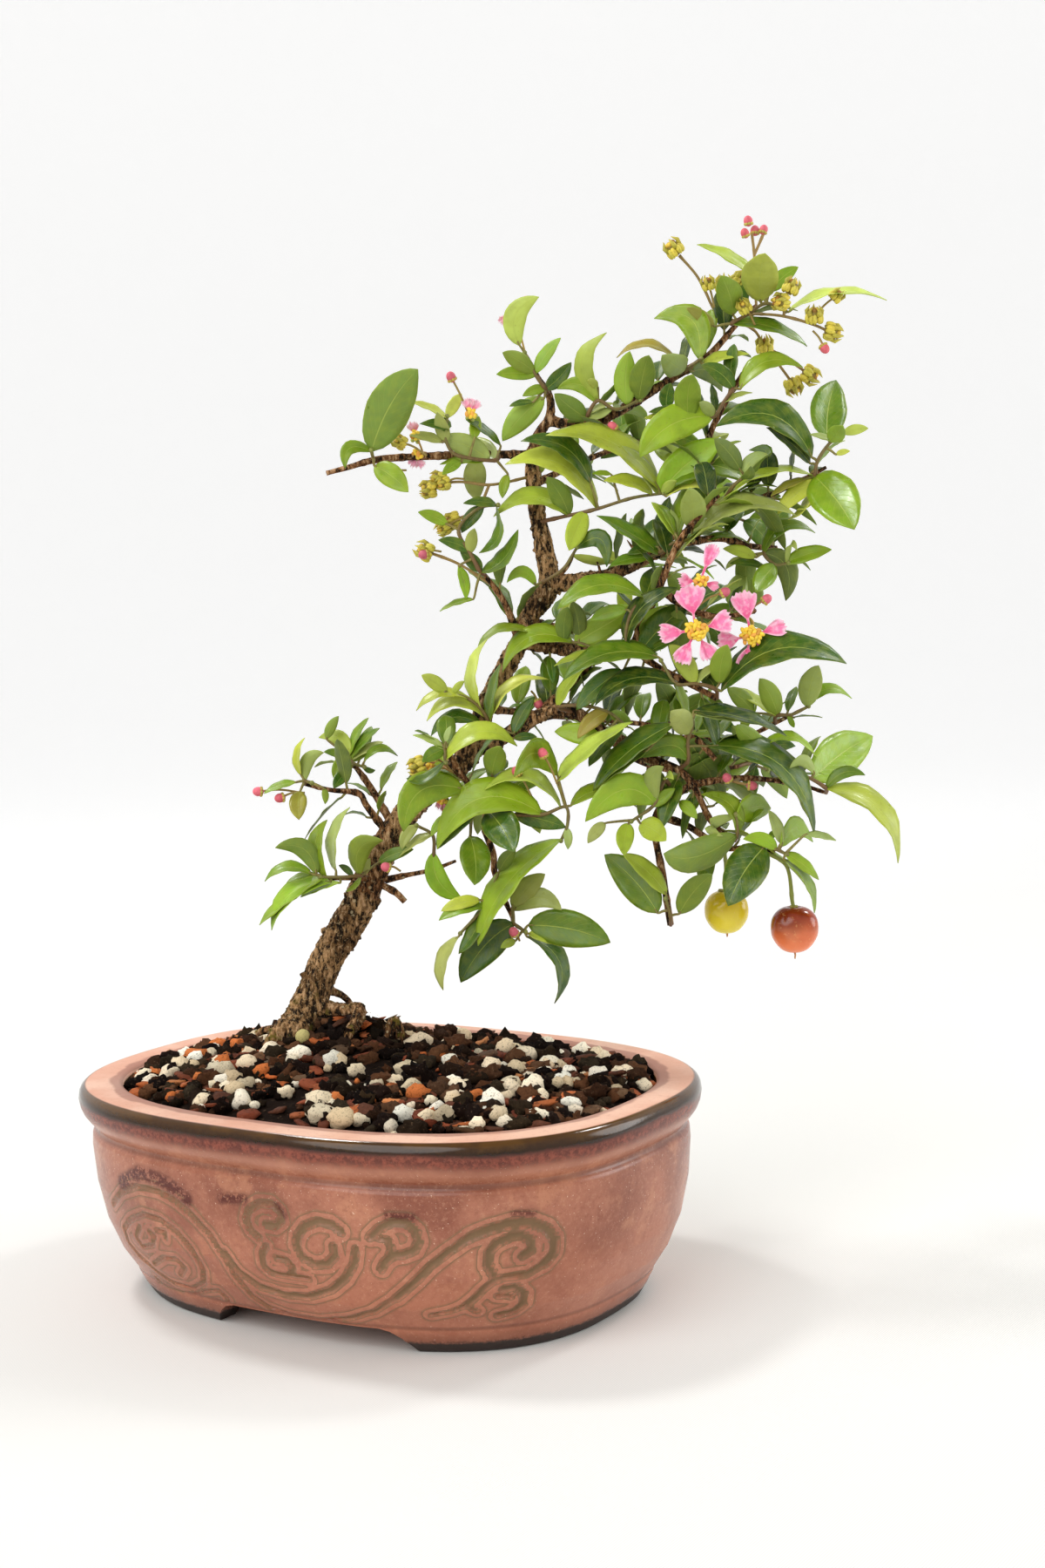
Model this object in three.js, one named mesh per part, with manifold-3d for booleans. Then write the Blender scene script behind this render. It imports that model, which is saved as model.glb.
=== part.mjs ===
// Barbados cherry bonsai in an oval glazed pot. Millimetres, +Z up, pot's long side along X.
import * as THREE from 'three';
import { mergeVertices } from 'three/addons/utils/BufferGeometryUtils.js';
import Module from 'manifold-3d';

const wasm = await Module();
wasm.setup();

// Pot: half length and half width of the rim, and the oval's squareness
const RIM_HALF_LENGTH = 103;
const RIM_HALF_WIDTH = 81;
const SQUARENESS = 2.6;
const POT_SIDES = 44;
const RIM_HEIGHT = 70;
const RIM_FLAT = 14;
const WALL = 7;
const FOOT_HEIGHT = 8.6;
const FOOT_WIDTH = 9;
const FLOOR_TOP = 15;
const INSIDE_HEIGHTS = [60, 44, 28, FLOOR_TOP];
const LIP_DROP = 3;
const LIP_INSET = RIM_FLAT + 0.8;
const RECESS_HEIGHT = 7.1;
const ARCH_HEIGHT = 8;
const ARCH_CENTRE = 11;
const ARCH_TOP_HALF = 29;
const ARCH_BASE_HALF = 37;
const DRAIN_RADIUS = 6;
const DRAIN_OFFSET = 40;
const DRAIN_SIDES = 16;
const FOOT_INSET = 20;

// Outside of the pot from the table up: height, and how far it lies inside the rim's edge
const OUTSIDE = [
  [0, FOOT_INSET], [4, 17.5], [FOOT_HEIGHT, 15.4], [16, 11], [26, 7], [38, 4.6], [50, 3.8],
  [55.5, 4.9], [59, 2.6], [63, 0.5], [67, 0], [RIM_HEIGHT, 1.5],
];

// Soil, screens and the gap kept between pieces that touch
const GAP = 0.3;
const SOIL_FLOOR = 17;
const SOIL_EDGE_HEIGHT = 64;
const SOIL_TOP = new THREE.Vector3(-25, 18, 79);

// Soil's outside above its floor: height, and how far it lies inside the pot's mouth
const SOIL_RINGS = [[28, 0], [SOIL_EDGE_HEIGHT, 0], [SOIL_EDGE_HEIGHT + 4, 7], [SOIL_EDGE_HEIGHT + 7, 24]];

const SCREEN_SIZE = 22;
const SCREEN_THICKNESS = 1;
const SCREEN_BAR = 2;
const SCREEN_BARS = [-0.5, -0.17, 0.17, 0.5];

// Front viewpoint. Tree points are given as seen from it: across and up on a plane
// at SIGHT_RANGE, and how far the point stands in front of the trunk's upright plane
const VIEW_TURN = 0.6223;
const VIEW_RISE = 0.2558;
const VIEW_DISTANCE = 800;
const AIM_HEIGHT = 40;
const VIEW_YAW = 0.0616;
const VIEW_PITCH = 0.0993;
const VIEW_ROLL = -0.0291;
const SIGHT_RANGE = 816;
const TRUNK_PLANE = 807;

// Wood, leaves and flowers
const TRUNK_SIDES = 8;
const BRANCH_SIDES = 5;
const TWIG_SIDES = 5;
const TWIG_RADIUS = 0.75;
const TWIG_TIP = 0.55;
const LEAF_THICKNESS = 0.7;
const LEAF_RATIO = 2.35;
const LEAF_FOLD = 0.13;
const LARGE_LEAF = 7;
const NARROWEST_RATIO = 2.8;
const LEAF_SWING = 0.16;
const LEAF_BOW = 0.06;
const BASE_SPREAD = 1.5;
const STALK_RADIUS = 0.5;
const SHORTEST_STALK = 1.5;
const STALK_SIDES = 3;
const FLOWER_STALK_RADIUS = 0.55;
const FRUIT_STALK_RADIUS = 0.8;
const TOWARDS_VIEWER = 0.72;
const LEAF_SHIFTS = [0, 3, -3, 6, -6, 9, -9, 13, -13];
const TOUCH_VOLUME = 1e-6;

// Blade outlines: [place along the leaf, share of the full width]
const BROAD_PROFILE = [[0.02, 0.1], [0.3, 0.86], [0.66, 0.88]];
const SMALL_PROFILE = [[0.03, 0.2], [0.5, 1]];
const PETAL_PROFILE = [[0.05, 0.12], [0.35, 0.2], [0.68, 0.95], [0.88, 0.85]];

// Middle of the footprint of pot and crown together, measured from the pot's middle
const FOOTPRINT_MIDDLE = [12.75, 33.95];

const COLOURS = {
  glaze: 0xb07f70, mesh: 0x2b2b2b, soil: 0x3a2c24, bark: 0x6b5646, leaf: 0x5f8a33,
  pink: 0xee7fa4, red: 0xb5432b, yellow: 0xd9c347, seed: 0xb9a93a,
};

// Sight line through a seen place, met with the upright plane that stands near mm in front
function viewAxes() {
  const side = new THREE.Vector3(Math.cos(VIEW_TURN), Math.sin(VIEW_TURN), 0);
  const away = new THREE.Vector3(-Math.sin(VIEW_TURN), Math.cos(VIEW_TURN), 0);
  const eye = away.clone().multiplyScalar(-VIEW_DISTANCE * Math.cos(VIEW_RISE));
  eye.z = AIM_HEIGHT + VIEW_DISTANCE * Math.sin(VIEW_RISE);
  const level = away.clone().multiplyScalar(Math.cos(VIEW_YAW)).addScaledVector(side, Math.sin(VIEW_YAW));
  const forward = level.clone().multiplyScalar(Math.cos(VIEW_PITCH));
  forward.z = -Math.sin(VIEW_PITCH);
  const right = new THREE.Vector3().crossVectors(forward, new THREE.Vector3(0, 0, 1)).normalize();
  const up = new THREE.Vector3().crossVectors(right, forward);
  const c = Math.cos(VIEW_ROLL);
  const s = Math.sin(VIEW_ROLL);
  const rolledRight = right.clone().multiplyScalar(c).addScaledVector(up, s);
  const rolledUp = up.clone().multiplyScalar(c).addScaledVector(right, -s);
  return { eye, away, forward, right: rolledRight, up: rolledUp };
}

const VIEW = viewAxes();

function seen(across, up, near) {
  const ray = VIEW.forward.clone()
    .addScaledVector(VIEW.right, across / SIGHT_RANGE)
    .addScaledVector(VIEW.up, up / SIGHT_RANGE);
  const reach = (TRUNK_PLANE - near) / ray.dot(VIEW.away);
  return VIEW.eye.clone().addScaledVector(ray, reach);
}

// Closed skin over a row of rings, with both ends closed to a point
function loft(rings, start, end) {
  const count = rings[0].length;
  const points = [start, ...rings.flat(), end];
  const last = points.length - 1;
  const at = (ring, i) => 1 + ring * count + (i % count);
  const faces = [];
  for (let i = 0; i < count; i += 1) {
    faces.push(0, at(0, i + 1), at(0, i));
    faces.push(last, at(rings.length - 1, i), at(rings.length - 1, i + 1));
    for (let ring = 0; ring + 1 < rings.length; ring += 1) {
      faces.push(at(ring, i), at(ring, i + 1), at(ring + 1, i + 1));
      faces.push(at(ring, i), at(ring + 1, i + 1), at(ring + 1, i));
    }
  }
  const vertProperties = new Float32Array(points.flatMap((p) => [p.x, p.y, p.z]));
  const triVerts = new Uint32Array(faces);
  return new wasm.Manifold(new wasm.Mesh({ numProp: 3, vertProperties, triVerts }));
}

function meanOf(ring) {
  const sum = ring.reduce((total, p) => total.add(p), new THREE.Vector3());
  return sum.divideScalar(ring.length);
}

// Round bar with a radius at each point of its route
function tube(route, radii, sides, stepsPerSpan) {
  const curve = new THREE.CatmullRomCurve3(route, false, 'centripetal');
  const steps = (route.length - 1) * stepsPerSpan;
  let normal = new THREE.Vector3(0, 0, 1);
  const rings = [];
  for (let k = 0; k <= steps; k += 1) {
    const centre = curve.getPoint(k / steps);
    const along = curve.getTangent(k / steps);
    normal = normal.clone().addScaledVector(along, -normal.dot(along));
    if (normal.length() < 0.1) normal.crossVectors(along, new THREE.Vector3(1, 0, 0));
    normal.normalize();
    const across = new THREE.Vector3().crossVectors(along, normal);
    const span = Math.min(Math.floor(k / stepsPerSpan), route.length - 2);
    const radius = THREE.MathUtils.lerp(radii[span], radii[span + 1], k / stepsPerSpan - span);
    const ring = [];
    for (let i = 0; i < sides; i += 1) {
      const turn = (i / sides) * 2 * Math.PI;
      ring.push(centre.clone()
        .addScaledVector(normal, radius * Math.cos(turn))
        .addScaledVector(across, radius * Math.sin(turn)));
    }
    rings.push(ring);
  }
  return loft(rings, meanOf(rings[0]), meanOf(rings[rings.length - 1]));
}

function joined(solids) {
  return solids.reduce((whole, solid) => whole.add(solid));
}

// Level ring of the pot's rounded oval
function ovalRing(inset, height, sides = POT_SIDES) {
  const ring = [];
  const power = 2 / SQUARENESS;
  for (let i = 0; i < sides; i += 1) {
    const turn = (i / sides) * 2 * Math.PI;
    const c = Math.cos(turn);
    const s = Math.sin(turn);
    ring.push(new THREE.Vector3(
      (RIM_HALF_LENGTH - inset) * Math.sign(c) * Math.abs(c) ** power,
      (RIM_HALF_WIDTH - inset) * Math.sign(s) * Math.abs(s) ** power,
      height,
    ));
  }
  return ring;
}

function ovalBlock(inset, low, high) {
  const rings = [ovalRing(inset, low), ovalRing(inset, high)];
  return loft(rings, new THREE.Vector3(0, 0, low), new THREE.Vector3(0, 0, high));
}

function fromGeometry(geometry, place) {
  geometry.deleteAttribute('normal');
  geometry.deleteAttribute('uv');
  const welded = mergeVertices(geometry.applyMatrix4(place));
  const vertProperties = new Float32Array(welded.getAttribute('position').array);
  const corners = Array.from(welded.index.array);
  const faces = [];
  for (let i = 0; i < corners.length; i += 3) {
    const [a, b, c] = corners.slice(i, i + 3);
    if (a !== b && b !== c && a !== c) faces.push(a, b, c);
  }
  return new wasm.Manifold(new wasm.Mesh({ numProp: 3, vertProperties, triVerts: new Uint32Array(faces) }));
}

function moved(x, y, z) {
  return new THREE.Matrix4().makeTranslation(x, y, z);
}

// Pot: bowl with a broad flat rim, a foot ring arched on both long sides, two drain holes
function innerInset(height) {
  const above = OUTSIDE.findIndex(([h]) => h >= height);
  const [h1, i1] = OUTSIDE[Math.max(above, 1)];
  const [h0, i0] = OUTSIDE[Math.max(above, 1) - 1];
  return THREE.MathUtils.mapLinear(height, h0, h1, i0, i1) + WALL;
}

function footArch() {
  const outline = new THREE.Shape();
  outline.moveTo(-ARCH_BASE_HALF, -1);
  outline.lineTo(ARCH_BASE_HALF, -1);
  outline.lineTo(ARCH_TOP_HALF, ARCH_HEIGHT);
  outline.lineTo(-ARCH_TOP_HALF, ARCH_HEIGHT);
  const depth = 2 * RIM_HALF_WIDTH;
  const geometry = new THREE.ExtrudeGeometry(outline, { depth, bevelEnabled: false });
  const place = moved(ARCH_CENTRE, RIM_HALF_WIDTH, 0)
    .multiply(new THREE.Matrix4().makeRotationX(Math.PI / 2));
  return fromGeometry(geometry, place);
}

function drainHole(side) {
  const geometry = new THREE.CylinderGeometry(DRAIN_RADIUS, DRAIN_RADIUS, FLOOR_TOP, DRAIN_SIDES);
  const upright = new THREE.Matrix4().makeRotationX(Math.PI / 2);
  return fromGeometry(geometry, moved(side * DRAIN_OFFSET, 0, FOOT_HEIGHT + 4).multiply(upright));
}

function potSolid() {
  const rings = [
    ...OUTSIDE.map(([height, inset]) => ovalRing(inset, height)),
    ovalRing(RIM_FLAT, RIM_HEIGHT),
    ovalRing(LIP_INSET, RIM_HEIGHT - LIP_DROP),
    ...INSIDE_HEIGHTS.map((height) => ovalRing(Math.max(innerInset(height), RIM_FLAT), height)),
  ];
  const bowl = loft(rings, new THREE.Vector3(0, 0, 0), new THREE.Vector3(0, 0, FLOOR_TOP));
  const recess = ovalBlock(FOOT_INSET + FOOT_WIDTH, -1, RECESS_HEIGHT);
  return [recess, footArch(), drainHole(-1), drainHole(1)]
    .reduce((pot, cut) => pot.subtract(cut), bowl);
}

// Plastic drainage screen: a square grid over a drain hole
function screenSolid(side) {
  const bars = [];
  for (const place of SCREEN_BARS) {
    const shift = place * (SCREEN_SIZE - SCREEN_BAR);
    const low = FLOOR_TOP + GAP + SCREEN_THICKNESS / 2;
    const x = side * DRAIN_OFFSET;
    const lengthwise = new THREE.BoxGeometry(SCREEN_SIZE, SCREEN_BAR, SCREEN_THICKNESS);
    const crosswise = new THREE.BoxGeometry(SCREEN_BAR, SCREEN_SIZE, SCREEN_THICKNESS);
    bars.push(fromGeometry(lengthwise, moved(x, shift, low)));
    bars.push(fromGeometry(crosswise, moved(x + shift, 0, low)));
  }
  return joined(bars);
}

// Wood: each branch is a row of [across, up, near, radius]
const TRUNK = [
  [-81, -97, 6, 5.8], [-80, -91, 5, 5.8], [-77.5, -84, 3, 5.8], [-73.8, -77, 1, 6.1], [-70.4, -69, 0, 5.6],
  [-67, -60, 0, 5.5], [-62, -51, 0, 5.5], [-55, -38.5, 0, 5.4], [-50.5, -29, 1, 5],
  [-46, -18.5, 2, 4.4], [-39, -9, 3, 4], [-30, 0, 4, 3.8], [-20, 8, 5, 3.7],
  [-15.5, 17, 6, 3.5], [-13, 26.5, 6, 3.3], [-7, 37.5, 5, 3.1], [-1, 49, 4, 3.1],
  [2, 56.5, 3, 3.2], [7, 64.5, 2, 3.6], [9, 70, 2, 3.4], [8.4, 75, 1, 3], [7, 82.5, 0, 2.8],
  [5, 95, -1, 2.6], [3.6, 106, -2, 2.4], [3.3, 113, -3, 2.1], [5.5, 120, -3, 1.9],
  [9.5, 127, -3, 1.6], [9, 134.5, -4, 1.3], [6, 139, -4, 1], [1, 148, -5, 0.8],
];
const BRANCHES = {
  left: [[3.3, 113, -3, 1.8], [-8, 113.5, 0, 1.5], [-29, 113, 4, 1.4], [-51, 111.5, 8, 1.3],
    [-60, 109, 9, 1], [-67.5, 107, 10, 0.8]],
  rightFork: [[8, 68, 2, 3], [20, 70, 4, 2.6], [27.5, 71, 6, 2.4], [35, 74, 9, 2.2], [43, 78, 12, 2],
    [55, 83, 15, 1.7], [62, 90, 17, 1.4], [69, 97, 17, 1.2], [82, 98.5, 16, 1.1],
    [96, 104.5, 14, 0.9], [104.5, 109, 13, 0.7]],
  upperRight: [[9, 125, -3, 1.8], [21.5, 123, -1, 1.9], [31.5, 127.5, -1, 1.8], [38.5, 131.5, -2, 1.7],
    [52, 140, -4, 1.5], [63.5, 147, -6, 1.3], [74.5, 159, -8, 1], [80.5, 164.5, -9, 0.9]],
  upperSide: [[68, 96, 17, 1.1], [63.5, 108, 12, 1], [64.5, 120, 8, 1], [71.5, 134, 6, 0.9],
    [76, 141.5, 5, 0.8]],
  lenticelTwig: [[55, 83, 15, 1.3], [69, 84.5, 9, 1.2], [78, 82, 6, 1.1], [87.5, 81, 4, 1]],
  middleRight: [[-1, 49, 4, 2.2], [12, 46.5, 8, 2.1], [28.5, 45.5, 14, 2], [38, 47.5, 17, 1.9],
    [41.5, 55.5, 19, 1.8], [44.5, 62.5, 21, 1.6], [47, 67.5, 22, 1.4], [54, 83.5, 25, 1.2],
    [66.5, 98.5, 27, 0.9]],
  cutTwig: [[38, 47, 17, 1.4], [45.5, 41, 20, 1.3], [56.5, 35, 24, 1.2], [67, 29.5, 27, 1.1]],
  lowRight: [[-17, 11.5, 6, 2.8], [-4, 17.5, 9, 2.6], [8, 24.5, 12, 2.4], [18.5, 24.5, 15, 2.2],
    [26, 19, 18, 2], [34.5, 15, 20, 1.8], [42, 9.5, 22, 1.7], [53.5, 5, 24, 1.5], [58.5, 0, 25, 1.3],
    [65.5, -13.5, 26, 1.1], [73, -19.5, 26, 0.9]],
  lowRightSide: [[4, 23, 11, 1.7], [12, 30, 9, 1.5], [19.5, 36.5, 7, 1.3], [24, 42, 6, 1]],
  cutTwigLow: [[42, 9.5, 22, 1.2], [52, 14, 26, 1.1], [58.5, 16, 29, 1], [66.5, 8.5, 31, 1]],
  farRight: [[58.5, 0, 25, 1.2], [75, 2, 21, 1], [94.5, 0, 18, 0.8], [104.5, -3, 19, 0.6]],
  rightBack: [[42, 9.5, 22, 1.4], [60, 15, 14, 1.2], [75, 15.5, 11, 1], [87, 21, 12, 0.8],
    [97, 26, 14, 0.6]],
  hangingRight: [[58.5, 0, 25, 1.2], [47.5, -8, 23, 1.2], [45.5, -14, 22, 1.2], [48.5, -32.5, 22, 1.2],
    [51, -48.5, 22, 1.1]],
  lowest: [[46.5, -11, 22.5, 1.3], [56, -14, 23, 1.2], [69.5, -22, 25, 1], [77.5, -22, 25, 0.9],
    [86, -23.5, 26, 0.8]],
  front: [[-30, 0, 4, 1.9], [-21, -4.5, 14, 1.6], [-12.5, -9.5, 22, 1.6], [-13, -15, 22, 1.3],
    [-10, -24.5, 22, 1.2], [-9.5, -31, 22, 1.1], [-3.5, -46, 22, 0.8]],
  frontUp: [[-12.5, -9.5, 22, 1.4], [-23, 6.5, 26, 1.1], [-28.5, 14, 28, 0.9]],
  leftLow: [[-46, -17.5, 2, 1.5], [-54, -7, 5, 1.3], [-56, -3.5, 6, 1.2], [-66.5, -2, 8, 0.9],
    [-75, 0, 9, 0.7]],
  leftLowUp: [[-44.5, -14.5, 1, 1.6], [-51.5, -2.5, -2, 1.3], [-56, 4, -3, 1.1], [-60.5, 9.5, -4, 0.8]],
  leftBase: [[-48.5, -33, 2, 1.4], [-57, -32.5, 8, 0.9], [-68, -32.5, 11, 0.7]],
  rightBase: [[-47, -33, 2, 1.4], [-40.5, -31.5, 6, 1], [-31, -29.5, 9, 0.8], [-23, -26.5, 12, 0.6]],
  flowering: [[47, 67.5, 22, 1.3], [56, 61, 20, 1.1], [67, 57.5, 19, 1], [80, 59.5, 18, 0.8]],
  stub: [[-50, -34, 2, 1.4], [-43.5, -37.5, 6, 1.2], [-40.5, -40.5, 7, 1.2]],
  leftFork: [[-1, 49, 4, 1.7], [-6.5, 63, 8, 1.2], [-13, 72, 10, 0.8]],
  backUpper: [[4, 103, -2, 1.5], [18, 110, -18, 1.2], [36, 117, -34, 0.8]],
  backRight: [[35, 74, 9, 1.6], [44, 80, -8, 1.3], [56, 87, -24, 1], [68, 91, -36, 0.8]],
  backMiddle: [[2, 56, 3, 1.6], [20, 53, -14, 1.3], [38, 55, -28, 1], [52, 58, -40, 0.8]],
  backLow: [[-13, 26, 6, 1.6], [6, 24, -12, 1.3], [28, 22, -26, 1.1], [48, 20, -38, 0.8]],
  backFarRight: [[26, 19, 18, 1.5], [40, 8, 2, 1.2], [58, 4, -12, 1], [74, 6, -22, 0.8]],
  backLeft: [[-30, 0, 4, 1.5], [-22, -2, -14, 1.2], [-10, -6, -28, 0.8]],
};
const ROOTS = {
  right: [[-72.5, -76, 2, 4.6], [-67.5, -77.2, 5, 3], [-62, -77.6, 8, 2.3], [-56, -78, 11.5, 2.3],
    [-57.8, -83, 14.5, 2.1], [-61.6, -87.6, 17, 2], [-65, -93, 19, 1.9]],
  front: [[-75.5, -80, 4, 5], [-77, -86, 9, 3.7], [-78, -92, 12, 3]],
  left: [[-75.5, -79, 2, 4.8], [-80.5, -82.5, 5, 3.4], [-85.5, -87.5, 8, 2.4], [-90, -93, 10, 1.8]],
  back: [[-74, -79, -1, 5], [-71, -79, -11, 3.6], [-67, -85, -20, 2.6]],
};

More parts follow.
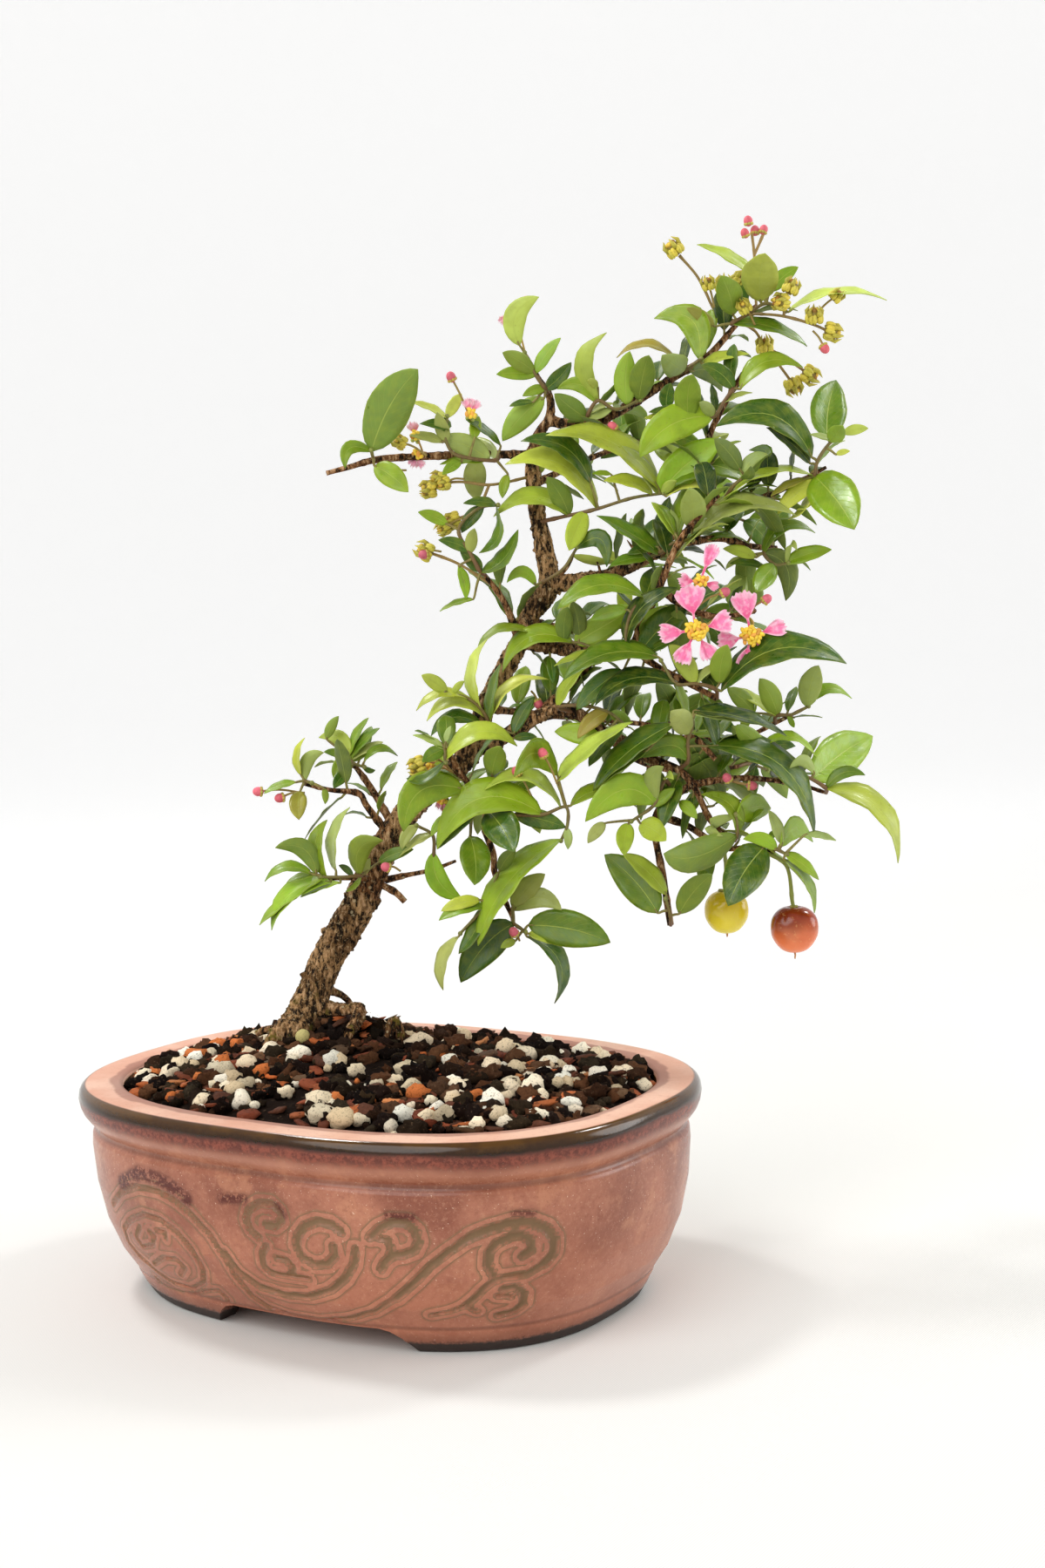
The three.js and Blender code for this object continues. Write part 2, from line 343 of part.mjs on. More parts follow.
// Leafy shoots. stem: [across, up, near] from the branch outwards.
// leaves: [base across, base up, tip across, tip up, width, arch], and a 1 at the end
// where the leaf must lean towards the viewer
const SHOOTS = {
  top: {
    stem: [[74.5, 159, -8], [72, 158.5, -3], [78, 162, -3], [84, 165.5, -3], [90, 163, -2]],
    leaves: [[79.5, 175.5, 60, 185.7, 5.4, 0], [82, 166, 83.5, 182.7, 12.6, 0],
      [85, 169.5, 95, 178, 5.4, 0],
      [91.5, 162.5, 125.5, 166.5, 4.8, 4.5], [72.6, 161.4, 68.4, 175, 9, 0],
      [66, 157.5, 56.4, 163.8, 4.2, 0],
      [73, 152.4, 98, 150.6, 6, 5.7]],
  },
  upper: {
    stem: [[52, 140, -4], [56, 142.5, 1], [61, 146, 3]],
    leaves: [[60.6, 147.3, 45.3, 160.2, 10, 8], [57, 138.6, 48, 147.6, 9, 0],
      [52.8, 145.8, 32.4, 146.7, 4.2, 5],
      [58, 142, 68.7, 135, 7.8, 4], [61.8, 144.6, 78, 148, 4.2, 0]],
  },
  upper_side: {
    stem: [[71.5, 134, 6], [72.5, 136, 11], [69, 131, 12], [66, 126.5, 12], [57, 125.5, 11], [49, 124, 10]],
    leaves: [[74, 136.8, 61.5, 144.3, 6, 0], [75, 136, 96.6, 143.4, 6.6, 6],
      [69, 131.4, 79.2, 134.7, 2.4, 0],
      [66, 126.6, 60.9, 131.4, 4.2, 0], [57, 126.6, 58.5, 141, 9, 0], [49.5, 129, 51, 138, 5.4, 0],
      [60, 126, 43.5, 128, 4.8, 0], [55.5, 124.5, 42, 126, 4.2, 0], [47, 121.5, 51.6, 127.5, 2.4, 0],
      [66, 125.7, 40.5, 112.5, 12, 5]],
  },
  far_right: {
    stem: [[96, 104.5, 14], [100.5, 106, 18], [101.5, 111, 19], [106, 117.5, 19], [109, 119.5, 19]],
    leaves: [[99.6, 112.5, 66.6, 123, 10.8, 9.6], [99, 110.4, 84, 122.7, 5.4, 0],
      [105, 118.8, 108, 139, 12.6, 0],
      [106.5, 117, 110.4, 123.3, 6, 0], [110.4, 120.6, 119.1, 122.4, 3.6, 0],
      [107.4, 117.6, 99, 120.3, 2.4, 0],
      [108, 113.4, 112.8, 114.6, 2.1, 0], [100.2, 105.6, 114.3, 87.6, 15.6, 0],
      [101, 104.7, 68.4, 97.5, 4.2, 6],
      [101, 104.4, 87.9, 93, 6, 0], [97.5, 105, 85.5, 99, 3, 0], [106.5, 96.6, 91.5, 91, 3, 2.8],
      [105, 99, 94.5, 94.5, 2, 0]],
  },
  young: {
    stem: [[5, 90, 0], [14, 92, 5], [25, 94.5, 8], [38, 98.5, 10], [48, 100, 11]],
    leaves: [[47, 99.6, 69, 118.5, 12, 0], [47.4, 99.9, 81, 101.4, 9.6, 9], [47, 101.4, 8, 120, 10.2, 7.6],
      [46.5, 100.5, 34.2, 116.4, 5.4, 0], [45, 98.4, 28, 104.4, 4.8, 2.8], [49.5, 99, 67.2, 98.7, 4.2, 4.4],
      [48, 100, 53, 104.4, 3.6, 0], [30.6, 106.5, 24, 106.8, 2, 0], [16.5, 90, -10, 92, 7.2, 8],
      [25.2, 96, -6, 110, 9, 8], [23.4, 103.5, -0.6, 118, 7.8, 6], [16, 92.4, 8.4, 105.6, 7.2, 0],
      [22, 92.4, 16, 80.4, 7.2, 0]],
  },
  right_inner: {
    stem: [[69, 97, 17], [73, 103, 21], [77, 106, 22]],
    leaves: [[75, 108, 66, 118.8, 6.6, 0], [86.4, 108, 78, 114.9, 4.8, 3], [73.5, 108, 84.6, 113.4, 4.2, 0],
      [78, 102, 78.6, 109.5, 4.2, 0]],
  },
  right_tip: {
    stem: [[87.5, 81, 4], [83, 79.5, 9], [87, 75.5, 11], [91, 76, 12]],
    leaves: [[82.8, 79.8, 100.8, 86.4, 5.4, 6], [90, 84, 94.5, 80.4, 3, 0],
      [90.6, 75.6, 106.5, 80.7, 5.4, 0],
      [81, 80, 90.6, 63, 7.8, 6], [80.4, 78, 69, 81, 4.2, 0], [84, 74.4, 71.4, 75.9, 3, 0],
      [86.4, 74.4, 80.4, 66, 7.2, 0], [75, 78, 70, 74, 2.2, 0]],
  },
  flowering: {
    stem: [[80, 59.5, 18], [78, 61, 14], [73.5, 60, 12]],
    leaves: [[72.6, 58.5, 76.5, 73.2, 7.8, 0], [81.6, 60, 78.6, 70.8, 4.8, 0]],
  },
  inner: {
    stem: [[43, 78, 12], [47, 79.5, 18], [53, 83.5, 21], [58, 84, 22]],
    leaves: [[59.4, 81.6, 94.2, 92.4, 7.8, 9.5], [58.5, 87.6, 57.6, 98.4, 10.8, 0],
      [43.5, 78, 30, 75, 4.2, 0],
      [46.5, 81.6, 36, 79, 3.6, 0], [49.5, 75.6, 25.5, 92.4, 6.6, 0], [52.5, 85.5, 44.4, 97, 4.2, 0],
      [52.8, 86.4, 51, 94.5, 3, 0]],
  },
  below_fork: {
    stem: [[44.5, 62.5, 21], [42.5, 64, 26], [37.5, 59, 27], [36, 48, 27], [40.5, 45.5, 26]],
    leaves: [[43, 65, 12, 60, 7.2, 6], [42.6, 64, 47, 74.7, 7.2, 0], [34.5, 46.5, 53.4, 67.5, 6, 4.6],
      [36, 60, 23.4, 56.4, 4.8, 0], [34.5, 46, 25.5, 45.6, 2, 0], [34.5, 39, 18.6, 25.5, 7.2, 0],
      [41.4, 45.6, 57, 61.5, 10.2, 0], [42.6, 44.4, 53.4, 49.5, 3, 0]],
  },
  trunk_right: {
    stem: [[-1, 49, 4], [3.5, 52, 10], [14, 49, 13], [20, 48.5, 14], [27, 45.5, 17]],
    leaves: [[17.7, 45, 37.8, 60, 9, 0], [14.4, 49.5, 15.6, 61, 6, 0], [19.5, 50.4, 17, 63, 6, 0],
      [3, 52.5, -15.6, 46.5, 3.6, 3.8], [17.4, 46.5, -6.9, 38.4, 7.2, 8.5], [27, 45, 10.8, 40.5, 3, 0]],
  },
  fork: {
    stem: [[9, 70, 2], [7, 69.5, 8], [14, 74, 11], [18.5, 81, 11]],
    leaves: [[17, 83.4, 29, 74.7, 6.6, 6.5], [30, 70.5, 29, 81, 6, 0], [4.5, 68.4, -5.4, 69.3, 4.2, 4.3]],
  },
  top_left: {
    stem: [[9, 134.5, -4], [8, 136, 1], [5, 140, 2], [1, 148, 2]],
    leaves: [[-1, 151, 5.7, 167.7, 7.8, 5.2], [3.6, 141.6, -6.9, 148.5, 6, 0],
      [4.2, 140.4, -9, 141, 4.8, 0],
      [5, 141.6, 13.2, 153.6, 4.8, 0], [9.6, 133.5, 16.8, 145.2, 5.4, 0], [7.5, 132.9, -6.9, 118, 8.4, 0],
      [8.4, 136.5, 0, 133.5, 3.6, 0], [3.6, 131.4, -4.5, 130, 2.4, 0]],
  },
  upper_mid: {
    stem: [[21.5, 123, -1], [22, 126, 3], [26, 132, 5], [32, 129, 5], [40, 132, 4]],
    leaves: [[25.2, 131.4, 12, 135.9, 5.4, 4], [21.3, 123.3, 11, 134.4, 7.2, 0],
      [26, 133.5, 29, 155.4, 6.6, 6.9],
      [26, 136.5, 22.5, 139, 3, 0], [36, 131, 37, 149, 7.8, 0], [41, 132.6, 43.5, 147.6, 8.4, 0],
      [31, 127.8, 35.4, 132, 4.2, 0], [21.6, 123.6, 31.5, 129.6, 3.6, 0], [22.8, 127.8, 31.5, 131, 2.4, 0]],
  },
  far_left: {
    stem: [[-51, 111.5, 8], [-51.5, 112.5, 12], [-52, 114.5, 14]],
    leaves: [[-52.2, 115.5, -36, 142.8, 15, 0], [-52.5, 115.5, -61, 108.6, 4.8, 4.5],
      [-51, 109.5, -39.3, 100.5, 7.8, 0]],
  },
  left_mid: {
    stem: [[-8, 113.5, 0], [-9, 111.5, 5], [-17, 112, 9], [-24, 114, 10], [-26.5, 119, 10], [-26, 126, 9]],
    leaves: [[-26, 126, -39, 131.4, 3, 0], [-25, 126.6, -21, 134.4, 4.2, 0],
      [-19.5, 121, -35.4, 124, 4.8, 0],
      [-27.6, 117, -29.4, 128, 4.8, 0], [-27.6, 117.6, -39, 120, 3.6, 0],
      [-11.4, 111.6, -28.5, 119.4, 7.8, 0],
      [-9, 111.6, -19, 118, 7.2, 0], [-7.5, 116.4, -19.5, 125.4, 3, 0], [-16.5, 119, -15, 126.6, 4.2, 0],
      [-11, 111, -28.5, 110, 4.2, 0], [-21, 111, -27.6, 106.5, 3.6, 0], [-15.6, 111.6, -15.6, 97.5, 7.8, 0],
      [-5, 106.5, -6.9, 98.4, 3.6, 0]],
  },
  left_low: {
    stem: [[-13, 72, 10], [-14.5, 73, 14], [-18, 79.5, 15], [-22, 87.5, 14], [-15, 95, 13], [-9, 96, 12]],
    leaves: [[-7.5, 96, -20.4, 96.6, 3.6, 0], [-13.5, 96, -21, 86.4, 4.8, 0],
      [-26, 89.4, -36, 93.6, 4.2, 0],
      [-18, 80.4, -29, 84, 4.2, 0], [-17.7, 79.5, -16.5, 88, 4.2, 0], [-13.8, 72, -21.6, 80.4, 4.8, 0],
      [-9, 66, -1.5, 87.6, 6, 0], [-22, 75, -19.5, 63.6, 3.6, 0], [-17, 63.6, -28.5, 59.4, 2.4, 0],
      [0, 89.4, -15, 79.5, 4.2, 0]],
  },
  trunk_mid: {
    stem: [[-15.5, 17, 6], [-11.5, 20, 12], [-14, 25.5, 14], [-19, 29.5, 14], [-26, 31.5, 14]],
    leaves: [[-14.4, 25.5, -12, 50, 4.2, 4], [-10.5, 21, -7.5, 41.4, 3.6, 0], [-10.5, 21, 9, 36, 4.2, 6.3],
      [-3, 17.4, 4.2, 30, 4.8, 0], [-3, 15.6, 5, 16.2, 3, 0], [-26.4, 31.5, -34.8, 37.5, 4.8, 0],
      [-24, 31.5, -20, 35.4, 2.4, 0], [-18, 30, -36.6, 25.2, 3.6, 3.5], [-13.5, 22.5, -33, 21.6, 4.8, 6.6],
      [-13.5, 19.5, -31.5, 16.5, 4.8, 5], [-12, 17.4, -25.5, 15.6, 3, 0]],
  },
  right_cut: {
    stem: [[67, 29.5, 27], [66.5, 32.5, 31], [60, 34.5, 32], [53, 34.5, 32], [48, 42, 30]],
    leaves: [[47, 43.5, 13.8, 35.4, 7.8, 5.5], [52.5, 33.6, 25, 27, 6.6, 6], [59.4, 35.4, 50.4, 48, 6.6, 0],
      [60, 35.4, 67.8, 41.4, 2.4, 0], [67.8, 34.5, 70.5, 48, 7.2, 0], [67.5, 33, 60, 39, 5.4, 0],
      [68.4, 32, 111.6, 41.4, 10.2, 10]],
  },
  low_mid: {
    stem: [[18.5, 24.5, 15], [12, 26.5, 20], [21, 27, 23], [30, 24.5, 24], [35, 20.5, 24]],
    leaves: [[10.8, 26.4, 23.4, 42, 4.2, 0], [30, 26.4, 19, 15.6, 5.4, 0], [30, 24, 37.5, 21, 4.2, 0],
      [35.4, 20, 22.8, 6, 5.4, 0], [27, 15, 11, 18, 7.2, 0]],
  },
  right_back: {
    stem: [[87, 21, 12], [87.5, 23.5, 16], [93, 24, 18], [98, 26.5, 18]],
    leaves: [[87.9, 23.4, 81.6, 36.3, 7.2, 0], [86.4, 23.4, 72, 33, 3.6, 0], [79.5, 24.6, 70.5, 33, 6, 0],
      [98, 27, 102, 40.8, 7.8, 0], [97.8, 26.4, 113.4, 29.4, 4.2, 4.8], [91.5, 22.5, 93.6, 19.5, 2, 0]],
  },
  cut_low: {
    stem: [[53.5, 5, 24], [57, 8, 30], [57, 15, 32], [58.5, 22, 34], [52, 20.5, 34]],
    leaves: [[51, 20.7, 24.3, -2.4, 7.2, 0], [58.5, 17, 51, 25, 7.8, 0], [59, 25.2, 90.9, 16.5, 5.4, 0],
      [59.4, 24, 75, 21.6, 3.6, 0], [42.6, 11.4, 24.6, -1.8, 4.8, 0], [59, 4.8, 40.5, 9, 7.8, 6.6],
      [55, 15, 69.3, -6, 13.2, 0], [63.6, 13, 100.5, -17.4, 10.2, 11]],
  },
  long: {
    stem: [[-12.5, -9.5, 22], [-4, -10.5, 28], [7, -10.5, 30], [15, -8, 30], [15.5, -14, 31],
      [13.5, -19, 31]],
    leaves: [[12, 1, 38, 21.3, 5.4, 0], [6.9, -10.5, -29.4, -22.5, 12, 12], [13, -7.5, -13, -2, 4.8, 7.6],
      [12, 3, -3, 2.4, 10.2, 8], [-3, -11.4, 15, -15, 6.6, 0], [13, -19.5, -15.3, -55.8, 7.8, 5.2],
      [15, -15, 15.6, -22.5, 3, 0], [16.5, -7.5, 39.3, -8, 5.4, 5.6]],
  },
  front: {
    stem: [[-21, -4.5, 14], [-12, -1, 20], [-10, 1.5, 23], [-13, -6, 26], [-17, -10, 26], [-18, -18, 26]],
    leaves: [[-20, -2, -41, -16.5, 11.4, 8.3], [-15, -6, -29.4, -22.5, 7.2, 0],
      [-25.5, -10.5, -31.5, -18, 3, 0],
      [-6, 0.6, -11.4, 9, 8.4, 0], [-10.5, 3, -7.5, 13, 7.8, 0], [-12, -9, -3, -23.4, 12, 0],
      [-17.7, -19, -16.5, -34.8, 10.2, 0]],
  },
  right_base: {
    stem: [[-31, -29.5, 9], [-30.5, -24, 13], [-31, -17.5, 14], [-36, -14.5, 14]],
    leaves: [[-29, -23.4, -20.7, -39.6, 7.2, -4.5], [-37.5, -13.5, -41.4, -22.5, 4.2, 0],
      [-30, -16.5, -42.6, -25.2, 3, 0]],
  },
  low_front: {
    stem: [[-9.5, -31, 22], [-10, -35, 27], [-13, -42, 28], [-21, -51, 28]],
    leaves: [[-8, -30, -2.4, -22.5, 4.8, 0], [-14.4, -40, -28, -43.8, 4.2, 0],
      [-12, -43.5, -28.8, -47, 4.2, 2.5],
      [-9, -44.4, -22, -58.5, 4.8, 0], [-22, -52.5, -27.3, -71, 4.2, 3]],
  },
  lowest: {
    stem: [[-3.5, -46, 22], [-3, -48, 26], [0.5, -50.5, 27]],
    leaves: [[-2.4, -45.6, -21.3, -68.4, 12, 0], [-3.6, -42.3, 7.8, -31, 7.2, 0],
      [-3, -43.5, 13.5, -43.5, 7.2, 4.5],
      [2, -48.6, 30.3, -54.6, 12.6, 0], [2, -51.6, 15, -55.5, 4.2, 0], [1.5, -52.5, 11, -75.6, 5.4, 7],
      [-2.4, -54, -7.5, -56.4, 3, 0]],
  },
  low_left_up: {
    stem: [[-60.5, 9.5, -4], [-60, 9, 1], [-58, 7, 4], [-55, 6, 5]],
    leaves: [[-67.5, 15.6, -63.3, 23.4, 3.6, 0], [-60.3, 9, -70.2, 15.9, 5.4, 4],
      [-60, 9.6, -53, 22.8, 3, 0],
      [-59.4, 9, -49.2, 19.2, 3.6, 0], [-59, 8.4, -48, 14.4, 3, 0], [-54.6, 7.5, -43, 9.6, 3, 3.7],
      [-58.5, 8, -51, 13, 3.6, 0], [-60.6, 9.6, -68.4, 11, 3, 0], [-61.5, 9.6, -65, 2, 3.6, 0],
      [-60, 4.5, -65, -1.5, 4.2, 0], [-55, 4, -50.7, 4.8, 2.1, 0]],
  },
  left_tip: {
    stem: [[-75, 0, 9], [-75, 1, 12], [-73, 0.5, 14]],
    leaves: [[-76.2, 3, -75, 15.9, 3, 2], [-74.7, 2, -68.4, 10.8, 4.8, 3], [-78, 0.6, -89, -3.3, 2.7, 0],
      [-76.5, -2.4, -77, -12.3, 6, 0], [-68.4, -1.5, -68, -6.9, 2.4, 0]],
  },
  left_base: {
    stem: [[-57, -32.5, 8], [-55.5, -31.5, 12], [-61, -32, 15], [-69, -32, 16]],
    leaves: [[-71, -31, -85.2, -22, 6.6, 5], [-72.6, -31, -88.8, -33.6, 3.6, 3.6],
      [-71.4, -31, -81.3, -34.2, 2.4, 0],
      [-67.5, -31, -67.2, -12.3, 5.4, 4], [-64.2, -30, -59.4, -8, 4.2, 3.4],
      [-68.4, -33, -90.6, -48.6, 4.2, 0],
      [-66, -33.6, -86.4, -50.4, 6.6, 5.6], [-62.7, -34, -76.5, -39, 2.4, 0],
      [-58.5, -31, -63.3, -28, 2.4, 0],
      [-56.4, -31, -48, -19.5, 7.8, 5], [-54, -31, -52.5, -25.5, 2.4, 0], [-53.7, -34, -61, -37, 2, 0],
      [-49.5, -27, -37.5, -22.5, 4.2, 0]],
  },
  right_low: {
    stem: [[52, -3, 24], [49, 1, 29], [45.5, -7, 31], [38, -12.5, 31]],
    leaves: [[28.5, -13.5, 22.5, -20.4, 4.2, 0], [48.6, -11, 21.6, -13, 11.4, 10],
      [36.6, -13.5, 35, -24.6, 6, 0],
      [40.5, -13.5, 49.5, -19.5, 7.8, 0], [41.4, -3.6, 48.6, 6, 6, 0], [48, 4.5, 52, 1.5, 3, 0],
      [49.5, 1.5, 57, -3, 6, 0], [45, -8.4, 52.5, -1.5, 4.2, 0], [54, -6, 60, -12, 4.2, 0]],
  },
  right_lower: {
    stem: [[73, -19.5, 26], [74, -17.5, 31], [73.5, -11, 33]],
    leaves: [[76, -18, 61.5, -3.6, 6, 4.5], [72.6, -9, 85.5, -8.4, 12, 0], [71, -28.5, 48.6, -24, 11.4, 0],
      [60, -12, 69, -18, 4.2, 0]],
  },
  right_end: {
    stem: [[86, -23.5, 26], [87.5, -22.5, 31], [90.5, -24, 32]],
    leaves: [[88.5, -20.4, 76, -19, 4.8, 0], [83.4, -21.6, 70.8, -42, 13.8, 0, 1],
      [89, -20.4, 84.6, -9, 4.2, 0],
      [89, -21.6, 100, -20, 7.8, 6], [97.5, -17.4, 108, -19.5, 2.4, 0], [90, -24, 102, -33, 4.2, 0],
      [90, -26, 100.5, -44.4, 3.6, 3]],
  },
  hanging: {
    stem: [[51, -48.5, 22], [51, -46, 27], [49.5, -40, 28]],
    leaves: [[46.5, -44.4, 28.2, -24.3, 12, 0], [49.5, -38, 34.5, -24, 6, 0],
      [54, -44.7, 65.4, -31, 8.4, 0]],
  },
  far_right_low: {
    stem: [[104.5, -3, 19], [104.5, -1.5, 24], [99, 2, 25], [91, 5, 25], [83, 13.5, 25]],
    leaves: [[80.4, 12, 73.8, 20.4, 6, 0], [82.5, 17, 101, 9.3, 3.6, 3], [99.6, 1, 120.6, 16.5, 15, 0],
      [105.6, -1.5, 118, 3, 4.2, 3.4], [104.4, -2.4, 129.3, -27.3, 8.4, 8.5],
      [100.5, 3.6, 92, 5.4, 4.2, 3.6],
      [91.5, 4.5, 84.6, 12.6, 3, 0]],
  },
  mid_left: {
    stem: [[-28.5, 14, 28], [-27, 12, 31], [-26.5, 8, 32]],
    leaves: [[-25.2, 8.4, -1.8, 13, 6.6, 7.4], [-26.4, 12, -37.8, 16.8, 2.4, 0],
      [-26.4, 14.4, -24.6, 20, 2, 0],
      [-27, 12, -34.5, 7.5, 4.8, 0], [-27.6, 0, -40, 2, 3.6, 0]],
  },
  back_upper: {
    stem: [[36, 117, -34], [40, 118, -39], [47, 116, -43]],
    leaves: [[40, 119, 34, 131, 7, 2], [42, 118, 58, 125, 7, 3], [41, 117, 27, 112, 7, 2],
      [45, 116, 56, 108, 8, 2], [47, 117, 62, 115, 6, 3]],
  },
  back_right: {
    stem: [[68, 91, -36], [72, 92, -41], [78, 90, -45]],
    leaves: [[71, 93, 66, 106, 8, 2], [73, 92, 89, 99, 8, 3], [72, 91, 58, 85, 7, 2],
      [76, 90, 86, 79, 8, 2], [78, 91, 94, 88, 6, 3]],
  },
  back_middle: {
    stem: [[52, 58, -40], [56, 59, -45], [62, 57, -48]],
    leaves: [[55, 60, 50, 73, 8, 2], [57, 59, 73, 66, 8, 3], [56, 58, 42, 52, 7, 2],
      [60, 57, 70, 46, 8, 2], [62, 58, 78, 55, 6, 3]],
  },
  back_low: {
    stem: [[48, 20, -38], [52, 21, -43], [58, 19, -46]],
    leaves: [[51, 22, 46, 35, 8, 2], [53, 21, 69, 28, 8, 3], [52, 20, 38, 14, 7, 2],
      [56, 19, 66, 8, 8, 2], [58, 20, 74, 17, 6, 3]],
  },
  back_far_right: {
    stem: [[74, 6, -22], [78, 7, -27], [84, 5, -30]],
    leaves: [[77, 8, 72, 20, 7, 2], [79, 7, 94, 13, 7, 3], [78, 6, 65, 0, 7, 2], [82, 5, 91, -5, 7, 2],
      [80, 5, 78, -8, 6, 0]],
  },
  back_left: {
    stem: [[-10, -6, -28], [-7, -5, -33], [-2, -7, -36]],
    leaves: [[-8, -4, -13, 8, 7, 2], [-6, -5, 9, 1, 7, 3], [-7, -6, -20, -11, 7, 2], [-3, -7, 6, -17, 7, 2],
      [-5, -7, -7, -20, 6, 0]],
  },
};

// Flowers: [across, up, near] of the middle, stalk route, and [across, up] of each petal's outer edge
const FLOWERS = {
  left: { middle: [59.7, 52.8, 32], stalk: [[67, 57.5, 19], [64, 55, 26]],
    petals: [[56, 68.5], [46.8, 51.5], [72, 57], [54, 41.5], [65, 43]] },
  right: { middle: [78.6, 51, 27], stalk: [[75, 59, 18.3], [79, 56, 22]],
    petals: [[75.5, 66.5], [67, 48.5], [90.5, 54.5], [76, 40], [86, 42]] },
  upper: { middle: [61, 69.6, 28], stalk: [[56, 61, 20], [58, 63, 26]],
    petals: [[70, 66], [66.5, 82.5], [53, 72]] },
};
const PETAL_WIDTH = 9;
const PETAL_THICKNESS = 0.6;
const FLOWER_CENTRE_RADIUS = 2.2;

// Bud and seed-head sprays: stalks, then [across, up, near, radius] of each head
const SPRAYS = {
  top_buds: { stalks: [[[80.5, 164.5, -9], [80, 173, -12], [79.8, 182, -12], [79, 189.5, -12]],
    [[79.8, 182, -12], [83, 189.5, -13]]],
    heads: [[77.7, 193.8, -12, 1.9], [76.6, 189.6, -11, 1.8], [80, 190.5, -14, 1.9], [83, 190.8, -13, 1.8]] },
  top_seed_heads: { stalks: [[[74.5, 159, -8], [67, 162, -13], [63, 169.5, -14], [60, 175, -14],
      [54, 182, -13]],
    [[67, 162, -13], [69.3, 169, -14], [73, 171.5, -14]]],
    heads: [[52.2, 184.2, -13, 3.1], [69.3, 171.6, -14, 2.9], [74.2, 173.1, -14, 2.9]] },
  right_seed_heads: { stalks: [[[77.5, 162, -8.5], [90, 161, 3], [100.5, 158, 4], [106, 155.5, 4]],
    [[90, 161, 3], [90.5, 167, 5], [91.8, 170, 5]]],
    heads: [[89, 166, 6, 2.9], [92.5, 171, 5, 2.8], [100.5, 161, 5, 3], [106.5, 155.7, 4, 3.1]] },
  middle_seed_heads: { stalks: [[[74.5, 159, -8], [80, 156, -12], [83.4, 151, -12], [90, 147, -12],
      [98, 141.5, -12]],
    [[83.4, 151, -12], [93, 138, -13]]],
    heads: [[83.4, 150.6, -12, 2.9], [98.7, 141, -12, 3.1], [93.3, 137.4, -13, 3.1]] },
  left_seed_heads: { stalks: [[[3.6, 106, -2], [-11.4, 103, 4], [-21, 104, 4], [-29, 103.5, 4]],
    [[-11.4, 103, 4], [-15.6, 94.5, 4], [-23, 91, 4]]],
    heads: [[-28.8, 104.5, 4, 2.9], [-32, 101.5, 4, 2.9], [-23.7, 90.6, 4, 2.9]] },
  left_seed_head: { stalks: [[[-10.5, 68.5, 9.2], [-22.5, 76, 6], [-33, 80, 6]]],
    heads: [[-33.3, 80, 6, 3.1]] },
  low_seed_head: { stalks: [[[-28.5, 14, 28], [-31, 9, 25], [-36, 6.5, 25]]],
    heads: [[-36, 6.3, 25, 3.1], [-31, 9, 25, 1.9]] },
  right_buds: { stalks: [[[75, 2, 21], [72, 1, 26], [70.5, 2, 27]], [[72, 1, 26], [79, -0.6, 27]]],
    heads: [[70.5, 2, 27, 1.9], [79, -0.6, 27, 1.9]] },
};

// Cherries: stalk route, then [across, up, near, radius] of the middle
const CHERRIES = {
  red: { stalk: [[83, -23.2, 27.6], [90.6, -27.8, 28.4], [93, -41, 27]], fruit: [93.6, -50, 27, 7.9] },
  yellow: { stalk: [[69.5, -22, 25], [70, -28, 19], [70.2, -36, 14.5]], fruit: [70.2, -44, 14, 7.4] },
};
const CHERRY_SIDES = 12;

// Height and reach of the fruit's rings, in shares of its radius: broad above, drawn in below
const CHERRY_PROFILE = [[-0.87, 0.38], [-0.54, 0.74], [0.05, 0.99], [0.52, 0.93], [0.82, 0.68]];
const LOBE_DEPTH = 0.05;

function branchSolid(rows, sides, steps, grow) {
  const route = rows.map(([across, up, near]) => seen(across, up, near));
  return tube(route, rows.map((row) => row[3] + grow), sides, steps);
}

// Wood swollen by grow, used to keep leaves and soil off it
function woodSolid(grow) {
  return joined([
    branchSolid(TRUNK, TRUNK_SIDES, 2, grow),
    ...Object.values(ROOTS).map((rows) => branchSolid(rows, TRUNK_SIDES, 1, grow)),
    ...Object.values(BRANCHES).map((rows) => branchSolid(rows, BRANCH_SIDES, 1, grow)),
  ]);
}

// Potting mix: fills the bowl and rises to a mound round the trunk
function soilSolid() {
  const rings = [
    ovalRing(innerInset(SOIL_FLOOR) + GAP + 1, SOIL_FLOOR),
    ...SOIL_RINGS.map(([height, inset]) => ovalRing(LIP_INSET + GAP + inset, height)),
  ];
  return loft(rings, new THREE.Vector3(0, 0, SOIL_FLOOR), SOIL_TOP);
}

// Repeatable draws between 0 and 1
let drawn = 2024;
function draw() {
  drawn = (Math.imul(drawn, 1664525) + 1013904223) >>> 0;
  return drawn / 4294967296;
}

// Place on a stem nearest to a seen point: [across, up, near]
function nearestOnStem(stem, across, up) {
  let best = stem[stem.length - 1];
  let least = Infinity;
  for (let i = 1; i + 1 < stem.length; i += 1) {
    const [a, b] = [stem[i], stem[i + 1]];
    const run = [b[0] - a[0], b[1] - a[1]];
    const along = ((across - a[0]) * run[0] + (up - a[1]) * run[1]) / (run[0] ** 2 + run[1] ** 2);
    const t = THREE.MathUtils.clamp(along, 0, 1);
    const place = a.map((value, k) => value + (b[k] - value) * t);
    const gap = Math.hypot(across - place[0], up - place[1]);
    if (gap < least) [least, best] = [gap, place];
  }
  return best;
}

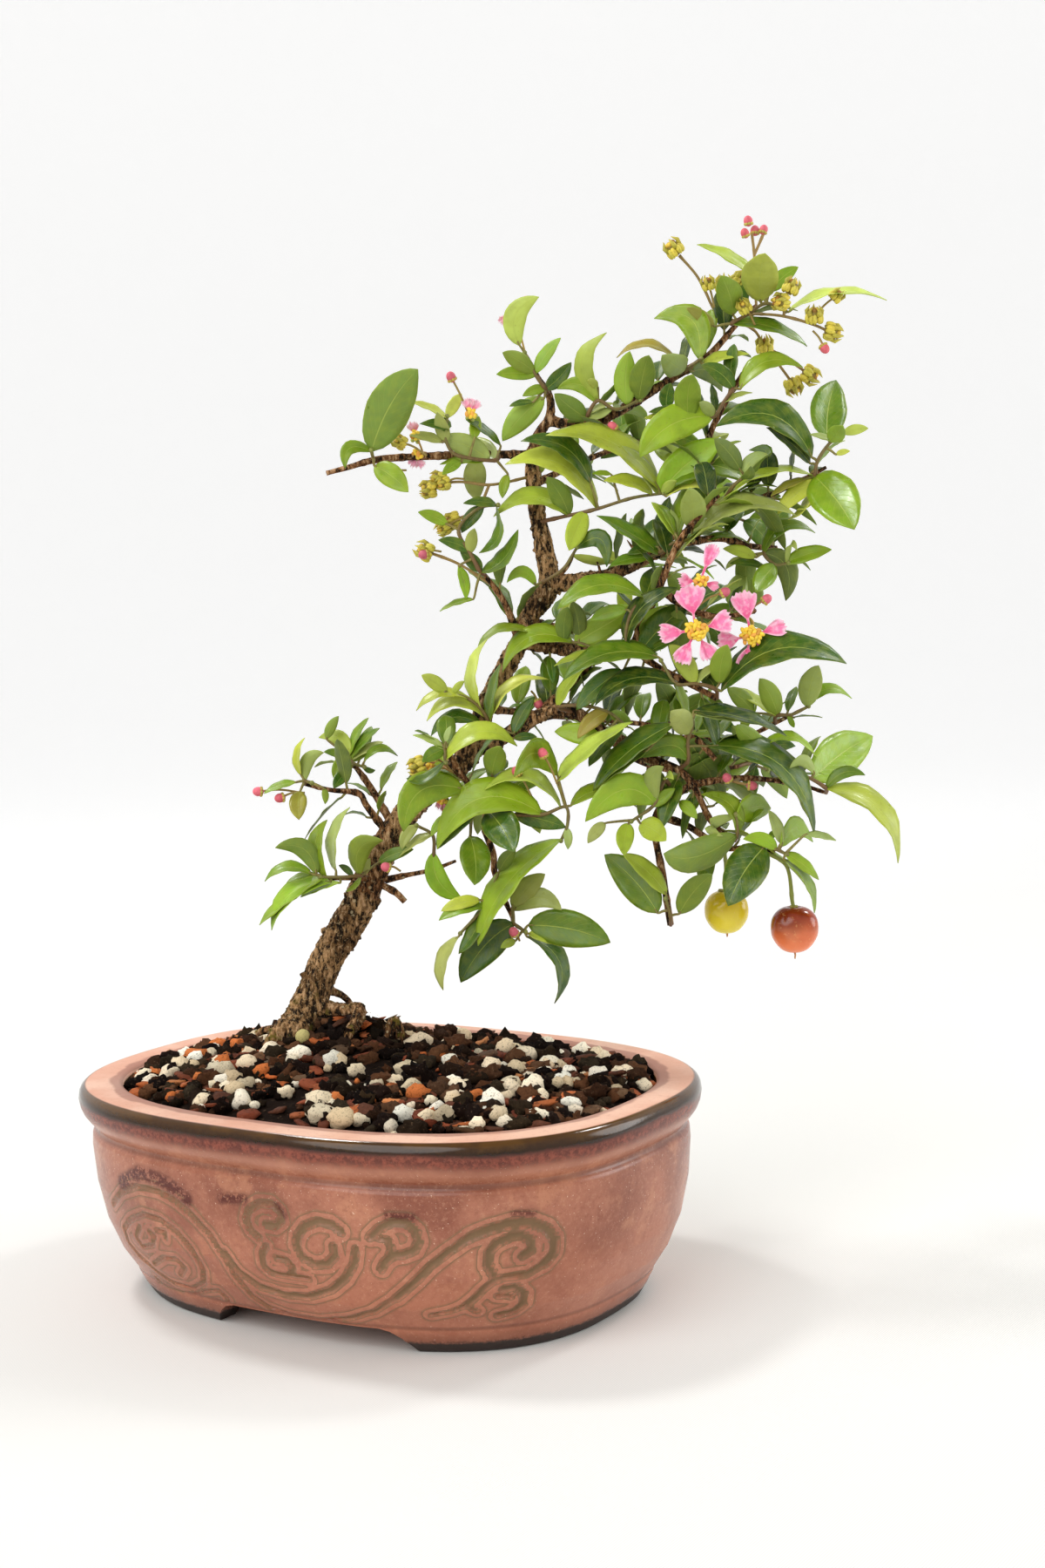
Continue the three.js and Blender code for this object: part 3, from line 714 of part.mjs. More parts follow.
// Where a leaf's stalk, base, middle and tip lie, and how its blade is turned
function leafPlan(stem, row) {
  const [baseAcross, baseUp, tipAcross, tipUp, width, arch, side] = row;
  const joint = nearestOnStem(stem, baseAcross, baseUp);
  const run = [tipAcross - baseAcross, tipUp - baseUp];
  const seenLength = Math.hypot(...run);
  const length = Math.max(seenLength, LEAF_RATIO * width);
  const swing = draw();
  const depth = Math.sqrt(length ** 2 - seenLength ** 2) + LEAF_SWING * length * swing;
  const lean = depth * (draw() < TOWARDS_VIEWER ? 1 : side || -1);
  const baseNear = joint[2] + BASE_SPREAD * (draw() - 0.5);
  const upwards = (run[0] > 0 ? 1 : -1) / seenLength;
  const rise = [-run[1] * upwards, run[0] * upwards];
  const bow = arch || LEAF_BOW * seenLength;
  const middle = [baseAcross + run[0] / 2 + rise[0] * bow, baseUp + run[1] / 2 + rise[1] * bow];
  const blade = Math.max(width, length / NARROWEST_RATIO);
  const face = width / blade;
  return { joint, baseAcross, baseUp, tipAcross, tipUp, middle, rise, baseNear, lean, blade, face };
}

// Ring across a blade: both edges, the midrib's lower side and, on a broad leaf, its upper side
function bladeRing(place, along, sideways, half, thick, fold, broad) {
  const across = sideways.clone().addScaledVector(along, -sideways.dot(along)).normalize();
  const normal = new THREE.Vector3().crossVectors(along, across);
  const lift = Math.sign(normal.z || 1) * fold;
  const point = (w, n) => place.clone().addScaledVector(across, w).addScaledVector(normal, n);
  const ring = [point(half, lift), point(0, thick), point(-half, lift), point(0, -thick)];
  if (broad) return ring;
  return normal.z < 0 ? [ring[0], ring[1], ring[2]] : [ring[0], ring[2], ring[3]];
}

function leafSolid(plan, shift, grow) {
  const near = plan.baseNear + shift / 2;
  const joint = seen(...plan.joint);
  const middle = seen(plan.middle[0], plan.middle[1], near + plan.lean / 2 + shift / 2);
  const tip = seen(plan.tipAcross, plan.tipUp, near + plan.lean + shift / 2);
  let base = seen(plan.baseAcross, plan.baseUp, near);
  const stalk = base.clone().sub(joint);
  const stalked = stalk.length() > SHORTEST_STALK && stalk.dot(middle.clone().sub(base)) > 0;
  if (!stalked) base = joint;
  const pull = middle.clone().multiplyScalar(2).addScaledVector(base, -0.5).addScaledVector(tip, -0.5);
  const curve = new THREE.QuadraticBezierCurve3(base, pull, tip);
  const sideways = VIEW.right.clone().multiplyScalar(plan.rise[0] * plan.face)
    .addScaledVector(VIEW.up, plan.rise[1] * plan.face)
    .addScaledVector(VIEW.forward, Math.sqrt(1 - plan.face ** 2));
  const broad = plan.blade > LARGE_LEAF;
  const profile = broad ? BROAD_PROFILE : SMALL_PROFILE;
  const rings = profile.map(([place, share]) => {
    const half = (plan.blade / 2) * share + grow;
    const thick = Math.min(LEAF_THICKNESS / 2, half) + grow;
    const fold = LEAF_FOLD * plan.blade * share;
    return bladeRing(curve.getPoint(place), curve.getTangent(place), sideways, half, thick, fold, broad);
  });
  if (stalked) {
    const along = stalk.clone().normalize().add(curve.getTangent(0)).normalize();
    const thin = STALK_RADIUS + grow;
    rings.unshift(bladeRing(joint, along, sideways, thin, thin, 0, broad));
  }
  const end = curve.getPoint(1).addScaledVector(curve.getTangent(1), grow);
  return loft(rings, meanOf(rings[0]), end);
}

// Petal: narrow claw at the middle that opens to a broad round blade
function petalSolid(middle, edge) {
  const start = seen(...middle);
  const end = seen(edge[0], edge[1], middle[2] + 1.5);
  const along = end.clone().sub(start);
  const across = new THREE.Vector3().crossVectors(VIEW.forward, along).normalize();
  const normal = new THREE.Vector3().crossVectors(along, across).normalize();
  const rings = PETAL_PROFILE.map(([place, share]) => {
    const half = (PETAL_WIDTH / 2) * share;
    const point = (w, n) => start.clone().addScaledVector(along, place)
      .addScaledVector(across, w).addScaledVector(normal, n);
    return [point(half, 0), point(0, PETAL_THICKNESS), point(-half, 0), point(0, -PETAL_THICKNESS)];
  });
  return loft(rings, meanOf(rings[0]), end);
}

function ball(place, radius, detail) {
  const geometry = detail
    ? new THREE.OctahedronGeometry(radius, detail)
    : new THREE.IcosahedronGeometry(radius, 0);
  const p = seen(...place);
  return fromGeometry(geometry, moved(p.x, p.y, p.z));
}

function stalkSolid(rows, radius) {
  const route = rows.map((row) => seen(...row));
  return tube(route, rows.map(() => radius), STALK_SIDES, 1);
}

function flowerSolid({ middle, stalk, petals }) {
  return joined([
    ball(middle, FLOWER_CENTRE_RADIUS, 0),
    stalkSolid([...stalk, middle], FLOWER_STALK_RADIUS),
    ...petals.map((edge) => petalSolid(middle, edge)),
  ]);
}

function spraySolid({ stalks, heads }) {
  return joined([
    ...stalks.map((rows) => stalkSolid(rows, FLOWER_STALK_RADIUS)),
    ...heads.map(([across, up, near, radius]) => ball([across, up, near], radius, radius > 2 ? 1 : 0)),
  ]);
}

// Three-lobed fruit, a little flattened, with its stalk
function cherrySolid({ stalk, fruit }) {
  const [across, up, near, radius] = fruit;
  const centre = seen(across, up, near);
  const rings = [];
  for (const [share, width] of CHERRY_PROFILE) {
    const ring = [];
    for (let i = 0; i < CHERRY_SIDES; i += 1) {
      const turn = (i / CHERRY_SIDES) * 2 * Math.PI;
      const reach = radius * width * (1 + LOBE_DEPTH * Math.cos(3 * turn));
      ring.push(centre.clone().add(new THREE.Vector3(
        reach * Math.cos(turn), reach * Math.sin(turn), radius * share)));
    }
    rings.push(ring);
  }
  const low = centre.clone().add(new THREE.Vector3(0, 0, -radius));
  const high = centre.clone().add(new THREE.Vector3(0, 0, 0.9 * radius));
  const body = loft(rings, low, high);
  return body.add(stalkSolid([...stalk, [across, up + 0.8 * radius, near]], FRUIT_STALK_RADIUS));
}

function largestPiece(solid) {
  return solid.decompose().reduce((best, piece) => (piece.volume() > best.volume() ? piece : best));
}

function touches(a, b) {
  const [boxA, boxB] = [a.boundingBox(), b.boundingBox()];
  const apart = [0, 1, 2].some((k) => boxA.min[k] > boxB.max[k] || boxB.min[k] > boxA.max[k]);
  return !apart && a.intersect(b).volume() > TOUCH_VOLUME;
}

const group = new THREE.Group();

function addNode(name, solid, colour) {
  const { numProp, vertProperties, triVerts } = solid.getMesh();
  const points = new Float32Array((vertProperties.length / numProp) * 3);
  for (let i = 0; i < points.length; i += 1) {
    points[i] = vertProperties[Math.floor(i / 3) * numProp + (i % 3)];
  }
  const geometry = new THREE.BufferGeometry();
  geometry.setAttribute('position', new THREE.BufferAttribute(points, 3));
  geometry.setIndex(new THREE.BufferAttribute(triVerts, 1));
  const mesh = new THREE.Mesh(geometry, new THREE.MeshStandardMaterial({ color: colour }));
  mesh.name = name;
  group.add(mesh);
}

// Pot, screens, wood and soil
const pot = potSolid();
const wood = woodSolid(0);
const woodRoom = woodSolid(GAP);
const soil = largestPiece(soilSolid().subtract(woodRoom));
addNode('pot', pot, COLOURS.glaze);
addNode('drainage_screen_left', screenSolid(-1), COLOURS.mesh);
addNode('drainage_screen_right', screenSolid(1), COLOURS.mesh);
addNode('potting_mix', soil, COLOURS.soil);
addNode('trunk_and_branches', wood, COLOURS.bark);

// Flowers, sprays and fruit, each held a hair off the wood
const placed = [];
function addGrown(name, solid, colour) {
  const piece = largestPiece(solid.subtract(woodRoom));
  placed.push({ name, solid: piece, colour });
}
for (const [name, rows] of Object.entries(FLOWERS)) {
  addGrown(`flower_${name}`, flowerSolid(rows), COLOURS.pink);
}
for (const [name, rows] of Object.entries(SPRAYS)) {
  addGrown(name, spraySolid(rows), name.includes('buds') ? COLOURS.pink : COLOURS.seed);
}
for (const [name, rows] of Object.entries(CHERRIES)) {
  addGrown(`cherry_${name}`, cherrySolid(rows), COLOURS[name]);
}

// Shoots: first every stem, then leaf after leaf, each kept clear of what stands already
for (const [name, { stem }] of Object.entries(SHOOTS)) {
  const radii = stem.map((_, i) => (i + 1 < stem.length ? TWIG_RADIUS : TWIG_TIP));
  const solid = tube(stem.map((row) => seen(...row)), radii, TWIG_SIDES, 1);
  addGrown(`shoot_${name}`, solid, COLOURS.leaf);
}

function clearOf(test, own) {
  return !touches(test, woodRoom) && placed.every((other) => other === own || !touches(test, other.solid));
}

for (const [name, { stem, leaves }] of Object.entries(SHOOTS)) {
  const own = placed.find((entry) => entry.name === `shoot_${name}`);
  for (const row of leaves) {
    const plan = leafPlan(stem, row);
    const shift = LEAF_SHIFTS.find((step) => clearOf(leafSolid(plan, step, GAP), own));
    if (shift !== undefined) own.solid = own.solid.add(leafSolid(plan, shift, 0));
  }
}
for (const { name, solid, colour } of placed) {
  addNode(name, largestPiece(solid.subtract(woodRoom)), colour);
}

// Origin at the middle of the whole object's footprint, on the surface it stands on
group.position.set(-FOOTPRINT_MIDDLE[0], -FOOTPRINT_MIDDLE[1], 0);

export default group;
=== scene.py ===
# Barbados cherry bonsai in an oval glazed pot. Measures are in millimetres until a mesh is made.
import math
import random

import bpy
import numpy as np
from mathutils import Matrix, Vector, kdtree, noise


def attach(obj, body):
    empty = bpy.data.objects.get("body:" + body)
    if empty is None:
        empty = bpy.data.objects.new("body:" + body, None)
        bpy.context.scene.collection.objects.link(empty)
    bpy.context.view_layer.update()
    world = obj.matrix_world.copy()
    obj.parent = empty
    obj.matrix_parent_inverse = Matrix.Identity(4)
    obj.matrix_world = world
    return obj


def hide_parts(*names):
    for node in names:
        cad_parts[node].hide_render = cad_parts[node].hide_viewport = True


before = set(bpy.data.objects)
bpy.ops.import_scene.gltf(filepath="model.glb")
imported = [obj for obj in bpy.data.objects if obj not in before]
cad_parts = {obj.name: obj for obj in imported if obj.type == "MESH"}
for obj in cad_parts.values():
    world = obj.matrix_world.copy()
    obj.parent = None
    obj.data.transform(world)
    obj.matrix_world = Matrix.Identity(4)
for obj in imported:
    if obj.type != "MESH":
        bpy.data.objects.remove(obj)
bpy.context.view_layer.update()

MM = 0.001
BODY = "root"


def read_rows(words):
    """Rows of numbers from text, with commas between the rows."""
    return [[float(v) for v in row.split()] for row in words.split(",")]


def read_table(words):
    """Named rows from text, with a colon after each name and semicolons between the entries."""
    entries = [entry.split(":") for entry in words.split(";")]
    return {name.strip(): read_rows(rows) for name, rows in entries}


# Front viewpoint, in the pot's frame turned by VIEW_TURN. Tree points are given as seen from it:
# across and up on a plane at SIGHT_RANGE, and near, their distance in front of the trunk's plane
VIEW_TURN = 0.6223
VIEW_RISE = 0.2558
VIEW_DISTANCE = 800.0
AIM_HEIGHT = 40.0
VIEW_YAW = 0.0616
VIEW_PITCH = 0.0993
VIEW_ROLL = -0.0291
SIGHT_RANGE = 816.0
TRUNK_PLANE = 807.0
FOCAL_WIDTHS = 2721 / 1200
SENSOR_WIDTH = 36.0
FOOTPRINT_MIDDLE = (12.75, 33.95)

# Pot
RIM_HALF_LENGTH = 103.0
RIM_HALF_WIDTH = 81.0
SQUARENESS = 2.6
RIM_HEIGHT = 70.0
FLOOR_TOP = 15.0
ARCH_CENTRE = 11.0
ARCH_TOP_HALF = 29.0
ARCH_BASE_HALF = 37.0
DRAIN_RADIUS = 6.0
DRAIN_OFFSET = 40.0
POT_STEPS = 640
FACE_STEP = 0.85
GROOVE_DEPTH = 0.8
GROOVE_TRIM = 0.18
HOLE_SIDES = 48
SIGHT_STEP = 0.4
SIGHT_STEPS = 1400
# Height and inset from the rim's outline, ring by ring from the middle of the underside to the inside
UNDERSIDE = [(7.1, 80.0), (7.1, 50.0), (7.1, 30.0), (6.2, 28.6)]
FOOT = [(0.0, 27.8), (0.0, 21.0), (0.15, 20.2)]
INSIDE = [
    (70.0, 8.0), (69.9, 12.0), (69.3, 13.4), (68.0, 14.0), (64.0, 14.3), (50.0, 14.6), (30.0, 14.8),
    (20.0, 16.5), (16.2, 19.0), (FLOOR_TOP, 24.0), (FLOOR_TOP, 50.0), (FLOOR_TOP, 80.0),
]
OUTSIDE = [
    (0.6, 19.6), (4, 17.5), (7.4, 15.9), (8.6, 15.7), (9.8, 14.9), (16, 11), (26, 7), (38, 4.6), (50, 3.7),
    (53.6, 3.9), (55.0, 5.1), (56.2, 5.1), (57.4, 4.0), (59, 2.6), (61, 1.2), (63, 0.4), (65.5, 0),
    (67.5, 0.25), (68.9, 0.9), (69.8, 2.0), (70.0, 3.2),
]

# Drainage screens: strands both ways, the second layer on top of the first
SCREEN_HALF = 11
STRANDS = 6
STRAND_GAP = 4
STRAND_RADIUS = 0.42
STRAND_HEIGHTS = (15.45, 15.95)

# Soil
SOIL_EDGE = 15.1
SOIL_SIDES = 180
TRUNK_GAP = 6.0
BARE_RADIUS = 19.0
LONG_CHIP = (3.3, 0.5, 0.26)
MOUND_PROFILE = ([SOIL_EDGE, 19.0, 28.0, 45.0, RIM_HALF_WIDTH], [66.4, 68.4, 70.2, 71.6, 72.4])
MOUND_TOP = (-28.0, 17.0)
MOUND_RISE = 6.0
MOUND_SPREAD = 800.0
CRUMBS = 940
MOUND_CRUMBS = 200
STONES = 290
CHIPS = 340

# Leaves
LEAF_RATIO = 2.35
LEAF_FOLD = 0.13
LEAF_THICKNESS = 0.28
LEAF_ALONG = 12
LEAF_ACROSS = 6
TOWARDS_VIEWER = 0.72
SHORTEST_STALK = 1.5
STALK_RADIUS = 0.42
TWIG_RADIUS = 0.72
TWIG_TIP = 0.5
TWIG_SIDES = 9
THICKEST_WITH_LEAVES = 2.3

# Leaf colours by shade number, as display values: partly the leaves' own tones, partly painted light and
# shade, paler for leaves in light and darker for leaves in shade
LEAF_TONES_WITH_LIGHT_AND_SHADE = [
    (34, 66, 12), (60, 96, 14), (94, 128, 20), (128, 158, 28), (176, 192, 60),
    (146, 182, 36), (202, 216, 88), (168, 182, 98), (156, 142, 50),
]

# Wood: least radius of a bough, radius of smooth young wood, how much more makes it old and furrowed,
# how far up the moss reaches, and the voxels that join the boughs
BOUGH_RADIUS = 1.35
YOUNG_RADIUS = 0.9
AGEING_SPAN = 2.2
MOSS_REACH = 45.0
VOXEL = 0.55

# Wood: across up near radius along the trunk, then along the roots and the branches
TRUNK = read_rows("""
-81 -97 6 5.8, -80 -91 5 5.8, -77.5 -84 3 5.8, -73.8 -77 1 6.1, -70.4 -69 0 5.6, -67 -60 0 5.5,
-62 -51 0 5.5, -55 -38.5 0 5.4, -50.5 -29 1 5, -46 -18.5 2 4.4, -39 -9 3 4, -30 0 4 3.8, -20 8 5 3.7,
-15.5 17 6 3.5, -13 26.5 6 3.3, -7 37.5 5 3.1, -1 49 4 3.1, 2 56.5 3 3.2, 7 64.5 2 3.6, 9 70 2 3.4,
8.4 75 1 3, 7 82.5 0 2.8, 5 95 -1 2.6, 3.6 106 -2 2.4, 3.3 113 -3 2.1, 5.5 120 -3 1.9, 9.5 127 -3 1.6,
9 134.5 -4 1.3, 6 139 -4 1, 1 148 -5 0.8
""")

ROOTS = read_table("""
right:
 -72.5 -76 2 4.6, -67.5 -77.2 5 3, -62 -77.6 8 2.3, -56 -78 11.5 2.3, -57.8 -83 14.5 2.1, -61.6 -87.6 17 2,
 -65 -93 19 1.9;
front:
 -75.5 -80 4 5, -77 -86 9 3.7, -78 -92 12 3;
left:
 -75.5 -79 2 4.8, -80.5 -82.5 5 3.4, -85.5 -87.5 8 2.4, -90 -93 10 1.8;
back:
 -74 -79 -1 5, -71 -79 -11 3.6, -67 -85 -20 2.6
""")

# Thin roots that lie on the mound
ROOTLETS = [read_rows(words) for words in """
-67 -71 -2 1.8, -62.5 -72.6 -4 1.3, -59.5 -75.5 -6 1.2, -57.5 -83 -8 1.1;
-46.6 -92 13 1.9, -46 -84 12.5 1.8, -44 -81.5 12 1.7, -42.4 -84.5 11.5 1.6, -42 -93 11 1.6;
-53.5 -78.6 12 0.35, -50.5 -79.2 11 0.3, -48.6 -81 10 0.3, -47.6 -86 9 0.3;
-92 -86 2 1.3, -87 -84.5 2 1.5, -82 -85 3 1.6
""".split(";")]

BRANCHES = read_table("""
left:
 3.3 113 -3 1.8, -8 113.5 0 1.5, -29 113 4 1.4, -51 111.5 8 1.3, -60 109 9 1, -67.5 107 10 0.8;
rightFork:
 8 68 2 3, 20 70 4 2.6, 27.5 71 6 2.4, 35 74 9 2.2, 43 78 12 2, 55 83 15 1.7, 62 90 17 1.4, 69 97 17 1.2,
 82 98.5 16 1.1, 96 104.5 14 0.9, 104.5 109 13 0.7;
upperRight:
 9 125 -3 1.8, 21.5 123 -1 1.9, 31.5 127.5 -1 1.8, 38.5 131.5 -2 1.7, 52 140 -4 1.5, 63.5 147 -6 1.3,
 74.5 159 -8 1, 80.5 164.5 -9 0.9;
upperSide:
 68 96 17 1.1, 63.5 108 12 1, 64.5 120 8 1, 71.5 134 6 0.9, 76 141.5 5 0.8;
lenticelTwig:
 55 83 15 1.3, 69 84.5 9 1.2, 78 82 6 1.1, 87.5 81 4 1;
middleRight:
 -1 49 4 2.2, 12 46.5 8 2.1, 28.5 45.5 14 2, 38 47.5 17 1.9, 41.5 55.5 19 1.8, 44.5 62.5 21 1.6,
 47 67.5 22 1.4, 54 83.5 25 1.2, 66.5 98.5 27 0.9;
cutTwig:
 38 47 17 1.4, 45.5 41 20 1.3, 56.5 35 24 1.2, 67 29.5 27 1.1;
lowRight:
 -17 11.5 6 2.8, -4 17.5 9 2.6, 8 24.5 12 2.4, 18.5 24.5 15 2.2, 26 19 18 2, 34.5 15 20 1.8, 42 9.5 22 1.7,
 53.5 5 24 1.5, 58.5 0 25 1.3, 65.5 -13.5 26 1.1, 73 -19.5 26 0.9;
lowRightSide:
 4 23 11 1.7, 12 30 9 1.5, 19.5 36.5 7 1.3, 24 42 6 1;
cutTwigLow:
 42 9.5 22 1.2, 52 14 26 1.1, 58.5 16 29 1, 66.5 8.5 31 1;
farRight:
 58.5 0 25 1.2, 75 2 21 1, 94.5 0 18 0.8, 104.5 -3 19 0.6;
rightBack:
 42 9.5 22 1.4, 60 15 14 1.2, 75 15.5 11 1, 87 21 12 0.8, 97 26 14 0.6;
hangingRight:
 58.5 0 25 1.2, 47.5 -8 23 1.2, 45.5 -14 22 1.2, 48.5 -32.5 22 1.2, 51 -48.5 22 1.1;
lowest:
 46.5 -11 22.5 1.3, 56 -14 23 1.2, 69.5 -22 25 1, 77.5 -22 25 0.9, 86 -23.5 26 0.8;
front:
 -30 0 4 1.9, -21 -4.5 14 1.6, -12.5 -9.5 22 1.6, -13 -15 22 1.3, -10 -24.5 22 1.2, -9.5 -31 22 1.1,
 -3.5 -46 22 0.8;
frontUp:
 -12.5 -9.5 22 1.4, -23 6.5 26 1.1, -28.5 14 28 0.9;
leftLow:
 -46 -17.5 2 1.5, -54 -7 5 1.3, -56 -3.5 6 1.2, -66.5 -2 8 0.9, -75 0 9 0.7;
leftLowUp:
 -44.5 -14.5 1 1.6, -51.5 -2.5 -2 1.3, -56 4 -3 1.1, -60.5 9.5 -4 0.8;
leftBase:
 -48.5 -33 2 1.4, -57 -32.5 8 0.9, -68 -32.5 11 0.7;
rightBase:
 -47 -33 2 1.4, -40.5 -31.5 6 1, -31 -29.5 9 0.8, -23 -26.5 12 0.6;
flowering:
 47 67.5 22 1.3, 56 61 20 1.1, 67 57.5 19 1, 80 59.5 18 0.8;
stub:
 -50 -34 2 1.4, -43.5 -37.5 6 1.2, -40.5 -40.5 7 1.2;
leftFork:
 -1 49 4 1.7, -6.5 63 8 1.2, -13 72 10 0.8;
backUpper:
 4 103 -2 1.5, 18 110 -18 1.2, 36 117 -34 0.8;
backRight:
 35 74 9 1.6, 44 80 -8 1.3, 56 87 -24 1, 68 91 -36 0.8;
backMiddle:
 2 56 3 1.6, 20 53 -14 1.3, 38 55 -28 1, 52 58 -40 0.8;
backLow:
 -13 26 6 1.6, 6 24 -12 1.3, 28 22 -26 1.1, 48 20 -38 0.8;
backFarRight:
 26 19 18 1.5, 40 8 2 1.2, 58 4 -12 1, 74 6 -22 0.8;
backLeft:
 -30 0 4 1.5, -22 -2 -14 1.2, -10 -6 -28 0.8
""")
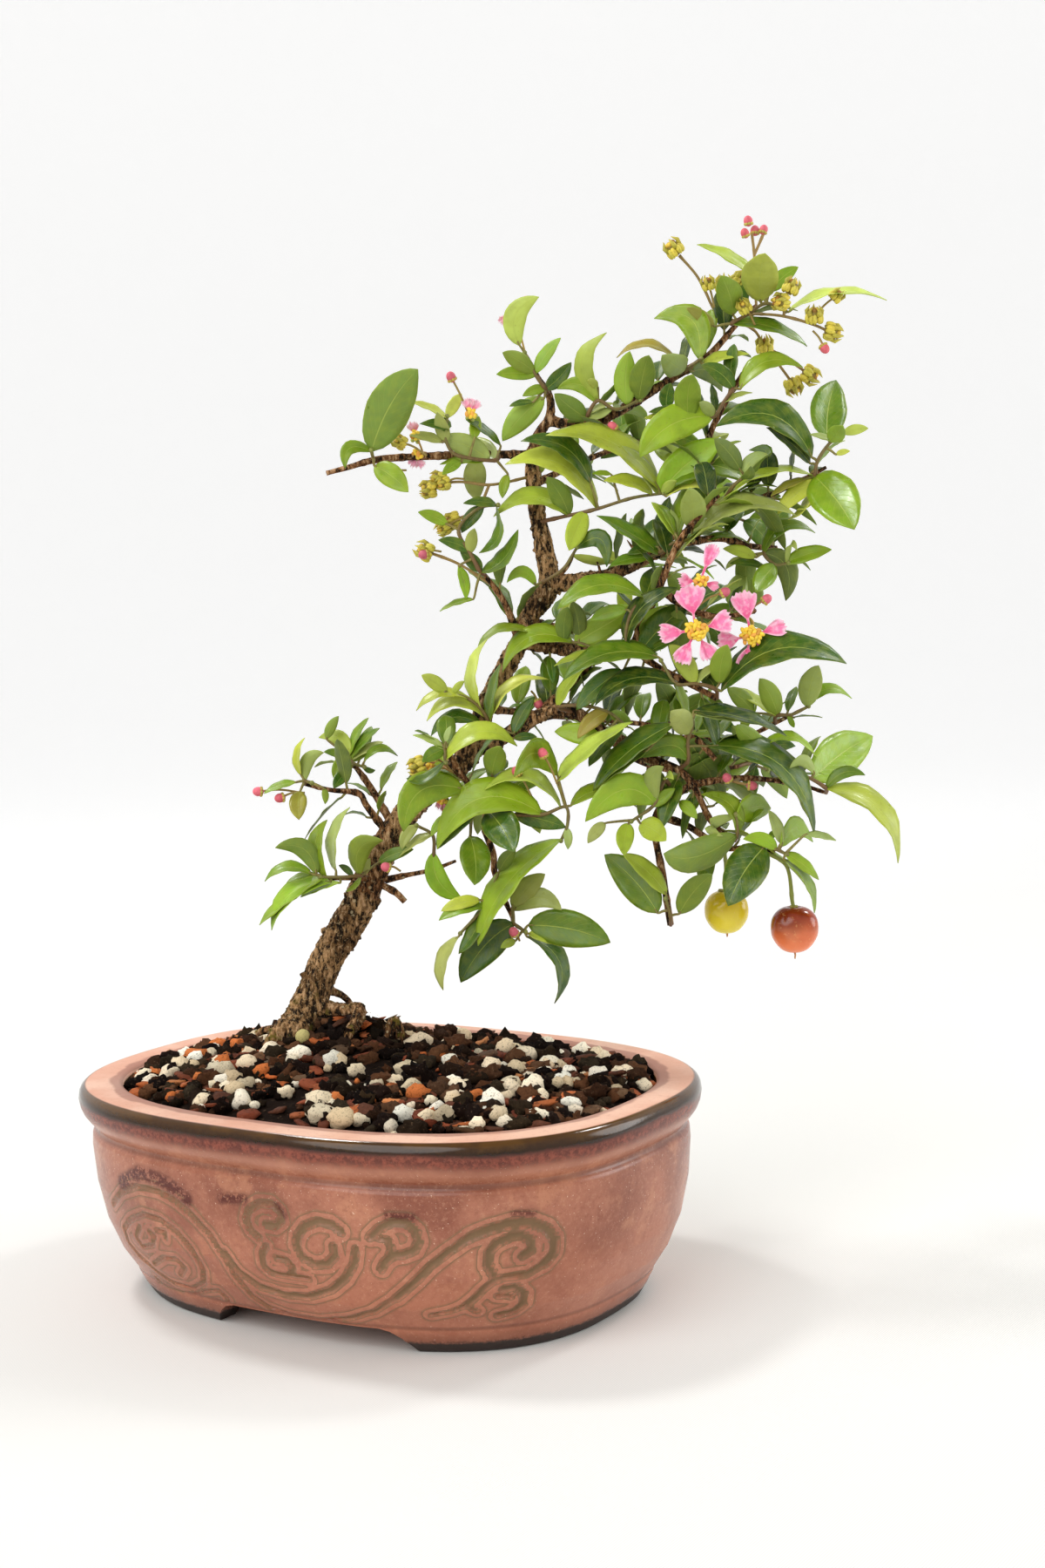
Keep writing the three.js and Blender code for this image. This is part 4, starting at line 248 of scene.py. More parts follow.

# Leafy shoots: name : stem as across up near : leaves as base across, base up, tip across, tip up, width,
# arch, shade number (the leaf's tone with painted light and shade), and 1 where the leaf leans towards the
# viewer
SHOOTS = """
top:
 74.5 159 -8, 72 158.5 -3, 78 162 -3, 84 165.5 -3, 90 163 -2 :
 79.5 175.5 60 185.7 5.4 0 4, 82 166 83.5 182.7 12.6 0 6, 85 169.5 95 178 5.4 0 3,
 91.5 162.5 125.5 166.5 4.8 4.5 6, 72.6 161.4 68.4 175 9 0 3, 66 157.5 56.4 163.8 4.2 0 8,
 73 152.4 98 150.6 6 5.7 2;
upper:
 52 140 -4, 56 142.5 1, 61 146 3 :
 60.6 147.3 45.3 160.2 10 8 3, 57 138.6 48 147.6 9 0 7, 52.8 145.8 32.4 146.7 4.2 5 8,
 58 142 68.7 135 7.8 4 1, 61.8 144.6 78 148 4.2 0 4;
upper_side:
 71.5 134 6, 72.5 136 11, 69 131 12, 66 126.5 12, 57 125.5 11, 49 124 10 :
 74 136.8 61.5 144.3 6 0 1, 75 136 96.6 143.4 6.6 6 3, 69 131.4 79.2 134.7 2.4 0 7,
 66 126.6 60.9 131.4 4.2 0 7, 57 126.6 58.5 141 9 0 3, 49.5 129 51 138 5.4 0 1, 60 126 43.5 128 4.8 0 1,
 55.5 124.5 42 126 4.2 0 4, 47 121.5 51.6 127.5 2.4 0 3, 66 125.7 40.5 112.5 12 5 5;
far_right:
 96 104.5 14, 100.5 106 18, 101.5 111 19, 106 117.5 19, 109 119.5 19 :
 99.6 112.5 66.6 123 10.8 9.6 1, 99 110.4 84 122.7 5.4 0 0, 105 118.8 108 139 12.6 0 2,
 106.5 117 110.4 123.3 6 0 5, 110.4 120.6 119.1 122.4 3.6 0 6, 107.4 117.6 99 120.3 2.4 0 7,
 108 113.4 112.8 114.6 2.1 0 6, 100.2 105.6 114.3 87.6 15.6 0 3, 101 104.7 68.4 97.5 4.2 6 4,
 101 104.4 87.9 93 6 0 4, 97.5 105 85.5 99 3 0 8, 106.5 96.6 91.5 91 3 2.8 6, 105 99 94.5 94.5 2 0 6;
young:
 5 90 0, 14 92 5, 25 94.5 8, 38 98.5 10, 48 100 11 :
 47 99.6 69 118.5 12 0 5, 47.4 99.9 81 101.4 9.6 9 2, 47 101.4 8 120 10.2 7.6 4,
 46.5 100.5 34.2 116.4 5.4 0 7, 45 98.4 28 104.4 4.8 2.8 4, 49.5 99 67.2 98.7 4.2 4.4 6,
 48 100 53 104.4 3.6 0 6, 30.6 106.5 24 106.8 2 0 3, 16.5 90 -10 92 7.2 8 4, 25.2 96 -6 110 9 8 4,
 23.4 103.5 -0.6 118 7.8 6 1, 16 92.4 8.4 105.6 7.2 0 2, 22 92.4 16 80.4 7.2 0 4;
right_inner:
 69 97 17, 73 103 21, 77 106 22 :
 75 108 66 118.8 6.6 0 1, 86.4 108 78 114.9 4.8 3 1, 73.5 108 84.6 113.4 4.2 0 7, 78 102 78.6 109.5 4.2 0 1;
right_tip:
 87.5 81 4, 83 79.5 9, 87 75.5 11, 91 76 12 :
 82.8 79.8 100.8 86.4 5.4 6 2, 90 84 94.5 80.4 3 0 7, 90.6 75.6 106.5 80.7 5.4 0 3, 81 80 90.6 63 7.8 6 0,
 80.4 78 69 81 4.2 0 4, 84 74.4 71.4 75.9 3 0 1, 86.4 74.4 80.4 66 7.2 0 3, 75 78 70 74 2.2 0 7;
flowering:
 80 59.5 18, 78 61 14, 73.5 60 12 :
 72.6 58.5 76.5 73.2 7.8 0 7, 81.6 60 78.6 70.8 4.8 0 2;
inner:
 43 78 12, 47 79.5 18, 53 83.5 21, 58 84 22 :
 59.4 81.6 94.2 92.4 7.8 9.5 7, 58.5 87.6 57.4 102 8.6 0 7, 43.5 78 30 75 4.2 0 2, 46.5 81.6 36 79 3.6 0 1,
 49.5 75.6 25.5 92.4 6.6 0 2, 52.5 85.5 44.4 97 4.2 0 4, 52.8 86.4 51 94.5 3 0 7;
below_fork:
 44.5 62.5 21, 42.5 64 26, 37.5 59 27, 36 48 27, 40.5 45.5 26 :
 43 65 12 60 7.2 6 3, 42.6 64 47 74.7 7.2 0 1, 34.5 46.5 53.4 67.5 6 4.6 0, 36 60 23.4 56.4 4.8 0 3,
 34.5 46 25.5 45.6 2 0 1, 34.5 39 18.6 25.5 7.2 0 1, 41.4 45.6 57 61.5 10.2 0 1, 42.6 44.4 53.4 49.5 3 0 1;
trunk_right:
 -1 49 4, 3.5 52 10, 14 49 13, 20 48.5 14, 27 45.5 17 :
 17.7 45 37.8 60 9 0 3, 14.4 49.5 15.6 61 6 0 1, 19.5 50.4 17 63 6 0 0, 3 52.5 -15.6 46.5 3.6 3.8 3,
 17.4 46.5 -6.9 38.4 7.2 8.5 3, 27 45 10.8 40.5 3 0 4;
fork:
 9 70 2, 7 69.5 8, 14 74 11, 18.5 81 11 :
 17 83.4 29 74.7 6.6 6.5 1, 30 70.5 29 81 6 0 6, 4.5 68.4 -5.4 69.3 4.2 4.3 5;
top_left:
 9 134.5 -4, 8 136 1, 5 140 2, 1 148 2 :
 -1 151 5.7 167.7 7.8 5.2 6, 3.6 141.6 -6.9 148.5 6 0 3, 4.2 140.4 -9 141 4.8 0 3,
 5 141.6 13.2 153.6 4.8 0 5, 9.6 133.5 16.8 145.2 5.4 0 1, 7.5 132.9 -6.9 118 8.4 0 5,
 8.4 136.5 0 133.5 3.6 0 3, 3.6 131.4 -4.5 130 2.4 0 1;
upper_mid:
 21.5 123 -1, 22 126 3, 26 132 5, 32 129 5, 40 132 4 :
 25.2 131.4 12 135.9 5.4 4 3, 21.3 123.3 11 134.4 7.2 0 2, 26 133.5 29 155.4 6.6 6.9 4,
 26 136.5 22.5 139 3 0 6, 36 131 37 149 7.8 0 5, 41 132.6 43.5 147.6 8.4 0 2, 31 127.8 35.4 132 4.2 0 7,
 21.6 123.6 31.5 129.6 3.6 0 7, 22.8 127.8 31.5 131 2.4 0 7;
far_left:
 -51 111.5 8, -51.5 112.5 12, -52 114.5 14 :
 -52.2 115.5 -36 142.8 15 0 2, -52.5 115.5 -61 108.6 4.8 4.5 3, -51 109.5 -39.3 100.5 7.8 0 3;
left_mid:
 -8 113.5 0, -9 111.5 5, -17 112 9, -24 114 10, -26.5 119 10, -26 126 9 :
 -26 126 -39 131.4 3 0 6, -25 126.6 -21 134.4 4.2 0 6, -19.5 121 -35.4 124 4.8 0 1,
 -27.6 117 -29.4 128 4.8 0 7, -27.6 117.6 -39 120 3.6 0 7, -11.4 111.6 -28.5 119.4 7.8 0 7,
 -9 111.6 -19 118 7.2 0 7, -7.5 116.4 -19.5 125.4 3 0 1, -16.5 119 -15 126.6 4.2 0 3,
 -11 111 -28.5 110 4.2 0 3, -21 111 -27.6 106.5 3.6 0 3, -15.6 111.6 -15.6 97.5 7.8 0 7,
 -5 106.5 -6.9 98.4 3.6 0 3;
left_low:
 -13 72 10, -14.5 73 14, -18 79.5 15, -22 87.5 14, -15 95 13, -9 96 12 :
 -7.5 96 -20.4 96.6 3.6 0 1, -13.5 96 -21 86.4 4.8 0 1, -26 89.4 -36 93.6 4.2 0 3, -18 80.4 -29 84 4.2 0 1,
 -17.7 79.5 -16.5 88 4.2 0 7, -13.8 72 -21.6 80.4 4.8 0 1, -9 66 -1.5 87.6 6 0 2, -22 75 -19.5 63.6 3.6 0 5,
 -17 63.6 -28.5 59.4 2.4 0 3, 0 89.4 -15 79.5 4.2 0 2;
trunk_mid:
 -15.5 17 6, -11.5 20 12, -14 25.5 14, -19 29.5 14, -26 31.5 14 :
 -14.4 25.5 -12 50 4.2 4 6, -10.5 21 -7.5 41.4 3.6 0 2, -10.5 21 9 36 4.2 6.3 6, -3 17.4 4.2 30 4.8 0 1,
 -3 15.6 5 16.2 3 0 1, -26.4 31.5 -34.8 37.5 4.8 0 6, -24 31.5 -20 35.4 2.4 0 4,
 -18 30 -36.6 25.2 3.6 3.5 4, -13.5 22.5 -33 21.6 4.8 6.6 6, -13.5 19.5 -31.5 16.5 4.8 5 1,
 -12 17.4 -25.5 15.6 3 0 1;
right_cut:
 67 29.5 27, 66.5 32.5 31, 60 34.5 32, 53 34.5 32, 48 42 30 :
 47 43.5 13.8 35.4 7.8 5.5 2, 52.5 33.6 25 27 6.6 6 0, 59.4 35.4 50.4 48 6.6 0 4, 60 35.4 67.8 41.4 2.4 0 7,
 67.8 34.5 70.5 48 7.2 0 3, 67.5 33 60 39 5.4 0 0, 68.4 32 111.6 41.4 10.2 10 1;
low_mid:
 18.5 24.5 15, 12 26.5 20, 21 27 23, 30 24.5 24, 35 20.5 24 :
 10.8 26.4 23.4 42 4.2 0 4, 30 26.4 19 15.6 5.4 0 8, 30 24 37.5 21 4.2 0 5, 35.4 20 22.8 6 5.4 0 1,
 27 15 11 18 7.2 0 5;
right_back:
 87 21 12, 87.5 23.5 16, 93 24 18, 98 26.5 18 :
 87.9 23.4 81.6 36.3 7.2 0 3, 86.4 23.4 72 33 3.6 0 4, 79.5 24.6 70.5 33 6 0 3, 98 27 102 40.8 7.8 0 7,
 97.8 26.4 113.4 29.4 4.2 4.8 5, 91.5 22.5 93.6 19.5 2 0 3;
cut_low:
 53.5 5 24, 57 8 30, 57 15 32, 58.5 22 34, 52 20.5 34 :
 51 20.7 24.3 -2.4 7.2 0 1, 58.5 17 51 25 7.8 0 7, 59 25.2 90.9 16.5 5.4 0 0, 59.4 24 75 21.6 3.6 0 7,
 42.6 11.4 24.6 -1.8 4.8 0 2, 59 4.8 40.5 9 7.8 6.6 2, 55 15 69.3 -6 13.2 0 1, 63.6 13 100.5 -17.4 10.2 11 1;
long:
 -12.5 -9.5 22, -4 -10.5 28, 7 -10.5 30, 15 -8 30, 15.5 -14 31, 13.5 -19 31 :
 12 1 38 21.3 5.4 0 6, 6.9 -10.5 -29.4 -22.5 12 12 5, 13 -7.5 -13 -2 4.8 7.6 6, 12 3 -3 2.4 10.2 8 3,
 -3 -11.4 15 -15 6.6 0 1, 13 -19.5 -15.3 -55.8 7.8 5.2 5, 15 -15 15.6 -22.5 3 0 7,
 16.5 -7.5 39.3 -8 5.4 5.6 3;
front:
 -21 -4.5 14, -12 -1 20, -10 1.5 23, -13 -6 26, -17 -10 26, -18 -18 26 :
 -20 -2 -41 -16.5 11.4 8.3 3, -15 -6 -29.4 -22.5 7.2 0 1, -25.5 -10.5 -31.5 -18 3 0 5,
 -6 0.6 -11.4 9 8.4 0 2, -10.5 3 -7.5 13 7.8 0 3, -12 -9 -3 -23.4 12 0 1, -17.7 -19 -16.5 -34.8 10.2 0 2;
right_base:
 -31 -29.5 9, -30.5 -24 13, -31 -17.5 14, -36 -14.5 14 :
 -29 -23.4 -20.7 -39.6 7.2 -4.5 5, -37.5 -13.5 -41.4 -22.5 4.2 0 7, -30 -16.5 -42.6 -25.2 3 0 7;
low_front:
 -9.5 -31 22, -10 -35 27, -13 -42 28, -21 -51 28 :
 -8 -30 -2.4 -22.5 4.8 0 1, -14.4 -40 -28 -43.8 4.2 0 4, -12 -43.5 -28.8 -47 4.2 2.5 3,
 -9 -44.4 -22 -58.5 4.8 0 1, -22 -52.5 -27.3 -71 4.2 3 7;
lowest:
 -3.5 -46 22, -3 -48 26, 0.5 -50.5 27 :
 -2.4 -45.6 -21.3 -68.4 12 0 1, -3.6 -42.3 7.8 -31 7.2 0 7, -3 -43.5 13.5 -43.5 7.2 4.5 7,
 2 -48.6 30.3 -54.6 12.6 0 2, 2 -51.6 15 -55.5 4.2 0 4, 1.5 -52.5 11 -75.6 5.4 7 1,
 -2.4 -54 -7.5 -56.4 3 0 4;
low_left_up:
 -60.5 9.5 -4, -60 9 1, -58 7 4, -55 6 5 :
 -67.5 15.6 -63.3 23.4 3.6 0 3, -60.3 9 -70.2 15.9 5.4 4 4, -60 9.6 -53 22.8 3 0 3,
 -59.4 9 -49.2 19.2 3.6 0 2, -59 8.4 -48 14.4 3 0 7, -54.6 7.5 -43 9.6 3 3.7 2, -58.5 8 -51 13 3.6 0 3,
 -60.6 9.6 -68.4 11 3 0 2, -61.5 9.6 -65 2 3.6 0 3, -60 4.5 -65 -1.5 4.2 0 1, -55 4 -50.7 4.8 2.1 0 1;
left_tip:
 -75 0 9, -75 1 12, -73 0.5 14 :
 -76.2 3 -75 15.9 3 2 4, -74.7 2 -68.4 10.8 4.8 3 7, -78 0.6 -89 -3.3 2.7 0 3, -76.5 -2.4 -77 -12.3 6 0 8,
 -68.4 -1.5 -68 -6.9 2.4 0 3;
left_base:
 -57 -32.5 8, -55.5 -31.5 12, -61 -32 15, -69 -32 16 :
 -71 -31 -85.2 -22 6.6 5 2, -72.6 -31 -88.8 -33.6 3.6 3.6 3, -71.4 -31 -81.3 -34.2 2.4 0 3,
 -67.5 -31 -67.2 -12.3 5.4 4 3, -64.2 -30 -59.4 -8 4.2 3.4 7, -68.4 -33 -90.6 -48.6 4.2 0 3,
 -66 -33.6 -86.4 -50.4 6.6 5.6 5, -62.7 -34 -76.5 -39 2.4 0 5, -58.5 -31 -63.3 -28 2.4 0 1,
 -56.4 -31 -48 -19.5 7.8 5 3, -54 -31 -52.5 -25.5 2.4 0 7, -53.7 -34 -61 -37 2 0 3,
 -49.5 -27 -37.5 -22.5 4.2 0 2;
right_low:
 52 -3 24, 49 1 29, 45.5 -7 31, 38 -12.5 31 :
 28.5 -13.5 22.5 -20.4 4.2 0 7, 48.6 -11 21.6 -13 11.4 10 5, 36.6 -13.5 35 -24.6 6 0 4,
 40.5 -13.5 49.5 -19.5 7.8 0 4, 41.4 -3.6 48.6 6 6 0 7, 48 4.5 52 1.5 3 0 6, 49.5 1.5 57 -3 6 0 3,
 45 -8.4 52.5 -1.5 4.2 0 3, 54 -6 60 -12 4.2 0 3;
right_lower:
 73 -19.5 26, 74 -17.5 31, 73.5 -11 33 :
 76 -18 61.5 -3.6 6 4.5 3, 72.6 -9 85.5 -8.4 9.6 0 5, 71 -28.5 48.6 -24 11.4 0 2, 60 -12 69 -18 4.2 0 7;
right_end:
 86 -23.5 26, 87.5 -22.5 31, 90.5 -24 32 :
 88.5 -20.4 76 -19 4.8 0 5, 83.4 -21.6 70.8 -42 13.8 0 1 1, 89 -20.4 84.6 -9 4.2 0 7,
 89 -21.6 100 -20 7.8 6 5, 97.5 -17.4 108 -19.5 2.4 0 7, 90 -24 102 -33 4.2 0 5, 90 -26 100.5 -44.4 3.6 3 3;
hanging:
 51 -48.5 22, 51 -46 27, 49.5 -40 28 :
 46.5 -44.4 28.2 -24.3 12 0 2, 49.5 -38 34.5 -24 6 0 4, 54 -44.7 65.4 -31 8.4 0 2;
far_right_low:
 104.5 -3 19, 104.5 -1.5 24, 99 2 25, 91 5 25, 83 13.5 25 :
 80.4 12 73.8 20.4 6 0 3, 82.5 17 101 9.3 3.6 3 5, 99.6 1 120.6 16.5 15 0 5, 105.6 -1.5 118 3 4.2 3.4 2,
 104.4 -2.4 129.3 -27.3 8.4 8.5 4, 100.5 3.6 92 5.4 4.2 3.6 7, 91.5 4.5 84.6 12.6 3 0 7;
mid_left:
 -28.5 14 28, -27 12 31, -26.5 8 32 :
 -25.2 8.4 -1.8 13 6.6 7.4 4, -26.4 12 -37.8 16.8 2.4 0 7, -26.4 14.4 -24.6 20 2 0 7,
 -27 12 -34.5 7.5 4.8 0 2, -27.6 0 -40 2 3.6 0 1;
back_upper:
 36 117 -34, 40 118 -39, 47 116 -43 :
 40 119 34 131 7 2 2, 42 118 58 125 7 3 3, 41 117 27 112 7 2 1, 45 116 56 108 8 2 4, 47 117 62 115 6 3 2;
back_right:
 68 91 -36, 72 92 -41, 78 90 -45 :
 71 93 66 106 8 2 3, 73 92 89 99 8 3 1, 72 91 58 85 7 2 2, 76 90 86 79 8 2 2, 78 91 94 88 6 3 3;
back_middle:
 52 58 -40, 56 59 -45, 62 57 -48 :
 55 60 50 73 8 2 2, 57 59 73 66 8 3 1, 56 58 42 52 7 2 3, 60 57 70 46 8 2 1, 62 58 78 55 6 3 2;
back_low:
 48 20 -38, 52 21 -43, 58 19 -46 :
 51 22 46 35 8 2 1, 53 21 69 28 8 3 2, 52 20 38 14 7 2 2, 56 19 66 8 8 2 3, 58 20 74 17 6 3 1;
back_far_right:
 74 6 -22, 78 7 -27, 84 5 -30 :
 77 8 72 20 7 2 2, 79 7 94 13 7 3 1, 78 6 65 0 7 2 3, 82 5 91 -5 7 2 2, 80 5 78 -8 6 0 1;
back_left:
 -10 -6 -28, -7 -5 -33, -2 -7 -36 :
 -8 -4 -13 8 7 2 1, -6 -5 9 1 7 3 2, -7 -6 -20 -11 7 2 2, -3 -7 6 -17 7 2 3, -5 -7 -7 -20 6 0 1
"""

# Flowers: middle, stalk, and the outer edge of each petal
FLOWERS = {
  "left": { "middle": [59.7, 52.8, 32], "stalk": [[67, 57.5, 19], [64, 55, 26]], "stamens": [24, 3.7],
    "petals": [[57, 68.5, 10.2], [46.8, 51.5, 6.4], [72, 56.6, 7.4], [54, 41.5, 6.2], [65, 43, 6.0]] },
  "right": { "middle": [78.6, 51, 27], "stalk": [[75, 59, 18.3], [79, 56, 22]], "stamens": [24, 3.7],
    "petals": [[75.5, 66.5, 8.6], [67, 48.5, 6.6], [90.5, 54.5, 5.6], [76, 40, 5.6], [86, 42, 5.4]] },
  "upper": { "middle": [61, 69.6, 28], "stalk": [[56, 61, 20], [58, 63, 26]], "stamens": [9, 2.4],
    "petals": [[67.5, 67.5, 3.2], [66, 82.5, 4.8], [53.5, 70, 5]] },
}

# Paler flowers half hidden in the crown: middle, where the stalk starts, edge and width of each petal
PALE_FLOWERS = [
  { "middle": [-3, 162.6, -7], "stalk": [1, 148, -5],
    "petals": [[-7.8, 158.2, 3.4], [2.6, 167.2, 3], [-6, 160.6, 2.6]] },
  { "middle": [-17.7, 127, 6], "stalk": [-18, 113.5, 2], "petals": [[-19.2, 133, 4.4], [-15.4, 132.4, 4]] },
  { "middle": [-36.6, 119.4, 5], "stalk": [-34, 113, 5], "petals": [[-38.1, 124.6, 4]] },
  { "middle": [-36.2, 113, 3], "stalk": [-33, 114, 4], "petals": [[-38.4, 109, 3.6], [-34.6, 108.6, 3.6]] },
  { "middle": [-31.6, 6, 16], "stalk": [-24, 4, 10], "petals": [[-30.2, -0.6, 3.4], [-25.4, 0.8, 3]] },
  { "middle": [-27.6, -5.4, 18], "stalk": [-22, -3, 12], "petals": [[-26.6, -9.8, 3], [-29.4, -8.6, 2.4]] },
]

# Sprays: stalks, then [across, up, near, radius] of each head
SPRAYS = {
  "top_buds": { "stalks": [
    [[80.5, 164.5, -9], [80, 173, -12], [79.8, 182, -12], [79, 189.5, -12]],
    [[79.8, 182, -12], [83, 189.5, -13]]],
    "heads": [[77.7, 193.8, -12, 1.9], [76.6, 189.6, -11, 1.8], [80, 190.5, -14, 1.9],
      [83, 190.8, -13, 1.8]] },
  "top_seed_heads": { "stalks": [
    [[74.5, 159, -8], [67, 162, -13], [63, 169.5, -14], [60, 175, -14], [54, 182, -13]],
    [[67, 162, -13], [69.3, 169, -14], [73, 171.5, -14]]],
    "heads": [[52.2, 184.2, -13, 3.1], [69.3, 171.6, -14, 2.9], [74.2, 173.1, -14, 2.9]] },
  "right_seed_heads": { "stalks": [
    [[77.5, 162, -8.5], [90, 161, 3], [100.5, 158, 4], [106, 155.5, 4]],
    [[90, 161, 3], [90.5, 167, 5], [91.8, 170, 5]]],
    "heads": [[89, 166, 6, 2.9], [92.5, 171, 5, 2.8], [100.5, 161, 5, 3], [106.5, 155.7, 4, 3.1]] },
  "middle_seed_heads": { "stalks": [
    [[74.5, 159, -8], [80, 156, -12], [83.4, 151, -12], [90, 147, -12], [98, 141.5, -12]],
    [[83.4, 151, -12], [93, 138, -13]]],
    "heads": [[83.4, 150.6, -12, 2.9], [98.7, 141, -12, 3.1], [93.3, 137.4, -13, 3.1]] },
  "left_seed_heads": { "stalks": [
    [[3.6, 106, -2], [-11.4, 103, 4], [-21, 104, 4], [-29, 103.5, 4]],
    [[-11.4, 103, 4], [-15.6, 94.5, 4], [-23, 91, 4]]],
    "heads": [[-28.8, 104.5, 4, 2.9], [-32, 101.5, 4, 2.9], [-23.7, 90.6, 4, 2.9]] },
  "left_seed_head": { "stalks": [[[-10.5, 68.5, 9.2], [-22.5, 76, 6], [-33, 80, 6]]],
    "heads": [[-33.3, 80, 6, 3.1]] },
  "low_seed_head": { "stalks": [[[-28.5, 14, 28], [-31, 9, 25], [-36, 6.5, 25]]],
    "heads": [[-36, 6.3, 25, 3.1], [-31, 9, 25, 1.9]] },
  "right_buds": { "stalks": [[[75, 2, 21], [72, 1, 26], [70.5, 2, 27]], [[72, 1, 26], [79, -0.6, 27]]],
    "heads": [[70.5, 2, 27, 1.9], [79, -0.6, 27, 1.9]] },
}

# Height and reach of the fruit's outline from the bottom up, in shares of its radius
FRUIT_PROFILE = [
    (-1.0, 0.03), (-0.99, 0.18), (-0.94, 0.36), (-0.83, 0.56), (-0.62, 0.76), (-0.28, 0.95), (0.02, 1.0),
    (0.28, 0.99), (0.54, 0.92), (0.79, 0.73), (0.93, 0.5), (0.96, 0.32), (0.9, 0.16), (0.84, 0.03),
]
# Lobe of the calyx that stays on the fruit: reach, height and radius along it
CALYX_LOBE = [(0.5, 0.1, 0.5), (1.4, 0.6, 0.75), (2.5, 0.7, 0.6), (3.3, 0.1, 0.15)]

# Fruit: stalk, then [across, up, near, radius]
CHERRIES = {
  "red": { "stalk": [[83, -23.2, 27.6], [90.6, -27.8, 28.4], [93, -41, 27]], "fruit": [93.6, -50, 27, 7.9] },
  "yellow": { "stalk": [[69.5, -22, 25], [70, -28, 19], [70.2, -36, 14.5]], "fruit": [70.2, -44, 14, 7.4] },
}


# Scrolls cut in the pot's side: half width, then the across and up of the points of a line
ORNAMENT = """
1.05: -141 -144.6, -138 -140.4, -132.6 -138.6, -126 -139.8, -120 -143.1, -114 -147.9, -108 -154.5,
 -103.5 -161.1, -99 -168.9, -93 -176.1, -87 -180, -78 -183, -69 -184.5, -60 -183.9, -51 -181.5, -43.5 -177;
1.4: -43.5 -177, -37.5 -171.9, -31.5 -165.6, -25.5 -161.1, -18 -156;
1.75: -18 -156, -10.5 -153, -3 -150.9, 3 -150.9, 8.4 -153, 11 -156.6, 10.8 -161.1, 7.5 -165;
1.3: 7.5 -165, 1.5 -168.6, -6 -169.8, -9.6 -171, -13.5 -174, -16.5 -177, -19.5 -179.4;
0.9: -19.5 -179.4, -25.5 -181.8, -31.5 -182.7;
1.55: -9.6 -169.8, -12 -165.6, -11.7 -161.4, -9 -158.1, -4.5 -156, 0 -155.4, 3.3 -157.2, 3.3 -160.2, 0 -162.3;
1.0: -19.5 -179.4, -15.6 -181.5;
1.5: -6.6 -173.7, -2.4 -172.8, 0.6 -175.5, 0.3 -178.8, -3 -181.5, -8.4 -182.7;
1.1: -8.7 -176.1, -3.6 -176.4;
1.4: -102.6 -161.4, -97.5 -168, -90 -173.1, -81 -175.8, -73.5 -176.4, -66 -174.3, -60.9 -170.1, -57.9 -165,
 -57.3 -159.9;
1.3: -90.6 -156, -93.6 -153.6, -95.1 -150, -94.2 -146.4, -90.6 -144.3, -86.4 -144.6, -83.4 -147.3,
 -82.8 -150.3, -85.2 -152.1, -88.2 -151.5;
1.5: -62.4 -154.2, -66 -151.5, -70.8 -150.6, -75 -152.1, -77.4 -155.4, -77.7 -159, -75.6 -162.9, -71.4 -165.6,
 -67.2 -165.3, -64.5 -162.3, -65.1 -159.3;
1.5: -52.5 -156, -49.5 -153, -45 -150.9, -39.9 -151.2, -36.6 -153.9, -35.7 -157.5, -37.2 -160.5, -41.1 -162,
 -44.4 -162.3, -47.1 -164.1, -48.6 -166.8;
1.3: -49.2 -156.3, -45.9 -157.2, -45 -160.2, -45.9 -162.6;
1.2: -88.2 -159, -89.7 -162, -89.1 -165.6, -86.4 -168, -82.5 -168.9, -78 -169.5, -73.5 -170.4;
1.2: -84.6 -162.9, -81 -164.1, -78.9 -166.5, -79.5 -168.9;
1.0: -137.1 -153, -135 -150, -130.5 -148.2, -124.5 -150, -118.5 -154.5, -113.4 -160.5, -109.8 -167.1,
 -109.5 -171.6, -113.4 -173.7, -120 -171.6, -126 -167.4, -132 -162, -135.6 -157.5, -137.1 -153;
0.9: -131.7 -152.4, -132.9 -156, -130.5 -159.3, -127.2 -158.7, -126.6 -155.7, -128.4 -153.9;
0.9: -126 -153.6, -123 -153.9, -122.7 -156.3;
0.9: -126.6 -165, -123.6 -162.9, -119.1 -163.5, -116.1 -166.5, -117.6 -168.9;
0.8: -108 -174.3, -104.4 -174.3, -101.4 -177, -101.4 -180.3, -105 -180.6, -106.8 -178.2;
0.8: -126 -169.8, -122.4 -173.4, -115.5 -175.8, -108 -174.3
"""

# Where dark glaze has run, in the same way
SMUDGES = """
2.0: -138 -137.1, -132 -133.8, -125.4 -135.9, -120 -138.9, -115.5 -142.8;
1.2: -103.5 -142.8, -96 -142.8;
0.8: -84.6 -144.9, -82.2 -148.2;
0.8: -46.5 -148.5, -37.5 -149.1;
0.6: -3 -147.6, 3.6 -147.6
"""

# Dead spurs on the wood: across up near, tip across, tip up, radius
SPURS = read_rows("""
13 72 8 17.5 78 0.8, 40 77 12 36 84 0.8, 2 52 4 -4 58 0.7,
-37 -7 6 -42 -3 0.8, 6 99 2 10 103 0.6, 27 71 7 25 78 0.7,
-12 28 8 -6.5 32 0.6, 44 64 22 50 67 0.6
""")

# Branches that carry pairs of small leaves, and the distance between the pairs
INNER_LEAVES = {
    "upper": {"upperRight": 9, "upperSide": 8, "backUpper": 8, "leftFork": 12},
    "middle": {"rightFork": 7, "middleRight": 7, "cutTwig": 10, "flowering": 9, "lenticelTwig": 9,
               "backRight": 7, "backMiddle": 7},
    "lower": {"lowRight": 7, "lowRightSide": 8, "cutTwigLow": 9, "farRight": 9, "rightBack": 8, "lowest": 9,
              "frontUp": 12, "backLow": 7, "backFarRight": 7, "backLeft": 8, "leftLow": 14, "leftLowUp": 12},
}
# Shade numbers for the small inner leaves, carrying painted light and shade as the shoots' leaves do
INNER_TONES = "01122132053124"

